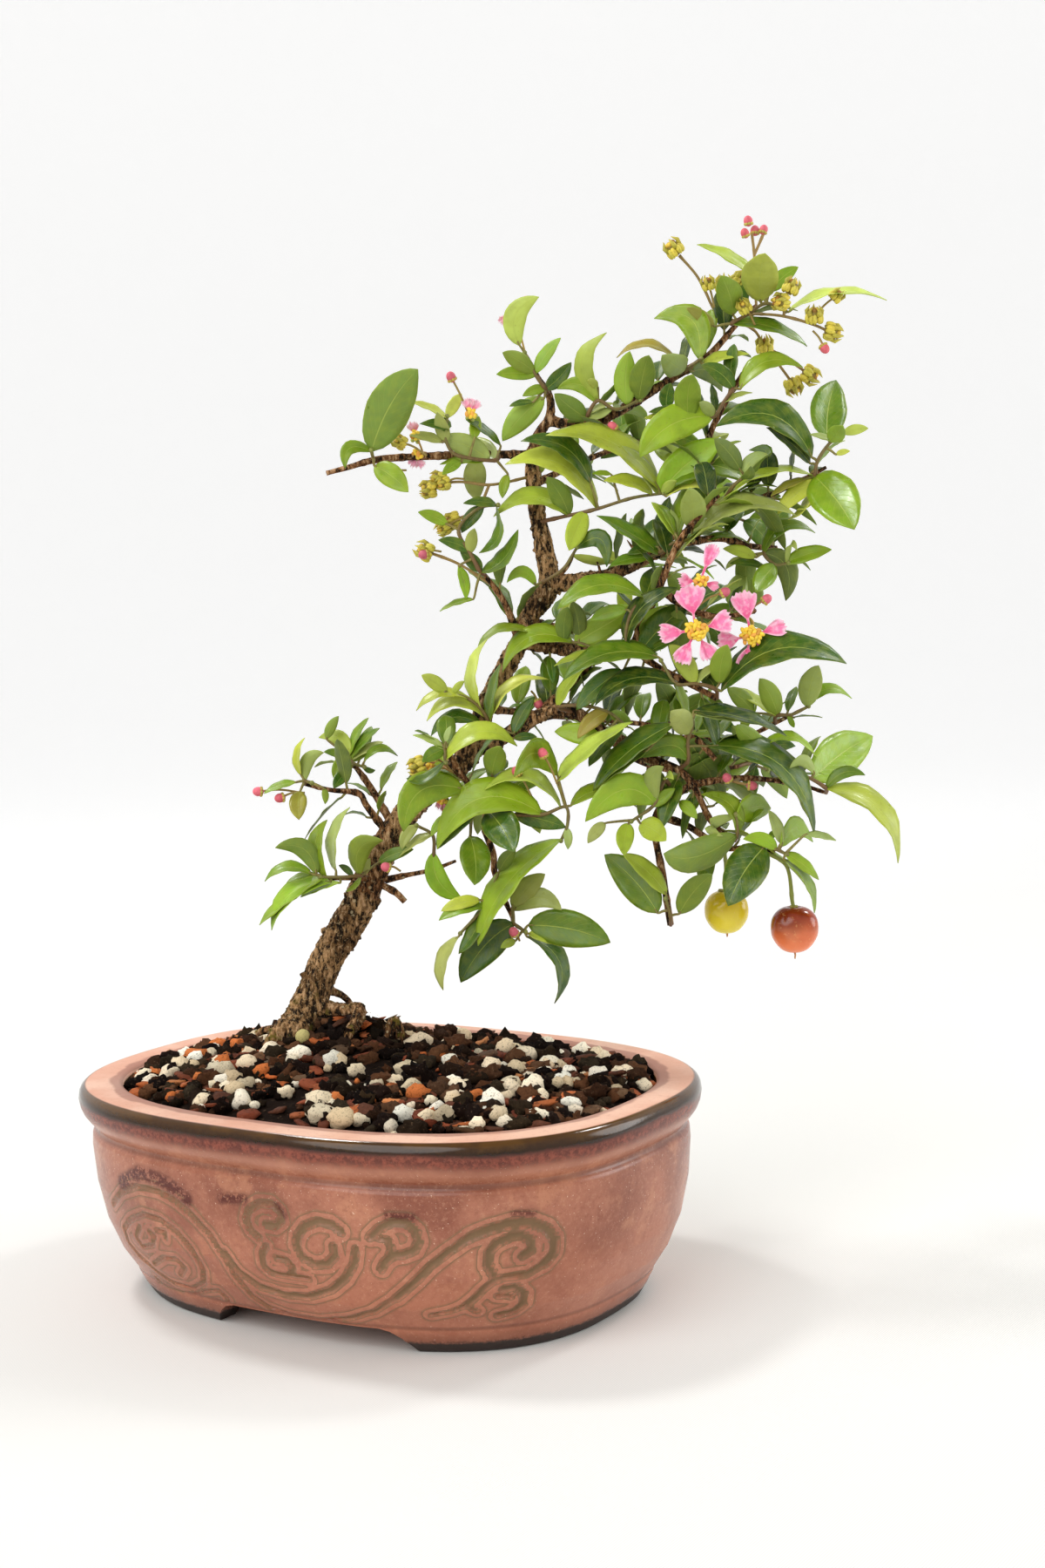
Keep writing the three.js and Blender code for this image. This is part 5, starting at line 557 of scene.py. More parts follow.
# Colours of the loose grains, as display values
CRUMB_COLOURS = [
    (36, 24, 16), (24, 14, 10), (52, 32, 20), (28, 18, 14), (72, 46, 30), (48, 38, 26), (16, 10, 8),
    (92, 62, 42), (30, 22, 14),
]
STONE_COLOURS = [
    (244, 230, 202), (236, 218, 186), (222, 204, 172), (248, 240, 220), (208, 188, 154),
    (198, 112, 60), (240, 226, 200), (228, 208, 176), (216, 202, 178), (238, 230, 210),
    (204, 190, 162), (232, 214, 184), (246, 234, 212), (186, 168, 138), (238, 222, 190),
]
CHIP_COLOURS = [
    (128, 62, 36), (100, 50, 30), (148, 78, 44), (80, 44, 28), (176, 94, 48), (66, 38, 24),
    (112, 54, 34), (92, 66, 44), (190, 122, 74),
]

# The round pale fertiliser ball on the potting mix
PALE_BALL = (-75.6, -87.0, 15.6)

# Small buds and heads: [across, up, near], where the stalk starts, and the kind
SMALL_BUDS = [
    [-24.6, 140.1, 8, -18, 126, "bud"], [-91, -2.6, 12, -76, -3, "bud"], [-83.5, -4.8, 13, -75, -3, "bud"],
    [-47, -28.6, 16, -42, -30, "bud"], [-3, -51, 30, -1, -54, "bud"], [7, 10.5, 42, 12, 0, "bud"],
    [5.4, 27.6, 10, 3, 32, "bud"], [69.6, 66, 30, 60, 61, "bud"], [84, 63.6, 28, 77, 58, "bud"],
    [31, 123, 6, 36, 118, "bud"], [-42, 117.6, 9, -33, 113, "head"], [-27, 103.5, 6, -20, 105, "head"],
    [-27, 88, 8, -18, 92, "head"], [-34, 79, 9, -28, 80, "bud"], [64, 172, 2, 66, 164, "head"],
    [104, 150, 4, 100, 156, "bud"], [76.5, 164, 2, 80, 158, "head"], [108, 168, 2, 100, 160, "head"],
    [-2, 4.2, 30, 3, -4, "bud"], [-30.7, 9.2, 15, -24, 4, "bud"], [-46, 106, 9, -40, 108, "bud"],
]
PETAL_CLAW = 0.4
PETAL_ALONG = 18
PETAL_ACROSS = 20
PETAL_HALF_THICKNESS = 0.09
FRUIT_SIDES = 42

# Setting: lights as name, place to the right, behind and up, size and power
BACKDROP_GLOW = 0.39
WORLD_GLOW = 0.4
FLOOR_SIDES = 64
FLOOR_REACH = 2400
WALL_CURVE = 1200
WALL_TOP = 5000
LIGHT_AIM = Vector((0, 20, 130))
LIGHTS = [
    ("left_light", -425, 295, 1045, 0.2, 4.3), ("right_light", 685, 295, 925, 0.18, 2.5),
    ("front_light", -900, -1150, 1150, 1.8, 20.0), ("side_light", 870, -5, 300, 0.5, 2.4),
]


# Sight lines

def view_axes():
    """Eye of the front viewpoint, the level way away from it, and its forward, right and up."""
    side = Vector((math.cos(VIEW_TURN), math.sin(VIEW_TURN), 0))
    away = Vector((-math.sin(VIEW_TURN), math.cos(VIEW_TURN), 0))
    eye = -VIEW_DISTANCE * math.cos(VIEW_RISE) * away
    eye.z = AIM_HEIGHT + VIEW_DISTANCE * math.sin(VIEW_RISE)
    forward = (math.cos(VIEW_YAW) * away + math.sin(VIEW_YAW) * side) * math.cos(VIEW_PITCH)
    forward.z = -math.sin(VIEW_PITCH)
    right = forward.cross(Vector((0, 0, 1))).normalized()
    up = right.cross(forward)
    c, s = math.cos(VIEW_ROLL), math.sin(VIEW_ROLL)
    return eye, away, forward, right * c + up * s, up * c - right * s


EYE, AWAY, FORWARD, RIGHT, UP = view_axes()


def seen(across, up, near):
    """Point on a sight line of the front viewpoint, near millimetres in front of the trunk's plane."""
    ray = FORWARD + RIGHT * (across / SIGHT_RANGE) + UP * (up / SIGHT_RANGE)
    return EYE + ray * ((TRUNK_PLANE - near) / ray.dot(AWAY))


# Meshes

class Build:
    """Collects points and faces of one piece, with a colour and a surface note for each point."""

    def __init__(self):
        self.points, self.faces, self.slots = [], [], []
        self.tint, self.note = [], []

    def add(self, points, faces, slot=0, tint=(1, 1, 1), note=(0, 0, 0)):
        first = len(self.points)
        self.points.extend(points)
        self.faces.extend([tuple(first + i for i in f) for f in faces])
        self.slots.extend([slot] * len(faces))
        self.tint.extend(tint if isinstance(tint, list) else [tint] * len(points))
        self.note.extend(note if isinstance(note, list) else [note] * len(points))

    def bar(self, route, radii, sides, colour, vary=0.0, slot=0, wobble=None):
        """Round bar of a display colour that varies by an amount."""
        self.add(*sweep(route, radii, sides, wobble), slot=slot, tint=dyed(colour, vary))

    def ball(self, centre, radius, colour, vary=0.0, slot=0, rings=6, sides=8, axis=None, stretch=0.0,
             width=1.0):
        """Round body of a display colour, drawn out along an axis by a share."""
        points, faces = blob(Vector((0, 0, 0)), radius, rings, sides)
        axis = axis or Vector((0, 0, 0))
        points = [centre + p * width + axis * p.dot(axis) * stretch for p in points]
        self.add(points, faces, slot=slot, tint=dyed(colour, vary))

    def piece(self, name, materials, slot, nodes):
        shift = np.array([*FOOTPRINT_MIDDLE, 0.0])
        points = (np.array([tuple(p) for p in self.points]) - shift) * MM
        mesh = new_mesh(name, points.tolist(), self.faces)
        for material in materials:
            mesh.materials.append(material)
        mesh.polygons.foreach_set("material_index", self.slots)
        smooth(mesh)
        tint = mesh.attributes.new("tint", "FLOAT_COLOR", "POINT")
        tint.data.foreach_set("color", [v for t in self.tint for v in (*t, 1.0)])
        set_vectors(mesh, "note", self.note)
        mesh.update()
        carry(new_object(name, mesh), nodes)


def new_object(name, data):
    obj = bpy.data.objects.new(name, data)
    bpy.context.scene.collection.objects.link(obj)
    return obj


def new_mesh(name, points, faces):
    """Mesh of points in metres."""
    mesh = bpy.data.meshes.new(name)
    mesh.from_pydata([tuple(p) for p in points], [], faces)
    return mesh


def carry(obj, nodes):
    """Puts a piece on the body, in the place of its nodes."""
    if nodes:
        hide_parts(*nodes)
    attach(obj, BODY)


def set_vectors(mesh, name, rows):
    attribute = mesh.attributes.new(name, "FLOAT_VECTOR", "POINT")
    attribute.data.foreach_set("vector", np.array(rows, np.float32).ravel())


def smooth(mesh):
    mesh.polygons.foreach_set("use_smooth", [True] * len(mesh.polygons))


def vertex_places(mesh):
    """Places of the vertices in millimetres."""
    places = np.zeros(len(mesh.vertices) * 3)
    mesh.vertices.foreach_get("co", places)
    return places.reshape(-1, 3) / MM


def settle(mesh, places, material):
    """Writes the moved vertices back, centred on the footprint, with the one material."""
    places[:, :2] -= FOOTPRINT_MIDDLE
    mesh.vertices.foreach_set("co", (places * MM).ravel())
    mesh.materials.clear()
    mesh.materials.append(material)
    smooth(mesh)


def apply_modifiers(obj):
    """Puts what the object's modifiers make of its mesh in the mesh's place."""
    depsgraph = bpy.context.evaluated_depsgraph_get()
    mesh = bpy.data.meshes.new_from_object(obj.evaluated_get(depsgraph))
    obj.modifiers.clear()
    obj.data = mesh
    mesh.name = obj.name
    return mesh


def ring_faces(rings, sides, capped=True):
    """Faces between rings of points, each ring after the one before, and the two ends."""
    faces = []
    for k in range(rings - 1):
        low, high = k * sides, (k + 1) * sides
        for i in range(sides):
            j = (i + 1) % sides
            faces.append((low + i, low + j, high + j, high + i))
    if capped:
        faces += [tuple(reversed(range(sides))), tuple(range((rings - 1) * sides, rings * sides))]
    return faces


def sheet_faces(rows, cols):
    """Faces of a closed thin sheet: its upper points row by row, then its lower ones."""
    per, count = cols + 1, (rows + 1) * (cols + 1)
    faces = []
    for k in range(rows):
        for i in range(cols):
            a, b, c, d = k * per + i, k * per + i + 1, (k + 1) * per + i + 1, (k + 1) * per + i
            faces += [(a, b, c, d), (count + d, count + c, count + b, count + a)]
    rim = list(range(per)) + [k * per + cols for k in range(1, rows + 1)]
    rim += [rows * per + i for i in range(cols - 1, -1, -1)] + [k * per for k in range(rows - 1, 0, -1)]
    return faces + [(b, a, count + a, count + b) for a, b in zip(rim, rim[1:] + rim[:1])]


def turned(faces, when=True):
    """The faces with their other side out."""
    return [tuple(reversed(f)) for f in faces] if when else faces


def all_round(count):
    """Evenly spaced turns of a full circle."""
    return [2 * math.pi * i / count for i in range(count)]


def around(count, side, deep, start=0.0):
    """Directions evenly round the axis that side and deep are square to."""
    for turn in all_round(count):
        yield side * math.cos(turn + start) + deep * math.sin(turn + start)


def spline(route, per_span):
    """Smooth curve through the route: points and the place along the route of each."""
    pts = [Vector(p) for p in route]
    pts = [pts[0] * 2 - pts[1]] + pts + [pts[-1] * 2 - pts[-2]]
    out, place = [], []
    for i in range(len(route) - 1):
        p0, p1, p2, p3 = pts[i:i + 4]
        d0, d1, d2 = [max((b - a).length ** 0.5, 1e-3) for a, b in ((p0, p1), (p1, p2), (p2, p3))]
        t1 = ((p1 - p0) / d0 - (p2 - p0) / (d0 + d1) + (p2 - p1) / d1) * d1
        t2 = ((p2 - p1) / d1 - (p3 - p1) / (d1 + d2) + (p3 - p2) / d2) * d1
        steps = max(2, int(math.ceil((p2 - p1).length / per_span)))
        for k in range(steps):
            t = k / steps
            square, cube = 3 * (p2 - p1) - 2 * t1 - t2, 2 * (p1 - p2) + t1 + t2
            out.append(p1 + t1 * t + square * t * t + cube * t ** 3)
            place.append(i + t)
    out.append(pts[-2].copy())
    place.append(len(route) - 1.0)
    return out, place


def sweep(centres, radii, sides, wobble=None):
    """Round bar along the centres."""
    points = []
    normal = Vector((0, 0, 1))
    run = 0.0
    for k, centre in enumerate(centres):
        ahead = centres[min(k + 1, len(centres) - 1)] - centres[max(k - 1, 0)]
        along = ahead.normalized()
        normal = normal - along * normal.dot(along)
        if normal.length < 0.1:
            normal = along.cross(Vector((1, 0, 0)))
        normal.normalize()
        across = along.cross(normal)
        run += (centre - centres[max(k - 1, 0)]).length
        for turn in all_round(sides):
            reach = radii[k] * (wobble(turn, run) if wobble else 1)
            points.append(centre + (normal * math.cos(turn) + across * math.sin(turn)) * reach)
    return points, ring_faces(len(centres), sides)


def blob(centre, radius, rings, sides, shape=None):
    """Closed round body; shape gives the reach for a direction."""
    points = []
    for k in range(rings + 1):
        rise = math.pi * (k / rings - 0.5)
        for turn in all_round(sides):
            way = Vector((math.cos(rise) * math.cos(turn), math.cos(rise) * math.sin(turn), math.sin(rise)))
            points.append(centre + way * radius * (shape(way) if shape else 1))
    return points, ring_faces(rings + 1, sides, capped=False)


def linear(colour):
    """Linear colour from a display colour of 0 to 255."""
    return tuple(((v / 255 + 0.055) / 1.055) ** 2.4 if v > 10 else v / 3294 for v in colour)


def varied(colour, amount):
    """The colour, a little lighter or darker and warmer or cooler."""
    light = 1 + amount * (LOOKS.random() - 0.5) * 2
    warm = 1 + 0.4 * amount * (LOOKS.random() - 0.5) * 2
    return (colour[0] * light * warm, colour[1] * light, colour[2] * light / warm)


def dyed(colour, vary):
    """Tint of a display colour, varied unless the amount is 0."""
    return varied(linear(colour), vary) if vary else linear(colour)


# Draws that place the leaves, and draws for everything else
drawn = 2024
LOOKS = random.Random(7)


def draw():
    """Next repeatable draw from 0 to 1, the same as in the CAD source."""
    global drawn
    drawn = (drawn * 1664525 + 1013904223) & 0xFFFFFFFF
    return drawn / 4294967296


# Materials

class Paint:
    """A node material on the principled shader."""

    def __init__(self, name, roughness=0.5, **inputs):
        self.material = bpy.data.materials.new(name)
        self.material.use_nodes = True
        self.tree = self.material.node_tree
        self.shader = self.tree.nodes["Principled BSDF"]
        self.shader.inputs["Roughness"].default_value = roughness
        for key, value in inputs.items():
            self.shader.inputs[key.replace("_", " ")].default_value = value
        self.object = self.node("ShaderNodeTexCoord").outputs["Object"]

    def node(self, kind, **values):
        node = self.tree.nodes.new(kind)
        for key, value in values.items():
            setattr(node, key, value)
        return node

    def link(self, source, target):
        if hasattr(source, "is_output"):
            self.tree.links.new(source, target)
        else:
            target.default_value = source

    def attribute(self, name, output="Color"):
        return self.node("ShaderNodeAttribute", attribute_name=name).outputs[output]

    def split(self, vector):
        node = self.node("ShaderNodeSeparateXYZ")
        self.link(vector, node.inputs[0])
        return node.outputs

    def noise(self, scale, detail=3.0, roughness=0.55, stretch=None, vector=None):
        node = self.node("ShaderNodeTexNoise")
        node.inputs["Scale"].default_value = scale
        node.inputs["Detail"].default_value = detail
        node.inputs["Roughness"].default_value = roughness
        source = vector or self.object
        if stretch:
            mapping = self.node("ShaderNodeMapping")
            mapping.inputs["Scale"].default_value = stretch
            self.link(source, mapping.inputs["Vector"])
            source = mapping.outputs[0]
        self.link(source, node.inputs["Vector"])
        return node.outputs["Fac"]

    def cells(self, scale):
        node = self.node("ShaderNodeTexVoronoi", feature="F1")
        node.inputs["Scale"].default_value = scale
        self.link(self.object, node.inputs["Vector"])
        return node.outputs["Distance"]

    def math(self, operation, a, b=0.0, c=0.0):
        node = self.node("ShaderNodeMath", operation=operation)
        for value, socket in zip((a, b, c), node.inputs):
            self.link(value, socket)
        return node.outputs[0]

    def range(self, value, low, high, to_low=0.0, to_high=1.0):
        node = self.node("ShaderNodeMapRange", interpolation_type="SMOOTHSTEP")
        for item, socket in zip((value, low, high, to_low, to_high), node.inputs):
            self.link(item, socket)
        return node.outputs[0]

    def mix(self, amount, a, b):
        node = self.node("ShaderNodeMix", data_type="RGBA")
        self.link(amount, node.inputs[0])
        for value, socket in ((a, node.inputs[6]), (b, node.inputs[7])):
            self.link((*value[:3], 1.0) if isinstance(value, tuple) else value, socket)
        return node.outputs[2]

    def over(self, base, mask, amount, colour):
        """The base with a display colour laid over it where the mask is, up to an amount."""
        return self.mix(self.math("MULTIPLY", mask, amount), base, linear(colour))

    def shade(self, base, source, low, high, amount, colour):
        """The base, with a display colour up to an amount where the source runs from low to high."""
        return self.mix(self.range(source, low, high, 0.0, amount), base, linear(colour))

    def colour(self, source):
        self.link(source, self.shader.inputs["Base Color"])

    def rough(self, source):
        self.link(source, self.shader.inputs["Roughness"])

    def bump(self, height, distance, strength=1.0):
        node = self.node("ShaderNodeBump")
        node.inputs["Distance"].default_value = distance * MM
        node.inputs["Strength"].default_value = strength
        self.link(height, node.inputs["Height"])
        self.link(node.outputs[0], self.shader.inputs["Normal"])


def leaf_paint():
    """note holds the place across the blade (-1 to 1), along it (0 to 1), and 1 on the underside."""
    p = Paint("leaf", roughness=0.36, Specular_IOR_Level=0.42)
    across, along, face = p.split(p.attribute("note", "Vector"))
    under = p.math("GREATER_THAN", face, 0.5)
    side = p.math("ABSOLUTE", across)
    base = p.attribute("tint")
    mottle = p.noise(330, 4)
    base = p.mix(p.range(mottle, 0.38, 0.7, 0.0, 0.4), base, p.mix(0.5, base, linear((168, 172, 36))))
    base = p.mix(p.range(p.noise(110, 3), 0.36, 0.6, 0.42, 0.0), base, p.mix(0.5, base, linear((20, 40, 4))))
    wave = p.math("SINE", p.math("MULTIPLY", p.math("MULTIPLY_ADD", side, -0.34, along), -62.0))
    vein = p.range(wave, 0.88, 1.0)
    base = p.over(base, vein, 0.1, (178, 196, 72))
    rib_half = p.math("MULTIPLY_ADD", along, -0.03, 0.05)
    rib = p.range(side, p.math("MULTIPLY", rib_half, 0.4), rib_half, 1.0, 0.0)
    base = p.over(base, rib, 0.55, (186, 200, 88))
    # Paler margin: painted rim light along the leaf's edge
    edge = p.range(side, 0.94, 1.0)
    base = p.over(base, edge, 0.4, (186, 192, 70))
    spots = p.range(p.noise(800, 2), 0.66, 0.74)
    base = p.over(base, spots, 0.35, (124, 104, 40))
    pale = p.mix(0.34, base, linear((146, 160, 78)))
    p.colour(p.mix(under, base, pale))
    p.rough(p.math("MULTIPLY_ADD", under, 0.2, p.range(mottle, 0.3, 0.7, 0.27, 0.42)))
    height = p.math("SUBTRACT", p.math("MULTIPLY", p.noise(1300, 2), 0.3), p.math("MULTIPLY", vein, 0.35))
    p.bump(p.math("SUBTRACT", height, rib), 0.1, 0.7)
    return p.material


def twig_paint():
    """tint sets the twig's colour from green to red-brown."""
    p = Paint("twig", roughness=0.6)
    grain = p.noise(900, 4, stretch=(1, 1, 0.4))
    p.colour(p.mix(p.range(grain, 0.35, 0.7, 0.0, 0.6), p.attribute("tint"), linear((96, 70, 44))))
    p.bump(grain, 0.15, 0.6)
    return p.material


def bark_paint():
    """note x is how old the wood is, from a young red-brown twig (0) to grey-brown furrowed bark (1)."""
    p = Paint("bark", roughness=0.88, Specular_IOR_Level=0.2)
    age, rise, _ = p.split(p.attribute("note", "Vector"))
    broad = p.noise(60, 5, 0.65)
    fibre = p.noise(420, 6, 0.7, stretch=(1.5, 1.5, 0.5))
    fine = p.noise(900, 4, 0.65)
    old = p.mix(p.range(broad, 0.38, 0.62), linear((110, 78, 44)), linear((190, 148, 100)))
    young = p.mix(p.range(broad, 0.35, 0.65), linear((104, 62, 34)), linear((158, 108, 66)))
    base = p.mix(age, young, old)
    # Near-black where the fibre relief is low: partly the bark's own dark furrows, partly painted shade in
    # the hollows
    base = p.shade(base, fibre, 0.535, 0.43, 0.97, (20, 10, 3))
    base = p.shade(base, fibre, 0.54, 0.64, 0.7, (232, 190, 146))
    base = p.shade(base, fine, 0.56, 0.68, 0.5, (226, 196, 150))
    low = p.range(rise, 0.15, 0.8, 1.0, 0.0)
    moss = p.math("MULTIPLY", low, p.range(p.noise(210, 5, 0.65), 0.52, 0.62))
    base = p.over(base, moss, 0.75, (112, 102, 30))
    dots = p.math("MULTIPLY", p.range(p.cells(300), 0.22, 0.12), p.range(p.noise(45, 2), 0.5, 0.6))
    base = p.over(base, dots, 0.7, (218, 198, 156))
    p.colour(base)
    p.bump(p.math("ADD", p.math("MULTIPLY", fibre, 1.5), p.math("MULTIPLY", fine, 0.7)), 1.0, 1.0)
    return p.material


def glaze_paint():
    """note holds the groove (1) with its edge (over 1), the smudges, and the way up in centimetres."""
    p = Paint("pot_glaze", roughness=0.3, Specular_IOR_Level=0.42)
    mark, smudge, climb = p.split(p.attribute("note", "Vector"))
    groove = p.math("MINIMUM", mark, 1.0)
    halo = p.range(mark, 0.0, 2.0)
    cloud = p.noise(24, 4, 0.6)
    patch = p.noise(70, 5, 0.65)
    speck = p.noise(650, 4, 0.75)
    pink = p.mix(p.range(cloud, 0.4, 0.6), linear((138, 80, 60)), linear((170, 108, 84)))
    pink = p.shade(pink, patch, 0.52, 0.7, 0.5, (126, 64, 46))
    pink = p.shade(pink, patch, 0.46, 0.34, 0.5, (192, 130, 98))
    pink = p.shade(pink, speck, 0.52, 0.66, 0.3, (200, 146, 116))
    pink = p.shade(pink, speck, 0.46, 0.34, 0.32, (112, 56, 40))
    pink = p.shade(pink, p.noise(1500, 1), 0.71, 0.78, 0.7, (232, 198, 172))
    # Lighter and more orange towards the foot: painted light bounced up from the floor
    pink = p.shade(pink, climb, 4.5, 1.5, 0.3, (198, 126, 96))
    top = p.mix(p.range(cloud, 0.4, 0.62), linear((216, 160, 134)), linear((228, 184, 160)))
    top = p.shade(top, speck, 0.5, 0.7, 0.35, (188, 126, 104))
    wander = p.math("MULTIPLY", p.math("SUBTRACT", p.noise(40, 4, 0.6), 0.5), 0.3)
    grainy = p.math("MULTIPLY", p.math("SUBTRACT", speck, 0.5), 0.3)
    level = p.math("ADD", p.math("ADD", climb, wander), grainy)
    maroon = p.mix(p.range(speck, 0.42, 0.6), linear((84, 30, 18)), linear((132, 60, 42)))
    olive = p.mix(p.range(level, 6.55, 7.0), linear((18, 9, 6)), linear((84, 54, 14)))
    olive = p.shade(olive, p.noise(50, 3), 0.45, 0.6, 0.6, (52, 30, 12))
    under = p.math("MULTIPLY", p.range(level, 5.95, 6.4), p.range(level, 6.95, 6.6))
    band = p.math("MULTIPLY", p.range(level, 6.5, 6.68), p.range(climb, 7.24, 7.14))
    # Lighter just under the lip: painted light filling the overhang's shade
    lip_fill_light = p.math("MULTIPLY", p.range(level, 5.6, 5.8), p.range(level, 6.3, 6.05))
    base = p.over(pink, lip_fill_light, 0.35, (204, 142, 114))
    base = p.mix(p.math("MULTIPLY", under, 0.9), base, maroon)
    base = p.mix(p.range(climb, 7.1, 7.26), base, top)
    inner = p.range(p.math("MULTIPLY_ADD", wander, 2.5, climb), 7.86, 8.0)
    base = p.over(base, inner, 0.55, (124, 58, 44))
    base = p.mix(band, base, olive)
    line = p.math("MULTIPLY", p.range(climb, 5.4, 5.5), p.range(climb, 5.66, 5.56))
    foot_line = p.math("MULTIPLY", p.range(climb, 0.78, 0.86), p.range(climb, 1.0, 0.9))
    base = p.over(base, p.math("ADD", line, foot_line), 0.45, (92, 52, 38))
    base = p.shade(base, climb, 0.85, 0.4, 0.45, (110, 66, 48))
    base = p.mix(p.range(p.math("ADD", climb, grainy), 0.46, 0.3), base, linear((50, 36, 30)))
    base = p.over(base, halo, 0.1, (212, 152, 122))
    cut = p.math("MULTIPLY", groove, p.range(halo, 0.62, 0.5))
    clay = p.mix(patch, linear((98, 78, 48)), linear((130, 102, 70)))
    base = p.mix(p.math("MULTIPLY", cut, 0.92), base, clay)
    base = p.mix(p.math("MULTIPLY", smudge, p.range(speck, 0.4, 0.5)), base, linear((86, 28, 14)))
    p.colour(base)
    matt = p.math("MAXIMUM", p.range(climb, 7.1, 7.26), p.range(climb, 0.46, 0.3))
    matt = p.math("MAXIMUM", p.math("MULTIPLY", matt, 0.55), p.math("MULTIPLY", cut, 0.55))
    gloss = p.mix(band, (0.27, 0.27, 0.27), (0.09, 0.09, 0.09))
    p.rough(p.math("MAXIMUM", matt, gloss))
    p.bump(p.math("ADD", speck, p.math("MULTIPLY", cloud, 2.0)), 0.1, 0.35)
    return p.material


def grain_paint(name, roughness, scale, depth, shine=0.06):
    """Loose soil grains, tinted one by one."""
    p = Paint(name, roughness=roughness, Specular_IOR_Level=shine)
    pits = p.noise(scale, 5, 0.7)
    tint = p.attribute("tint")
    dark = p.mix(0.55, tint, linear((26, 14, 8)))
    base = p.mix(p.range(pits, 0.34, 0.5), dark, tint)
    p.colour(p.mix(p.range(pits, 0.58, 0.7, 0.0, 0.3), base, linear((150, 122, 96))))
    p.bump(pits, depth, 0.9)
    return p.material


def petal_paint(name, claw, limb, edge):
    """note x runs from the claw (0) to the frilled edge (1), and y out to the sides."""
    p = Paint(name, roughness=0.5, Sheen_Weight=0.25)
    along, across, _ = p.split(p.attribute("note", "Vector"))
    vein = p.noise(520, 4)
    claw, limb, edge = linear(claw), linear(limb), linear(edge)
    base = p.mix(p.range(along, 0.1, 0.6), claw, limb)
    base = p.mix(p.range(vein, 0.46, 0.66, 0.0, 0.55), base, edge)
    rim = p.math("MAXIMUM", p.range(along, 0.72, 1.0), p.range(across, 0.6, 1.0))
    base = p.mix(p.math("MULTIPLY", rim, p.range(vein, 0.3, 0.55, 0.3, 0.8)), base, edge)
    p.colour(base)
    p.bump(vein, 0.15, 0.6)
    return p.material


def knob_paint(name, roughness, scale, darker):
    """Small round parts: buds, calyx glands, stamens and young seeds, tinted one by one."""
    p = Paint(name, roughness=roughness)
    spots = p.noise(scale, 3)
    tint = p.attribute("tint")
    p.colour(p.mix(p.range(spots, 0.5, 0.68, 0.0, 0.7), tint, p.mix(darker, tint, linear((60, 44, 20)))))
    p.bump(spots, 0.12, 0.5)
    return p.material


def fruit_paint(name, top, bottom, flush, turn_height):
    """Glossy thin skin that turns from one colour at the stalk to another below a height."""
    p = Paint(name, roughness=0.16, Specular_IOR_Level=0.5)
    height = p.split(p.object)[2]
    wander = p.math("MULTIPLY_ADD", p.noise(170, 3), 0.005, height)
    base = p.mix(p.range(wander, (turn_height - 3) * MM, (turn_height + 9) * MM), bottom, top)
    base = p.mix(p.range(p.noise(70, 3), 0.45, 0.65, 0.0, 0.3), base, flush)
    base = p.shade(base, p.noise(900, 3), 0.6, 0.72, 0.25, (240, 190, 120))
    p.colour(base)
    p.bump(p.noise(260, 2), 0.1, 0.35)
    return p.material


def screen_paint():
    p = Paint("screen_plastic", roughness=0.55)
    speck = p.noise(800, 3)
    p.colour(p.mix(p.range(speck, 0.4, 0.65), linear((30, 30, 30)), linear((52, 52, 50))))
    p.bump(speck, 0.05, 0.5)
    return p.material


# Pot

def corner_power(value):
    """Share of a half side that turns a circle's sine or cosine into the pot's squarer oval."""
    return math.copysign(abs(value) ** (2 / SQUARENESS), value)


def oval(inset, turn):
    """Point of the pot's outline, drawn in by inset."""
    return ((RIM_HALF_LENGTH - inset) * corner_power(math.cos(turn)),
            (RIM_HALF_WIDTH - inset) * corner_power(math.sin(turn)))


def even_turns(count):
    """Turns that place points evenly round the outline."""
    fine = [2 * math.pi * i / 7200 for i in range(7201)]
    spots = np.array([oval(0, t) for t in fine])
    run = np.concatenate([[0], np.cumsum(np.linalg.norm(np.diff(spots, axis=0), axis=1))])
    return np.interp(np.arange(count) / count * run[-1], run, fine)


def squareness_sum(x, y, inset):
    """Under 1 inside the pot's outline drawn in by inset, and over 1 outside it."""
    along, deep = abs(x / (RIM_HALF_LENGTH - inset)), abs(y / (RIM_HALF_WIDTH - inset))
    return along ** SQUARENESS + deep ** SQUARENESS


def inset_at(height):
    """How far the pot's outside lies in from the rim's outline at a height."""
    return float(np.interp(height, [h for h, _ in OUTSIDE], [i for _, i in OUTSIDE]))


def on_pot(across, up):
    """Point of the pot's outside on a sight line, or None where the line misses it."""
    start = seen(across, up, 300)
    way = (seen(across, up, 0) - start).normalized()
    for step in range(SIGHT_STEPS):
        spot = start + way * step * SIGHT_STEP
        if 6 < spot.z < RIM_HEIGHT and squareness_sum(spot.x, spot.y, inset_at(spot.z)) < 1:
            return spot
    return None


def ornament_segments(lines):
    """Ends and half widths of the short lines of an ornament on the pot, and their copies on its back."""
    starts, ends, halves = [], [], []
    for entry in lines.split(";"):
        half, line = entry.split(":")
        half, line, fine = float(half), read_rows(line), []
        for (x0, y0), (x1, y1) in zip(line, line[1:]):
            steps = max(1, round(math.hypot(x1 - x0, y1 - y0) / 3))
            fine += [(x0 + (x1 - x0) * k / steps, y0 + (y1 - y0) * k / steps) for k in range(steps)]
        fine.append(line[-1])
        spots = [on_pot(*p) for p in fine]
        for a, b in zip(spots, spots[1:]):
            if a is None or b is None or (a - b).length > 12:
                continue
            for sign in (1, -1):
                starts.append((a.x * sign, a.y * sign, a.z))
                ends.append((b.x * sign, b.y * sign, b.z))
                halves.append(half)
    return np.array(starts), np.array(ends), halves


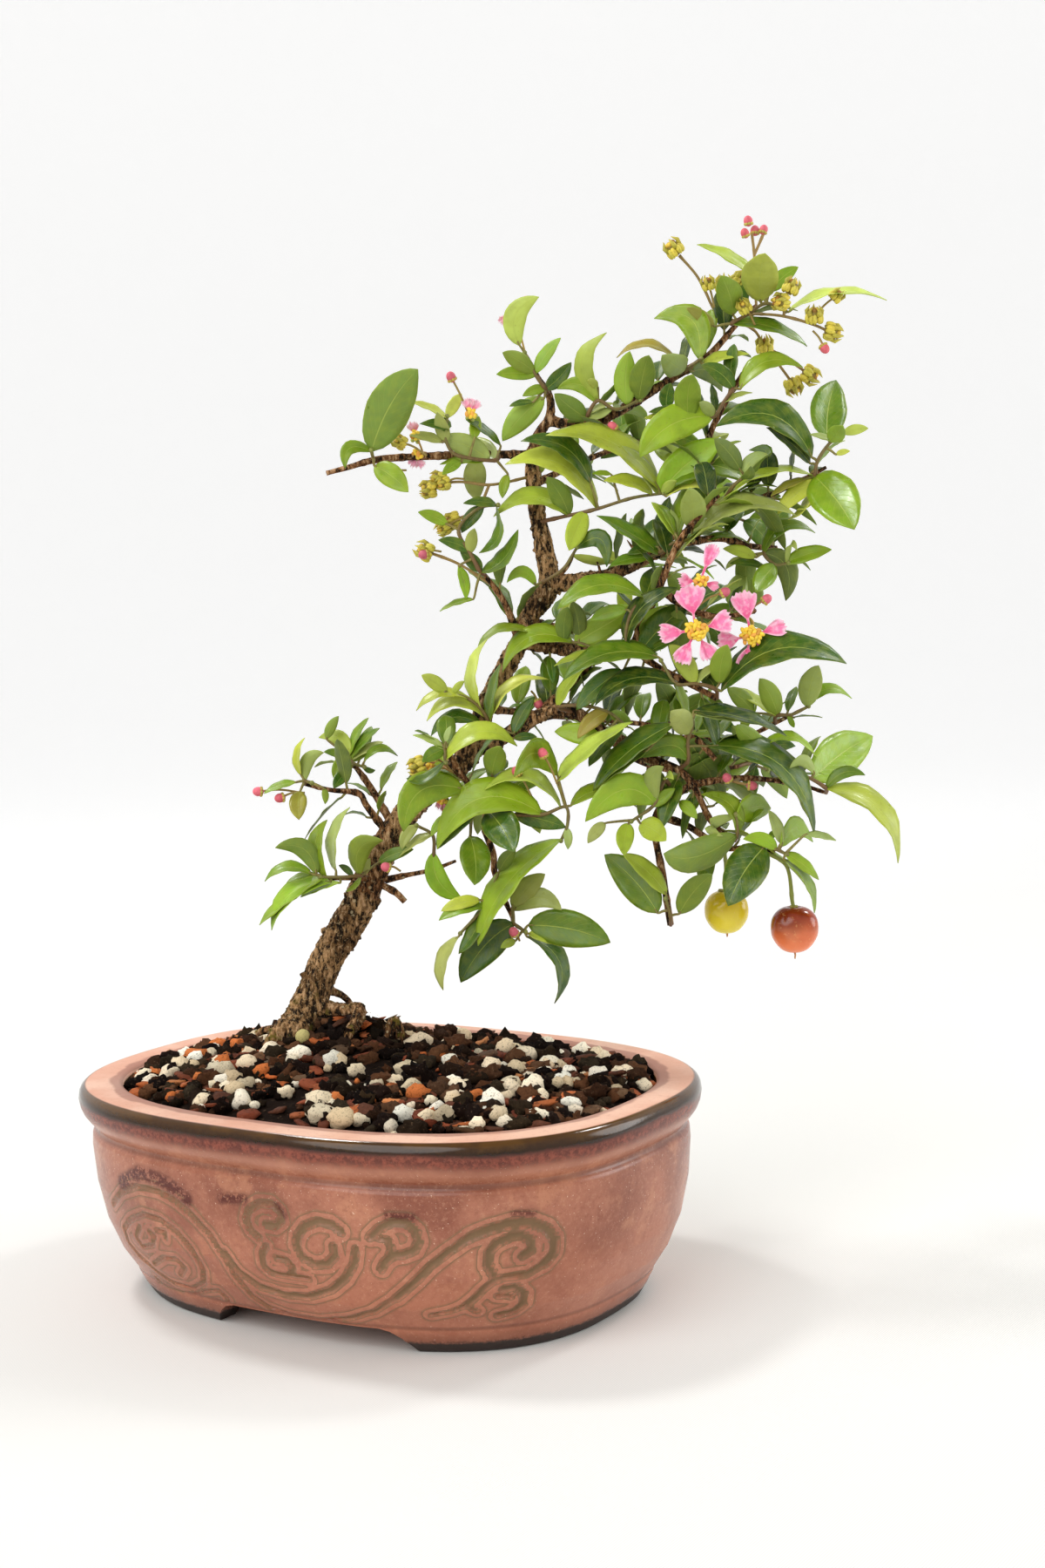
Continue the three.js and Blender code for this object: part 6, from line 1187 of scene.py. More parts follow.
def distance_to(points, segments):
    """Distance of each point from the nearest of the short lines, less the line's half width."""
    best = np.full(len(points), 1e3)
    for a, b, half in zip(*segments):
        near = np.nonzero(np.abs(points - a).max(axis=1) < 9)[0]
        if not len(near):
            continue
        run = b - a
        t = np.clip((points[near] - a) @ run / max(run @ run, 1e-9), 0, 1)
        gap = np.linalg.norm(points[near] - a - t[:, None] * run, axis=1)
        best[near] = np.minimum(best[near], gap - half)
    return best


def smooth_step(value, low, high):
    t = np.clip((value - low) / (high - low), 0, 1)
    return t * t * (3 - 2 * t)


def cutter(points, faces):
    """Object that is taken away from the pot."""
    return new_object("cutter", new_mesh("cutter", [[v * MM for v in p] for p in points], faces))


def prism(outline, low, high, axis):
    """Bar with an outline across the axis ('y' or 'z') from low to high."""
    points = [(u, w, v) if axis == "y" else (u, v, w) for w in (low, high) for u, v in outline]
    return points, turned(ring_faces(2, len(outline)), axis == "y")


def pot_surface(ornament):
    """Skin of the pot before its openings are cut, with the ornament pressed in and hand-made waves."""
    outer = []
    for (h0, i0), (h1, i1) in zip(OUTSIDE, OUTSIDE[1:]):
        steps = max(1, round(math.hypot(h1 - h0, i1 - i0) / FACE_STEP))
        outer += [(h0 + (h1 - h0) * k / steps, i0 + (i1 - i0) * k / steps) for k in range(steps)]
    outer = [*FOOT, *outer, OUTSIDE[-1]]
    rings = UNDERSIDE + outer + INSIDE
    corner = np.array([oval(0, t) for t in even_turns(POT_STEPS)]) / [RIM_HALF_LENGTH, RIM_HALF_WIDTH]
    points = []
    for height, inset in rings:
        half = np.maximum([RIM_HALF_LENGTH - inset, RIM_HALF_WIDTH - inset], 0.5)
        points.append(np.column_stack([corner * half, np.full(POT_STEPS, height)]))
    points = np.concatenate(points)

    outer_side = np.zeros(len(points), bool)
    outer_side[len(UNDERSIDE) * POT_STEPS:(len(UNDERSIDE) + len(outer)) * POT_STEPS] = True
    chosen = np.nonzero(outer_side & (points[:, 2] > 9) & (points[:, 2] < 56))[0]
    gap = distance_to(points[chosen], ornament) + GROOVE_TRIM
    depth = -GROOVE_DEPTH * (1 - smooth_step(gap, -0.75, 0.15)) + 0.16 * np.exp(-((gap - 0.75) / 0.6) ** 2)
    push_out(points, chosen, depth)
    waves = np.array([noise.noise(Vector(p) * 0.045) for p in points[outer_side]])
    push_out(points, outer_side, waves * 0.22)
    return points, ring_faces(len(rings), POT_STEPS)


def push_out(points, chosen, amount):
    """Moves the chosen points away from the pot's middle line."""
    outward = points[chosen, :2] / np.linalg.norm(points[chosen, :2], axis=1)[:, None]
    points[chosen, :2] += outward * amount[:, None]


def cut_openings(pot):
    """Cuts the arches between the feet and the drainage holes."""
    right = [(ARCH_BASE_HALF, -2), (ARCH_BASE_HALF, 0), (ARCH_BASE_HALF - 1.2, 2.2),
             (ARCH_BASE_HALF - 3.6, 5), (ARCH_TOP_HALF + 1.4, 7.2), (ARCH_TOP_HALF - 2, 8)]
    left = [(-u, v) for u, v in reversed(right)]
    arch = [(ARCH_CENTRE + u, v) for u, v in [left[-1], *right, *left[:-1]]]
    cutters = [cutter(*prism(arch, -90, 90, "y"))]
    for middle in (-DRAIN_OFFSET, DRAIN_OFFSET):
        hole = [(middle + DRAIN_RADIUS * math.cos(turn), DRAIN_RADIUS * math.sin(turn))
                for turn in all_round(HOLE_SIDES)]
        cutters.append(cutter(*prism(hole, 4, 20, "z")))
    for tool in cutters:
        step = pot.modifiers.new("cut", "BOOLEAN")
        step.operation, step.solver, step.object = "DIFFERENCE", "MANIFOLD", tool
    cut = apply_modifiers(pot)
    for tool in cutters:
        bpy.data.objects.remove(tool)
    return cut


def make_pot():
    ornament, smudges = ornament_segments(ORNAMENT), ornament_segments(SMUDGES)
    points, faces = pot_surface(ornament)
    pot = new_object("pot_glazed", new_mesh("pot_glazed", (points * MM).tolist(), faces))
    cut = cut_openings(pot)
    places = vertex_places(cut)
    radial = squareness_sum(places[:, 0], places[:, 1], 0)
    outside = (places[:, 2] > 8.2) & (places[:, 2] < 69.5) & (radial > 0.58)
    groove, smudge = np.zeros(len(places)), np.zeros(len(places))
    gap = distance_to(places[outside], ornament) + GROOVE_TRIM
    groove[outside] = 1 - smooth_step(gap, -0.5, 0.15) + 2 * np.exp(-((gap - 1.1) / 0.9) ** 2) * (gap > 0.15)
    smudge[outside] = 1 - smooth_step(distance_to(places[outside], smudges), -0.6, 1.6)
    climb = np.where(places[:, 2] > 68.4, (1 - radial ** (1 / SQUARENESS)) * 92, 0)
    set_vectors(cut, "note", np.column_stack([groove, smudge, (places[:, 2] + climb) / 10]))
    settle(cut, places, glaze_paint())
    cut.set_sharp_from_angle(angle=math.radians(50))
    carry(pot, ["pot"])


def make_screens():
    paint = screen_paint()
    for name, sign in (("left", -1), ("right", 1)):
        build = Build()
        middle = Vector((sign * DRAIN_OFFSET, 0, 0))
        low, high = STRAND_HEIGHTS
        for strand in range(STRANDS):
            offset = (strand - (STRANDS - 1) / 2) * STRAND_GAP
            for ends in (((-SCREEN_HALF, offset, low), (SCREEN_HALF, offset, low)),
                         ((offset, -SCREEN_HALF, high), (offset, SCREEN_HALF, high))):
                start, end = (middle + Vector(v) for v in ends)
                route = [start.lerp(end, k / 12) for k in range(13)]
                build.add(*sweep(route, [STRAND_RADIUS] * 13, 8))
        build.piece("screen_mesh_" + name, [paint], "screen", ["drainage_screen_" + name])


# Soil

def mound_height(x, y):
    """Height of the potting mix at a place in the pot."""
    insets = (share * 1.35 for share in range(1, 60))
    reach = next((inset for inset in insets if squareness_sum(x, y, inset) > 1), RIM_HALF_WIDTH)
    rise = float(np.interp(reach, *MOUND_PROFILE))
    crown = MOUND_RISE * math.exp(-((x - MOUND_TOP[0]) ** 2 + (y - MOUND_TOP[1]) ** 2) / MOUND_SPREAD)
    ball = 6.5 * math.exp(-((x - ROOT_BALL.x) ** 2 + (y - ROOT_BALL.y) ** 2) / 110)
    return rise + crown + ball + 0.9 * noise.noise(Vector((x, y, 0)) * 0.09)


def make_soil():
    """Bed of fine soil with crumbs, pumice and bark chips strewn over it, and the fertiliser ball."""
    bed = Build()
    turns = even_turns(SOIL_SIDES)
    rows = [(17.0, 60.0), (17.0, 20.0), (24.0, 15.9), (50.0, 15.3), (63.6, SOIL_EDGE)]
    rows += [(None, SOIL_EDGE + 1.6 * k) for k in range(40)]
    points = []
    for height, inset in rows:
        for turn in turns:
            x, y = oval(inset, turn)
            z = height
            if z is None:
                z = mound_height(x, y) - 0.5 + 0.5 * noise.noise(Vector((x, y, 9)) * 0.5)
            points.append(Vector((x, y, z)))
    bed.add(points, ring_faces(len(rows), SOIL_SIDES), tint=linear((26, 17, 12)))
    bed.piece("soil_bed", [grain_paint("soil_fines", 0.95, 520, 0.7)], "soil", ["potting_mix"])

    builds = {name: Build() for name in ("crumbs", "stones", "chips")}
    for _ in range(CRUMBS):
        size = 1.3 + 2.7 * LOOKS.random() ** 2
        stretch = (1 + 0.4 * LOOKS.random(), 0.75 + 0.35 * LOOKS.random(), 0.7 + 0.3 * LOOKS.random())
        scatter(builds["crumbs"], size, stretch, CRUMB_COLOURS, 0.75, 0.6)
    for _ in range(STONES):
        size = 1.1 + 2.5 * LOOKS.random() ** 1.5
        stretch = (1 + 0.5 * LOOKS.random(), 0.8 + 0.25 * LOOKS.random(), 0.8 + 0.2 * LOOKS.random())
        scatter(builds["stones"], size, stretch, STONE_COLOURS, 0.36, 0.95)
    for _ in range(CHIPS):
        size = 1.4 + 2.3 * LOOKS.random()
        stretch = LONG_CHIP
        if LOOKS.random() >= 0.18:
            stretch = (1.2 + 0.5 * LOOKS.random(), 0.85, 0.22 + 0.2 * LOOKS.random())
        scatter(builds["chips"], size, stretch, CHIP_COLOURS, 0.3, 0.85)
    for _ in range(MOUND_CRUMBS):
        stretch = (1 + 0.5 * LOOKS.random(), 0.75 + 0.3 * LOOKS.random(), 0.6 + 0.3 * LOOKS.random())
        scatter(builds["crumbs"], 1.1 + 1.7 * LOOKS.random(), stretch, CRUMB_COLOURS, 0.7, 0.6, 30)
    for _ in range(MOUND_CRUMBS // 4):
        scatter(builds["chips"], 1.3 + 1.9 * LOOKS.random(), (1.5, 0.85, 0.3), CHIP_COLOURS, 0.3, 0.9, 30)
    ball = seen(*PALE_BALL)
    ball.z = max(ball.z, mound_height(ball.x, ball.y) + 1.6)
    points, faces = blob(ball, 2.6, 16, 24, lambda way: 1 + 0.03 * noise.noise(way * 2))
    builds["stones"].add(points, faces, tint=linear((190, 178, 118)))
    paints = {
        "crumbs": grain_paint("dark_crumbs", 0.95, 900, 0.7), "stones": grain_paint("pumice", 0.9, 1300, 0.3),
        "chips": grain_paint("bark_chips", 0.75, 700, 0.25, 0.15),
    }
    for name, build in builds.items():
        build.piece("soil_" + name, [paints[name]], "soil", ["potting_mix"])


def scatter(build, size, stretch, colours, rough, lift, reach=None):
    """One loose grain somewhere on the potting mix, or within reach of the mound's top."""
    turn, share = 2 * math.pi * LOOKS.random(), math.sqrt(LOOKS.random())
    x, y = oval(15.6 + size * 0.5 + 65 * (1 - share), turn)
    if reach:
        x = MOUND_TOP[0] + 1.2 * reach * share * math.cos(turn)
        y = MOUND_TOP[1] + reach * share * math.sin(turn)
    spin = Matrix.Rotation(2 * math.pi * LOOKS.random(), 3, "Z")
    spin @= Matrix.Rotation(0.8 * (LOOKS.random() - 0.5), 3, "X")
    spin @= Matrix.Rotation(0.6 * (LOOKS.random() - 0.5), 3, "Y")
    key = Vector((LOOKS.random() * 50, LOOKS.random() * 50, LOOKS.random() * 50))
    colour = linear(colours[int(len(colours) * LOOKS.random())])
    if math.hypot(x - TRUNK_FOOT.x, y - TRUNK_FOOT.y) < TRUNK_GAP + size / 2:
        return
    if colours is STONE_COLOURS and math.hypot(x - MOUND_TOP[0], y - MOUND_TOP[1]) < BARE_RADIUS:
        return

    def shape(way):
        square = 1.0
        if colours is CHIP_COLOURS:
            square = (abs(way.x) ** 5 + abs(way.y) ** 5 + abs(way.z) ** 5) ** -0.2
        pits = noise.noise(way * 1.5 + key) + 0.6 * noise.noise(way * 3.7 + key)
        return square * (1 + rough * pits)

    rings = 6 if size < 2.2 else 8
    points, faces = blob(Vector((0, 0, 0)), size, rings, rings + 4, shape)
    centre = Vector((x, y, mound_height(x, y) + size * stretch[2] * (lift - 0.35)))
    points = [centre + spin @ Vector([v * s for v, s in zip(p, stretch)]) for p in points]
    build.add(points, faces, tint=varied(colour, 0.1 if colours is STONE_COLOURS else 0.26))


# Wood

def furrows(turn, run):
    """Old wood has slow ridges along it."""
    return 1 + 0.05 * math.sin(3 * turn + run * 0.13) + 0.03 * math.sin(5 * turn - run * 0.21)


def knots(turn, run):
    """Twigs swell a little at each node."""
    return 1 + 0.2 * math.exp(-((run % 13.0 - 6.5) / 0.9) ** 2) + 0.05 * math.sin(2 * turn + run * 0.4)


def wood_route(rows, step):
    """Middles and radii along a piece of wood."""
    centres, place = spline([seen(*row[:3]) for row in rows], step)
    return centres, np.interp(place, range(len(rows)), [row[3] for row in rows])


def wood_age(radius):
    """0 for a smooth young twig and 1 for old furrowed wood."""
    return min(1.0, max(0.0, (radius - YOUNG_RADIUS) / AGEING_SPAN))


def wood_sweep(build, rows, sides, step, wobble, age, scale=1.0):
    centres, radii = wood_route(rows, step)
    radii = radii * scale
    points, faces = sweep(centres, radii, sides, wobble)
    notes = []
    for k, p in enumerate(points):
        old = wood_age(radii[k // sides]) if age is None else age
        notes.append((old, max(0.0, (p.z - RIM_HEIGHT) / MOSS_REACH), 0))
    build.add(points, faces, note=notes)


def join_boughs():
    """Trunk, roots and boughs grown together into one skin."""
    thick = Build()
    boughs = [[row for row in rows if row[3] >= BOUGH_RADIUS] for rows in BRANCHES.values()]
    for group, sides in (([TRUNK], 28), (ROOTS.values(), 20), (ROOTLETS, 12), (boughs, 14)):
        for rows in group:
            if len(rows) > 1:
                wood_sweep(thick, rows, sides, 1.0, furrows, 1.0)
    parts = new_mesh("trunk_and_boughs", [p * MM for p in thick.points], thick.faces)
    trunk = new_object("trunk_and_boughs", parts)
    remesh = trunk.modifiers.new("join", "REMESH")
    remesh.mode, remesh.voxel_size, remesh.adaptivity = "VOXEL", VOXEL * MM, 0
    return trunk, apply_modifiers(trunk)


def carve_bark(whole, paint):
    """Furrows, lumps and scabs, deeper the thicker the wood is."""
    places, normals = vertex_places(whole), np.zeros(len(whole.vertices) * 3)
    whole.vertex_normals.foreach_get("vector", normals)
    normals = normals.reshape(-1, 3)
    spots = []
    for rows in [TRUNK, *ROOTS.values(), *ROOTLETS, *BRANCHES.values()]:
        spots += list(zip(*wood_route(rows, 1.0)))
    axis = kdtree.KDTree(len(spots))
    for i, (spot, _) in enumerate(spots):
        axis.insert(spot, i)
    axis.balance()
    ages = []
    for i, p in enumerate(places):
        spot = Vector(p)
        age = wood_age(spots[axis.find(spot)[1]][1])
        long = Vector((spot.x, spot.y, spot.z * 0.4))
        ridge = abs(noise.noise(long * 0.5)) + 0.5 * abs(noise.noise(long * 1.15))
        lump = noise.noise(spot * 0.14)
        scab = max(0.0, noise.noise(spot * 0.42) - 0.42)
        grit = noise.noise(spot * 1.1) + 0.6 * noise.noise(spot * 2.3)
        relief = 0.4 - 2.1 * max(0.0, 0.38 - ridge) + 0.8 * lump + 3.2 * scab + 0.28 * grit
        places[i] += normals[i] * (age * relief - 0.1)
        ages.append(age)
    rise = np.maximum(0, (places[:, 2] - RIM_HEIGHT) / MOSS_REACH)
    set_vectors(whole, "note", np.column_stack([ages, rise, np.zeros(len(ages))]))
    settle(whole, places, paint)


def make_wood():
    paint = bark_paint()
    trunk, whole = join_boughs()
    carve_bark(whole, paint)
    carry(trunk, ["trunk_and_branches"])
    thin = Build()
    for rows in BRANCHES.values():
        wood_sweep(thin, rows, 12, 1.3, knots, None, 0.9 if rows[0][3] > BOUGH_RADIUS else 1.0)
    for across, up, near, to_across, to_up, radius in SPURS:
        bend = ((across + to_across) / 2 + 0.4, (up + to_up) / 2, near + 1, radius * 0.7)
        rows = [(across, up, near, radius), bend, (to_across, to_up, near + 2, 0.15)]
        wood_sweep(thin, rows, 8, 0.8, knots, 0.3)
    thin.piece("branches", [paint], "bark", ["trunk_and_branches"])


# Shoots

def nearest_on_stem(stem, across, up):
    """Place on a stem's sight lines that looks nearest to a point."""
    best, least = stem[-1], 1e9
    for a, b in zip(stem[1:], stem[2:]):
        run = (b[0] - a[0], b[1] - a[1])
        t = ((across - a[0]) * run[0] + (up - a[1]) * run[1]) / (run[0] ** 2 + run[1] ** 2)
        t = min(1.0, max(0.0, t))
        spot = [v + (w - v) * t for v, w in zip(a, b)]
        gap = math.hypot(across - spot[0], up - spot[1])
        if gap < least:
            least, best = gap, spot
    return best


def add_leaf(build, stem, base_across, base_up, tip_across, tip_up, width, arch, tone, to_viewer=0):
    """Leaf from its base, tip and width as seen; what doesn't show of its length turns it in depth."""
    joint = nearest_on_stem(stem, base_across, base_up)
    run = (tip_across - base_across, tip_up - base_up)
    seen_length = math.hypot(*run)
    length = max(seen_length, LEAF_RATIO * width)
    swing = draw()
    depth = math.sqrt(max(0.0, length ** 2 - seen_length ** 2)) + 0.16 * length * swing
    lean = depth if draw() < TOWARDS_VIEWER or to_viewer else -depth
    near = joint[2] + 1.5 * (draw() - 0.5)
    side = 1 if run[0] > 0 else -1
    rise = (-side * run[1] / seen_length, side * run[0] / seen_length)
    bow = arch or 0.06 * seen_length
    middle = seen(base_across + run[0] / 2 + rise[0] * bow,
                  base_up + run[1] / 2 + rise[1] * bow, near + lean / 2)
    blade = max(width, length / 2.8)
    face = width / blade
    joint = seen(*joint)
    tip = seen(tip_across, tip_up, near + lean)
    base = seen(base_across, base_up, near)
    stalk = base - joint
    stalked = stalk.length > SHORTEST_STALK and stalk.dot(middle - base) > 0
    if not stalked:
        base = joint
    pull = middle * 2 - (base + tip) / 2
    sideways = RIGHT * rise[0] * face + UP * rise[1] * face + FORWARD * math.sqrt(max(0.0, 1 - face ** 2))
    add_blade(build, joint, base, pull, tip, sideways, blade, tone)


def add_blade(build, joint, base, pull, tip, sideways, blade, tone):
    """Leaf with its stalk from the joint: base, tip and the pull of the curve between them."""
    seed = [LOOKS.random() for _ in range(6)]
    # The tint takes the painted light and shade of the leaf's shade number
    tint = [c * (0.88 + 0.24 * seed[0]) for c in linear(LEAF_TONES_WITH_LIGHT_AND_SHADE[int(tone)])]
    tint = (tint[0] * (0.9 + 0.2 * seed[1]), tint[1], tint[2] * (0.85 + 0.3 * seed[2]))
    twist = 0.5 * (seed[3] - 0.5)
    curl = 0.05 + 0.07 * seed[4]
    notes, upper, lower = [], [], []
    top = face_side(base, tip, sideways)
    for k in range(LEAF_ALONG + 1):
        t = k / LEAF_ALONG
        t = t * t * (3 - 2 * t) * 0.35 + t * 0.65
        spot = base * (1 - t) ** 2 + pull * 2 * t * (1 - t) + tip * t * t
        along = ((pull - base) * (1 - t) + (tip - pull) * t).normalized()
        across = (sideways - along * sideways.dot(along)).normalized()
        normal = along.cross(across)
        lean_turn = twist * (t - 0.3)
        across, normal = (across * math.cos(lean_turn) + normal * math.sin(lean_turn),
                          normal * math.cos(lean_turn) - across * math.sin(lean_turn))
        share = t ** 0.62 * (1 - t) ** 0.8 / 0.378
        half = max(0.34 - 0.26 * t, blade / 2 * share)
        for i in range(LEAF_ACROSS + 1):
            v = -1 + 2 * i / LEAF_ACROSS
            wave = 0.035 * blade * share * math.sin(t * 17 + 6 * seed[5] + v) * v * v
            fold = LEAF_FOLD * blade * share * abs(v) ** 1.25
            droop = curl * blade * share * (abs(v) ** 3) * 0.5
            lift = top * (fold - droop) + wave
            thick = LEAF_THICKNESS / 2 * (1 - 0.75 * v ** 4)
            mid = spot + across * half * v + normal * lift
            upper.append(mid + normal * top * thick)
            lower.append(mid - normal * top * thick)
            notes.append((v, t, 0))
    faces = turned(sheet_faces(LEAF_ALONG, LEAF_ACROSS), top > 0)
    notes = notes + [(v, t, 1) for v, t, _ in notes]
    build.add(upper + lower, faces, slot=0, tint=tint, note=notes)
    if (base - joint).length > 0.1:
        halfway = joint.lerp(base, 0.5) + Vector((0, 0, 0.15))
        route, _ = spline([joint, halfway, base, base.lerp(pull, 0.12)], 0.8)
        radii = np.linspace(STALK_RADIUS * 1.25, STALK_RADIUS * 0.8, len(route))
        build.bar(route, radii, 8, (136, 128, 60), 0.12, slot=1)


def face_side(base, tip, sideways):
    """1 where the blade's normal points up at its middle, and -1 where it points down."""
    along = tip - base
    across = sideways - along * sideways.dot(along) / along.length_squared
    return 1.0 if along.cross(across).z >= 0 else -1.0


def add_small_leaves(build, rows, spacing):
    """Pairs of small leaves along a branch, mostly on its far side."""
    centres, radii = wood_route(rows, 1.0)
    run = spacing * LOOKS.random()
    for k in range(2, len(centres) - 2):
        run += (centres[k] - centres[k - 1]).length
        if run < spacing or radii[k] > THICKEST_WITH_LEAVES:
            continue
        run = 0.0
        along = (centres[k + 1] - centres[k - 1]).normalized()
        first = 2 * math.pi * LOOKS.random()
        side = along.cross(FORWARD).normalized()
        deep = side.cross(along)
        for half_turn in (0, math.pi):
            turn = first + half_turn
            out = side * math.cos(turn) + deep * math.sin(turn)
            if out.dot(FORWARD) < -0.35:
                out = out + FORWARD * 0.9
            length = 9 + 11 * LOOKS.random()
            way = (out + along * (0.3 + 0.7 * LOOKS.random()) + Vector((0, 0, 0.35))).normalized()
            joint = centres[k]
            base = joint + way * (1.8 + radii[k])
            tip = base + (way - Vector((0, 0, 0.25 * LOOKS.random()))) * length
            pull = (base + tip) / 2 + Vector((0, 0, (0.1 + 0.22 * LOOKS.random()) * length))
            level = Vector((0, 0, 1)).cross(way)
            sideways = (level.normalized() + Vector((0, 0, 0.8 * (LOOKS.random() - 0.5)))).normalized()
            tone = INNER_TONES[int(len(INNER_TONES) * LOOKS.random())]
            add_blade(build, joint, base, pull, tip, sideways, length / (2.1 + 0.5 * LOOKS.random()), tone)


def make_small_leaves(paints):
    for name, routes in INNER_LEAVES.items():
        build = Build()
        for route, spacing in routes.items():
            add_small_leaves(build, BRANCHES[route], spacing)
        build.piece("small_leaves_" + name, paints, "leaf", [])


def make_shoots():
    leaf, twig = leaf_paint(), twig_paint()
    for shoot in SHOOTS.split(";"):
        name, stem, leaves = shoot.split(":")
        name, stem = name.strip(), read_rows(stem)
        build = Build()
        centres, _ = spline([seen(*row) for row in stem], 0.9)
        radii = np.linspace(TWIG_RADIUS, TWIG_TIP, len(centres))
        points, faces = sweep(centres, radii, TWIG_SIDES, knots)
        young, old = linear((118, 118, 52)), linear((120, 76, 50))
        tints = []
        for k in range(len(centres)):
            tints += [tuple(o + (y - o) * k / len(centres) for o, y in zip(old, young))] * TWIG_SIDES
        build.add(points, faces, slot=1, tint=tints)
        for row in read_rows(leaves):
            add_leaf(build, stem, *row)
        tip = centres[-1]
        bud = tip + (tip - centres[-3]).normalized() * 0.6
        build.ball(bud, 0.85, (140, 150, 70), slot=1)
        build.piece("leaves_" + name, [leaf, twig], "leaf", ["shoot_" + name])
    make_small_leaves([leaf, twig])


# Flowers, sprays and fruit

def stalk(build, rows, radius, colour, slot):
    """Jointed stalk along rows of sight-line places."""
    centres, _ = spline([seen(*row) for row in rows], 0.8)
    build.bar(centres, [radius] * len(centres), TWIG_SIDES, colour, 0.1, slot, knots)


def arched_stalk(build, root, end, rise, radius, colour, slot):
    """Thin stalk that arches up a little between its ends."""
    route, _ = spline([root, root.lerp(end, 0.5) + Vector((0, 0, rise)), end], 0.8)
    build.bar(route, [radius] * len(route), 7, colour, 0.1, slot)


def add_petal(build, middle, edge):
    """Narrow claw that opens to a round, crinkled blade with a fringed edge."""
    start = seen(*middle)
    end = seen(edge[0], edge[1], middle[2] + 1.5)
    width = edge[2]
    along = end - start
    reach = along.length
    along.normalize()
    across = FORWARD.cross(along).normalized()
    normal = along.cross(across)
    if normal.dot(FORWARD) > 0:
        normal = -normal
    key = LOOKS.random() * 40
    front, back, notes = [], [], []
    for k in range(PETAL_ALONG + 1):
        t = k / PETAL_ALONG
        claw = PETAL_CLAW * reach
        limb = max(0.0, (t * reach - claw) / (reach - claw))
        half = 0.42 + (width / 2 - 0.3) * (1 - (1 - limb) ** 2.2)
        for i in range(PETAL_ACROSS + 1):
            v = -1 + 2 * i / PETAL_ACROSS
            rounding = limb ** 2 * 0.2 * width * v * v
            fringe = limb ** 3 * (0.34 * math.sin(v * 19 + key) + 0.8 * noise.noise(Vector((v * 4, key, 0))))
            folds = 1.3 * noise.noise(Vector((v * 2.6, t * 4, key)))
            crinkle = limb * (folds + 0.5 * math.sin(v * 8 + key) * limb)
            cup = -0.9 * limb * (1 - limb) + 0.9 * limb * v * v
            spot = start + along * (t * reach - rounding + fringe) + across * half * v
            spot += normal * (crinkle + cup + 1.1)
            front.append(spot + normal * PETAL_HALF_THICKNESS)
            back.append(spot - normal * PETAL_HALF_THICKNESS)
            notes.append((limb, abs(v), 0))
    faces = turned(sheet_faces(PETAL_ALONG, PETAL_ACROSS), across.cross(along).dot(normal) < 0)
    build.add(front + back, faces, slot=0, note=notes + notes)


def add_flower(build, middle, stamens, spread):
    """Ovary, sepals with their glands, and a cluster of stamens turned to the viewer."""
    build.ball(middle, 1.5, (164, 180, 80), slot=1, rings=8, sides=12)
    for i in range(stamens):
        turn = 2.4 * i
        reach = spread * math.sqrt((i + 0.5) / stamens)
        way = RIGHT * math.cos(turn) + UP * math.sin(turn) * 0.85
        root = middle - FORWARD * 0.8 + way * 0.5
        head = middle - FORWARD * (3.4 - 0.28 * reach + 0.5 * LOOKS.random()) + way * reach
        build.bar([root, root.lerp(head, 0.5), head], [0.18, 0.15, 0.13], 6, (242, 164, 150), slot=1)
        key = 6 * LOOKS.random()
        long = RIGHT * math.cos(key) + UP * math.sin(key)
        pollen = (250, 212, 66) if i % 4 else (236, 170, 70)
        build.ball(head, 0.72, pollen, 0.14, slot=1, axis=long, stretch=0.5)
    for way in around(5, RIGHT, UP):
        build.ball(middle + FORWARD * 0.9 + way * 1.5, 0.8, (176, 184, 88), 0.1, slot=1)


def make_flowers():
    petal = petal_paint("petal", (240, 92, 148), (252, 128, 180), (255, 214, 228))
    pale = petal_paint("pale_petal", (244, 132, 170), (252, 178, 204), (255, 226, 234))
    knob = knob_paint("flower_parts", 0.5, 900, 0.2)
    for name, row in FLOWERS.items():
        build = Build()
        for edge in row["petals"]:
            add_petal(build, row["middle"], edge)
        stalk(build, [*row["stalk"], row["middle"]], 0.5, (196, 160, 72), 1)
        add_flower(build, seen(*row["middle"]), *row["stamens"])
        build.piece("flower_" + name + "_petals", [petal, knob], "petal", ["flower_" + name])
    build = Build()
    for row in PALE_FLOWERS:
        for edge in row["petals"]:
            add_petal(build, row["middle"], edge)
        middle = seen(*row["middle"])
        arched_stalk(build, seen(*row["stalk"]), middle, 0.6, 0.36, (186, 150, 72), 1)
        add_flower(build, middle, 7, 1.7)
    build.piece("pale_flowers", [pale, knob], "petal", [])


def facing(axis):
    """Two directions square to an axis."""
    side = axis.cross(Vector((0.3, 0.2, 1))).normalized()
    return side, axis.cross(side)


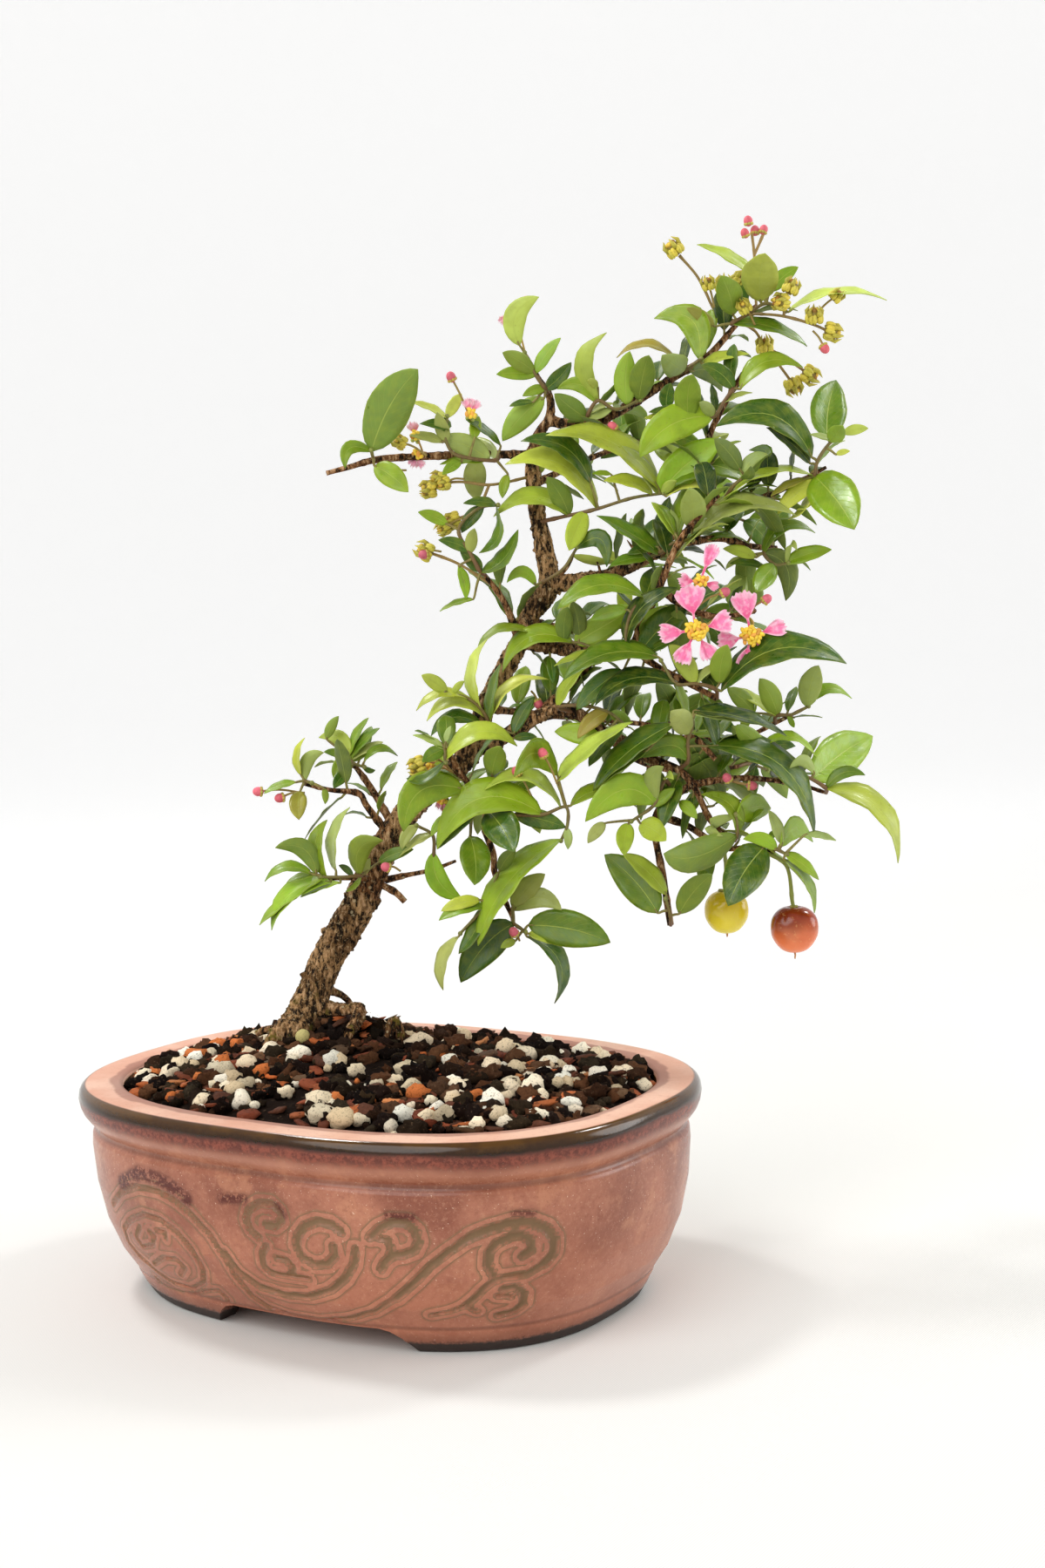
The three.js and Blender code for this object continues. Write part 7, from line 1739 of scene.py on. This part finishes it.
def add_seed_head(build, centre, axis, radius):
    """Young seed head: cup of paired glands, pointed sepals, and a knot of small lobes inside."""
    side, deep = facing(axis)
    key = LOOKS.random() * 6
    build.ball(centre, radius * 0.7, (128, 110, 36), 0.1, rings=8, sides=12)
    for i in range(10):
        turn = 2 * math.pi * (i + 0.22 * (i % 2)) / 10 + key
        way = side * math.cos(turn) + deep * math.sin(turn)
        place = centre + way * radius * 0.66 - axis * radius * 0.22
        build.ball(place, radius * 0.3, (212, 196, 72), 0.16, axis=axis, stretch=0.75, width=0.85)
    for i in range(5):
        turn = 2 * math.pi * (i + 0.3 * LOOKS.random()) / 5 + key + 0.3
        way = side * math.cos(turn) + deep * math.sin(turn)
        root = centre + way * radius * 0.62 + axis * radius * 0.1
        reach = radius * (0.75 + 0.3 * LOOKS.random())
        route = [root, root + (axis * 0.8 + way * 0.3) * reach * 0.6, root + (axis * 1.1 - way * 0.2) * reach]
        build.bar(route, [radius * 0.27, radius * 0.2, 0.08], 7, (186, 174, 62), 0.14)
    for i, way in enumerate(around(5, side, deep, key)):
        lobe = centre + axis * radius * 0.55 + way * radius * 0.3
        build.ball(lobe, radius * 0.27, (156, 112, 40) if i % 2 else (226, 192, 70), 0.16)


def add_bud(build, centre, axis, radius):
    """Flower bud: a round pink tip held in a cup of pale glands."""
    side, deep = facing(axis)
    build.ball(centre, radius * 0.82, (214, 98, 112), 0.2, rings=10, sides=14, axis=axis, stretch=0.22)
    for way in around(8, side, deep):
        build.ball(centre + way * radius * 0.62 - axis * radius * 0.5, radius * 0.3, (190, 172, 78), 0.14)


def make_sprays():
    head_paint = knob_paint("seed_heads", 0.6, 1300, 0.45)
    bud_paint = knob_paint("buds", 0.55, 1100, 0.25)
    for name, row in SPRAYS.items():
        build = Build()
        for rows in row["stalks"]:
            stalk(build, rows, 0.5, (150, 122, 66), 0)
        for across, up, near, radius in row["heads"]:
            centre = seen(across, up, near)
            root = min((seen(*rows[-2]) for rows in row["stalks"]), key=lambda p: (p - centre).length)
            axis = (centre - root + Vector((0, 0, 1))).normalized()
            if radius < 2:
                add_bud(build, centre, axis, radius)
            else:
                add_seed_head(build, centre, axis, radius * 1.2)
        slot, paint = ("bud", bud_paint) if name.endswith("buds") else ("seed_head", head_paint)
        build.piece(name + "_detail", [paint], slot, [name])


def make_small_buds():
    """Loose buds and young seed heads seen among the leaves, each on a thin stalk."""
    paint = knob_paint("small_buds", 0.55, 1100, 0.25)
    build = Build()
    for across, up, near, to_across, to_up, kind in SMALL_BUDS:
        root, centre = seen(to_across, to_up, near - 2), seen(across, up, near)
        arched_stalk(build, root, centre, 0.8, 0.38, (156, 132, 66), 0)
        axis = (centre - root).normalized()
        if kind == "head":
            add_seed_head(build, centre, axis, 2.8)
        else:
            add_bud(build, centre, axis, 1.95)
    build.piece("small_buds", [paint], "bud", [])


def make_cherries():
    skins = {
        "red": ("ripe_fruit", (124, 42, 14), (255, 146, 92), (222, 96, 52), 0.4),
        "yellow": ("unripe_fruit", (202, 172, 28), (246, 230, 70), (228, 208, 44), 1.0),
    }
    green = knob_paint("fruit_calyx", 0.6, 900, 0.3)
    for name, row in CHERRIES.items():
        slot, *skin, calyx = skins[name]
        across, up, near, radius = row["fruit"]
        centre = seen(across, up, near)
        outline, _ = spline([Vector((reach, 0, high)) * radius for high, reach in FRUIT_PROFILE], 0.4)
        points = []
        for spot in outline:
            for turn in all_round(FRUIT_SIDES):
                reach = spot.x * (1 + 0.05 * math.cos(3 * turn))
                points.append(centre + Vector((reach * math.cos(turn), reach * math.sin(turn), spot.z)))
        build = Build()
        build.add(points, ring_faces(len(outline), FRUIT_SIDES), slot=0)
        stalk(build, [*row["stalk"], [across, up + 0.85 * radius, near]], 0.65, (134, 144, 62), 1)
        crown = centre + Vector((0, 0, radius * 0.88))
        for way in around(6, Vector((calyx, 0, 0)), Vector((0, calyx, 0))):
            route = [crown + way * out + Vector((0, 0, high)) for out, high, _ in CALYX_LOBE]
            build.bar(route, [radius for _, _, radius in CALYX_LOBE], 8, (150, 142, 62), 0.14, slot=1)
        tip = centre - Vector((0, 0, radius * 0.96))
        route = [tip, tip + Vector((0.2, 0, -1.1)), tip + Vector((0, 0.1, -2.4 if calyx < 1 else -1.4))]
        build.bar(route, [0.42, 0.3, 0.25], 8, (192, 132, 70), slot=1)
        paint = fruit_paint(name + "_skin", *(linear(colour) for colour in skin), centre.z - 1.5)
        build.piece("cherry_" + name + "_fruit", [paint, green], slot, ["cherry_" + name])


# Setting

def make_floor():
    """Pale woven floor that curves up all round into a backdrop, softly lit behind the plant."""
    paint = Paint("studio_floor", roughness=0.9, Specular_IOR_Level=0.1)
    weave = paint.node("ShaderNodeTexWave")
    weave.inputs["Scale"].default_value = 420
    paint.link(paint.object, weave.inputs["Vector"])
    cloth = paint.mix(weave.outputs["Fac"], linear((222, 221, 217)), linear((236, 235, 232)))
    rise, _, _ = paint.split(paint.attribute("note", "Vector"))
    paint.colour(paint.mix(rise, cloth, linear((222, 222, 222))))
    paint.shader.inputs["Emission Color"].default_value = (1, 1, 1, 1)
    paint.link(paint.math("MULTIPLY", rise, BACKDROP_GLOW), paint.shader.inputs["Emission Strength"])
    paint.bump(weave.outputs["Fac"], 0.05, 0.3)
    back = Vector((AWAY.x, AWAY.y, 0)).normalized()
    profile = [(0.5, 0)] + [(run, 0) for run in range(200, FLOOR_REACH + 1, 200)]
    profile += [(FLOOR_REACH + WALL_CURVE * math.sin(t), WALL_CURVE - WALL_CURVE * math.cos(t))
                for t in np.linspace(0.16, math.pi / 2, 10)]
    profile.append((FLOOR_REACH + WALL_CURVE, WALL_TOP))
    points, notes = [], []
    for reach, high in profile:
        for turn in all_round(FLOOR_SIDES):
            spot = Vector((reach * math.cos(turn), reach * math.sin(turn), high))
            glow = max(smooth_step(spot.dot(back), 150, 1300), 0.35 * smooth_step(reach, 1500, 3300))
            points.append(spot * MM)
            notes.append((float(glow), 0, 0))
    faces = turned(ring_faces(len(profile), FLOOR_SIDES, capped=False))
    mesh = new_mesh("studio_floor", points, [tuple(range(FLOOR_SIDES)), *faces])
    set_vectors(mesh, "note", notes)
    paint.material.cycles.emission_sampling = "NONE"
    mesh.materials.append(paint.material)
    smooth(mesh)
    new_object("studio_floor", mesh)


def make_light(name, side, away, height, size, power):
    """Round soft light, at its place to the right of the plant and behind it as the camera sees it."""
    light = bpy.data.lights.new(name, "AREA")
    light.shape, light.size, light.energy = "DISK", size, power
    lamp = new_object(name, light)
    lamp.visible_camera = False
    up = Vector((0, 0, 1))
    place = AWAY.cross(up) * side + AWAY * away + up * height
    lamp.location = (place - Vector((*FOOTPRINT_MIDDLE, 0))) * MM
    lamp.rotation_euler = (LIGHT_AIM - place).to_track_quat("-Z", "Y").to_euler()


def make_camera():
    """Camera at the front viewpoint."""
    data = bpy.data.cameras.new("camera")
    data.sensor_fit, data.sensor_width = "HORIZONTAL", SENSOR_WIDTH
    data.lens = SENSOR_WIDTH * FOCAL_WIDTHS
    data.clip_start, data.clip_end = 0.05, 30
    camera = new_object("camera", data)
    turn = Matrix((RIGHT, UP, -FORWARD)).transposed()
    place = (EYE - Vector((*FOOTPRINT_MIDDLE, 0))) * MM
    camera.matrix_world = Matrix.Translation(place) @ turn.to_4x4()
    bpy.context.scene.camera = camera


def make_world():
    world = bpy.data.worlds.new("studio")
    world.use_nodes = True
    background = world.node_tree.nodes["Background"]
    background.inputs["Color"].default_value = (1, 1, 1, 1)
    background.inputs["Strength"].default_value = WORLD_GLOW
    bpy.context.scene.world = world
    bpy.context.scene.view_settings.view_transform = "Standard"


TRUNK_FOOT = seen(TRUNK[1][0], TRUNK[1][1], 0)
ROOT_BALL = seen(-64, -84, 4)

make_camera()
make_world()
make_floor()
for row in LIGHTS:
    make_light(*row)
make_pot()
make_screens()
make_soil()
make_wood()
make_shoots()
make_flowers()
make_sprays()
make_small_buds()
make_cherries()
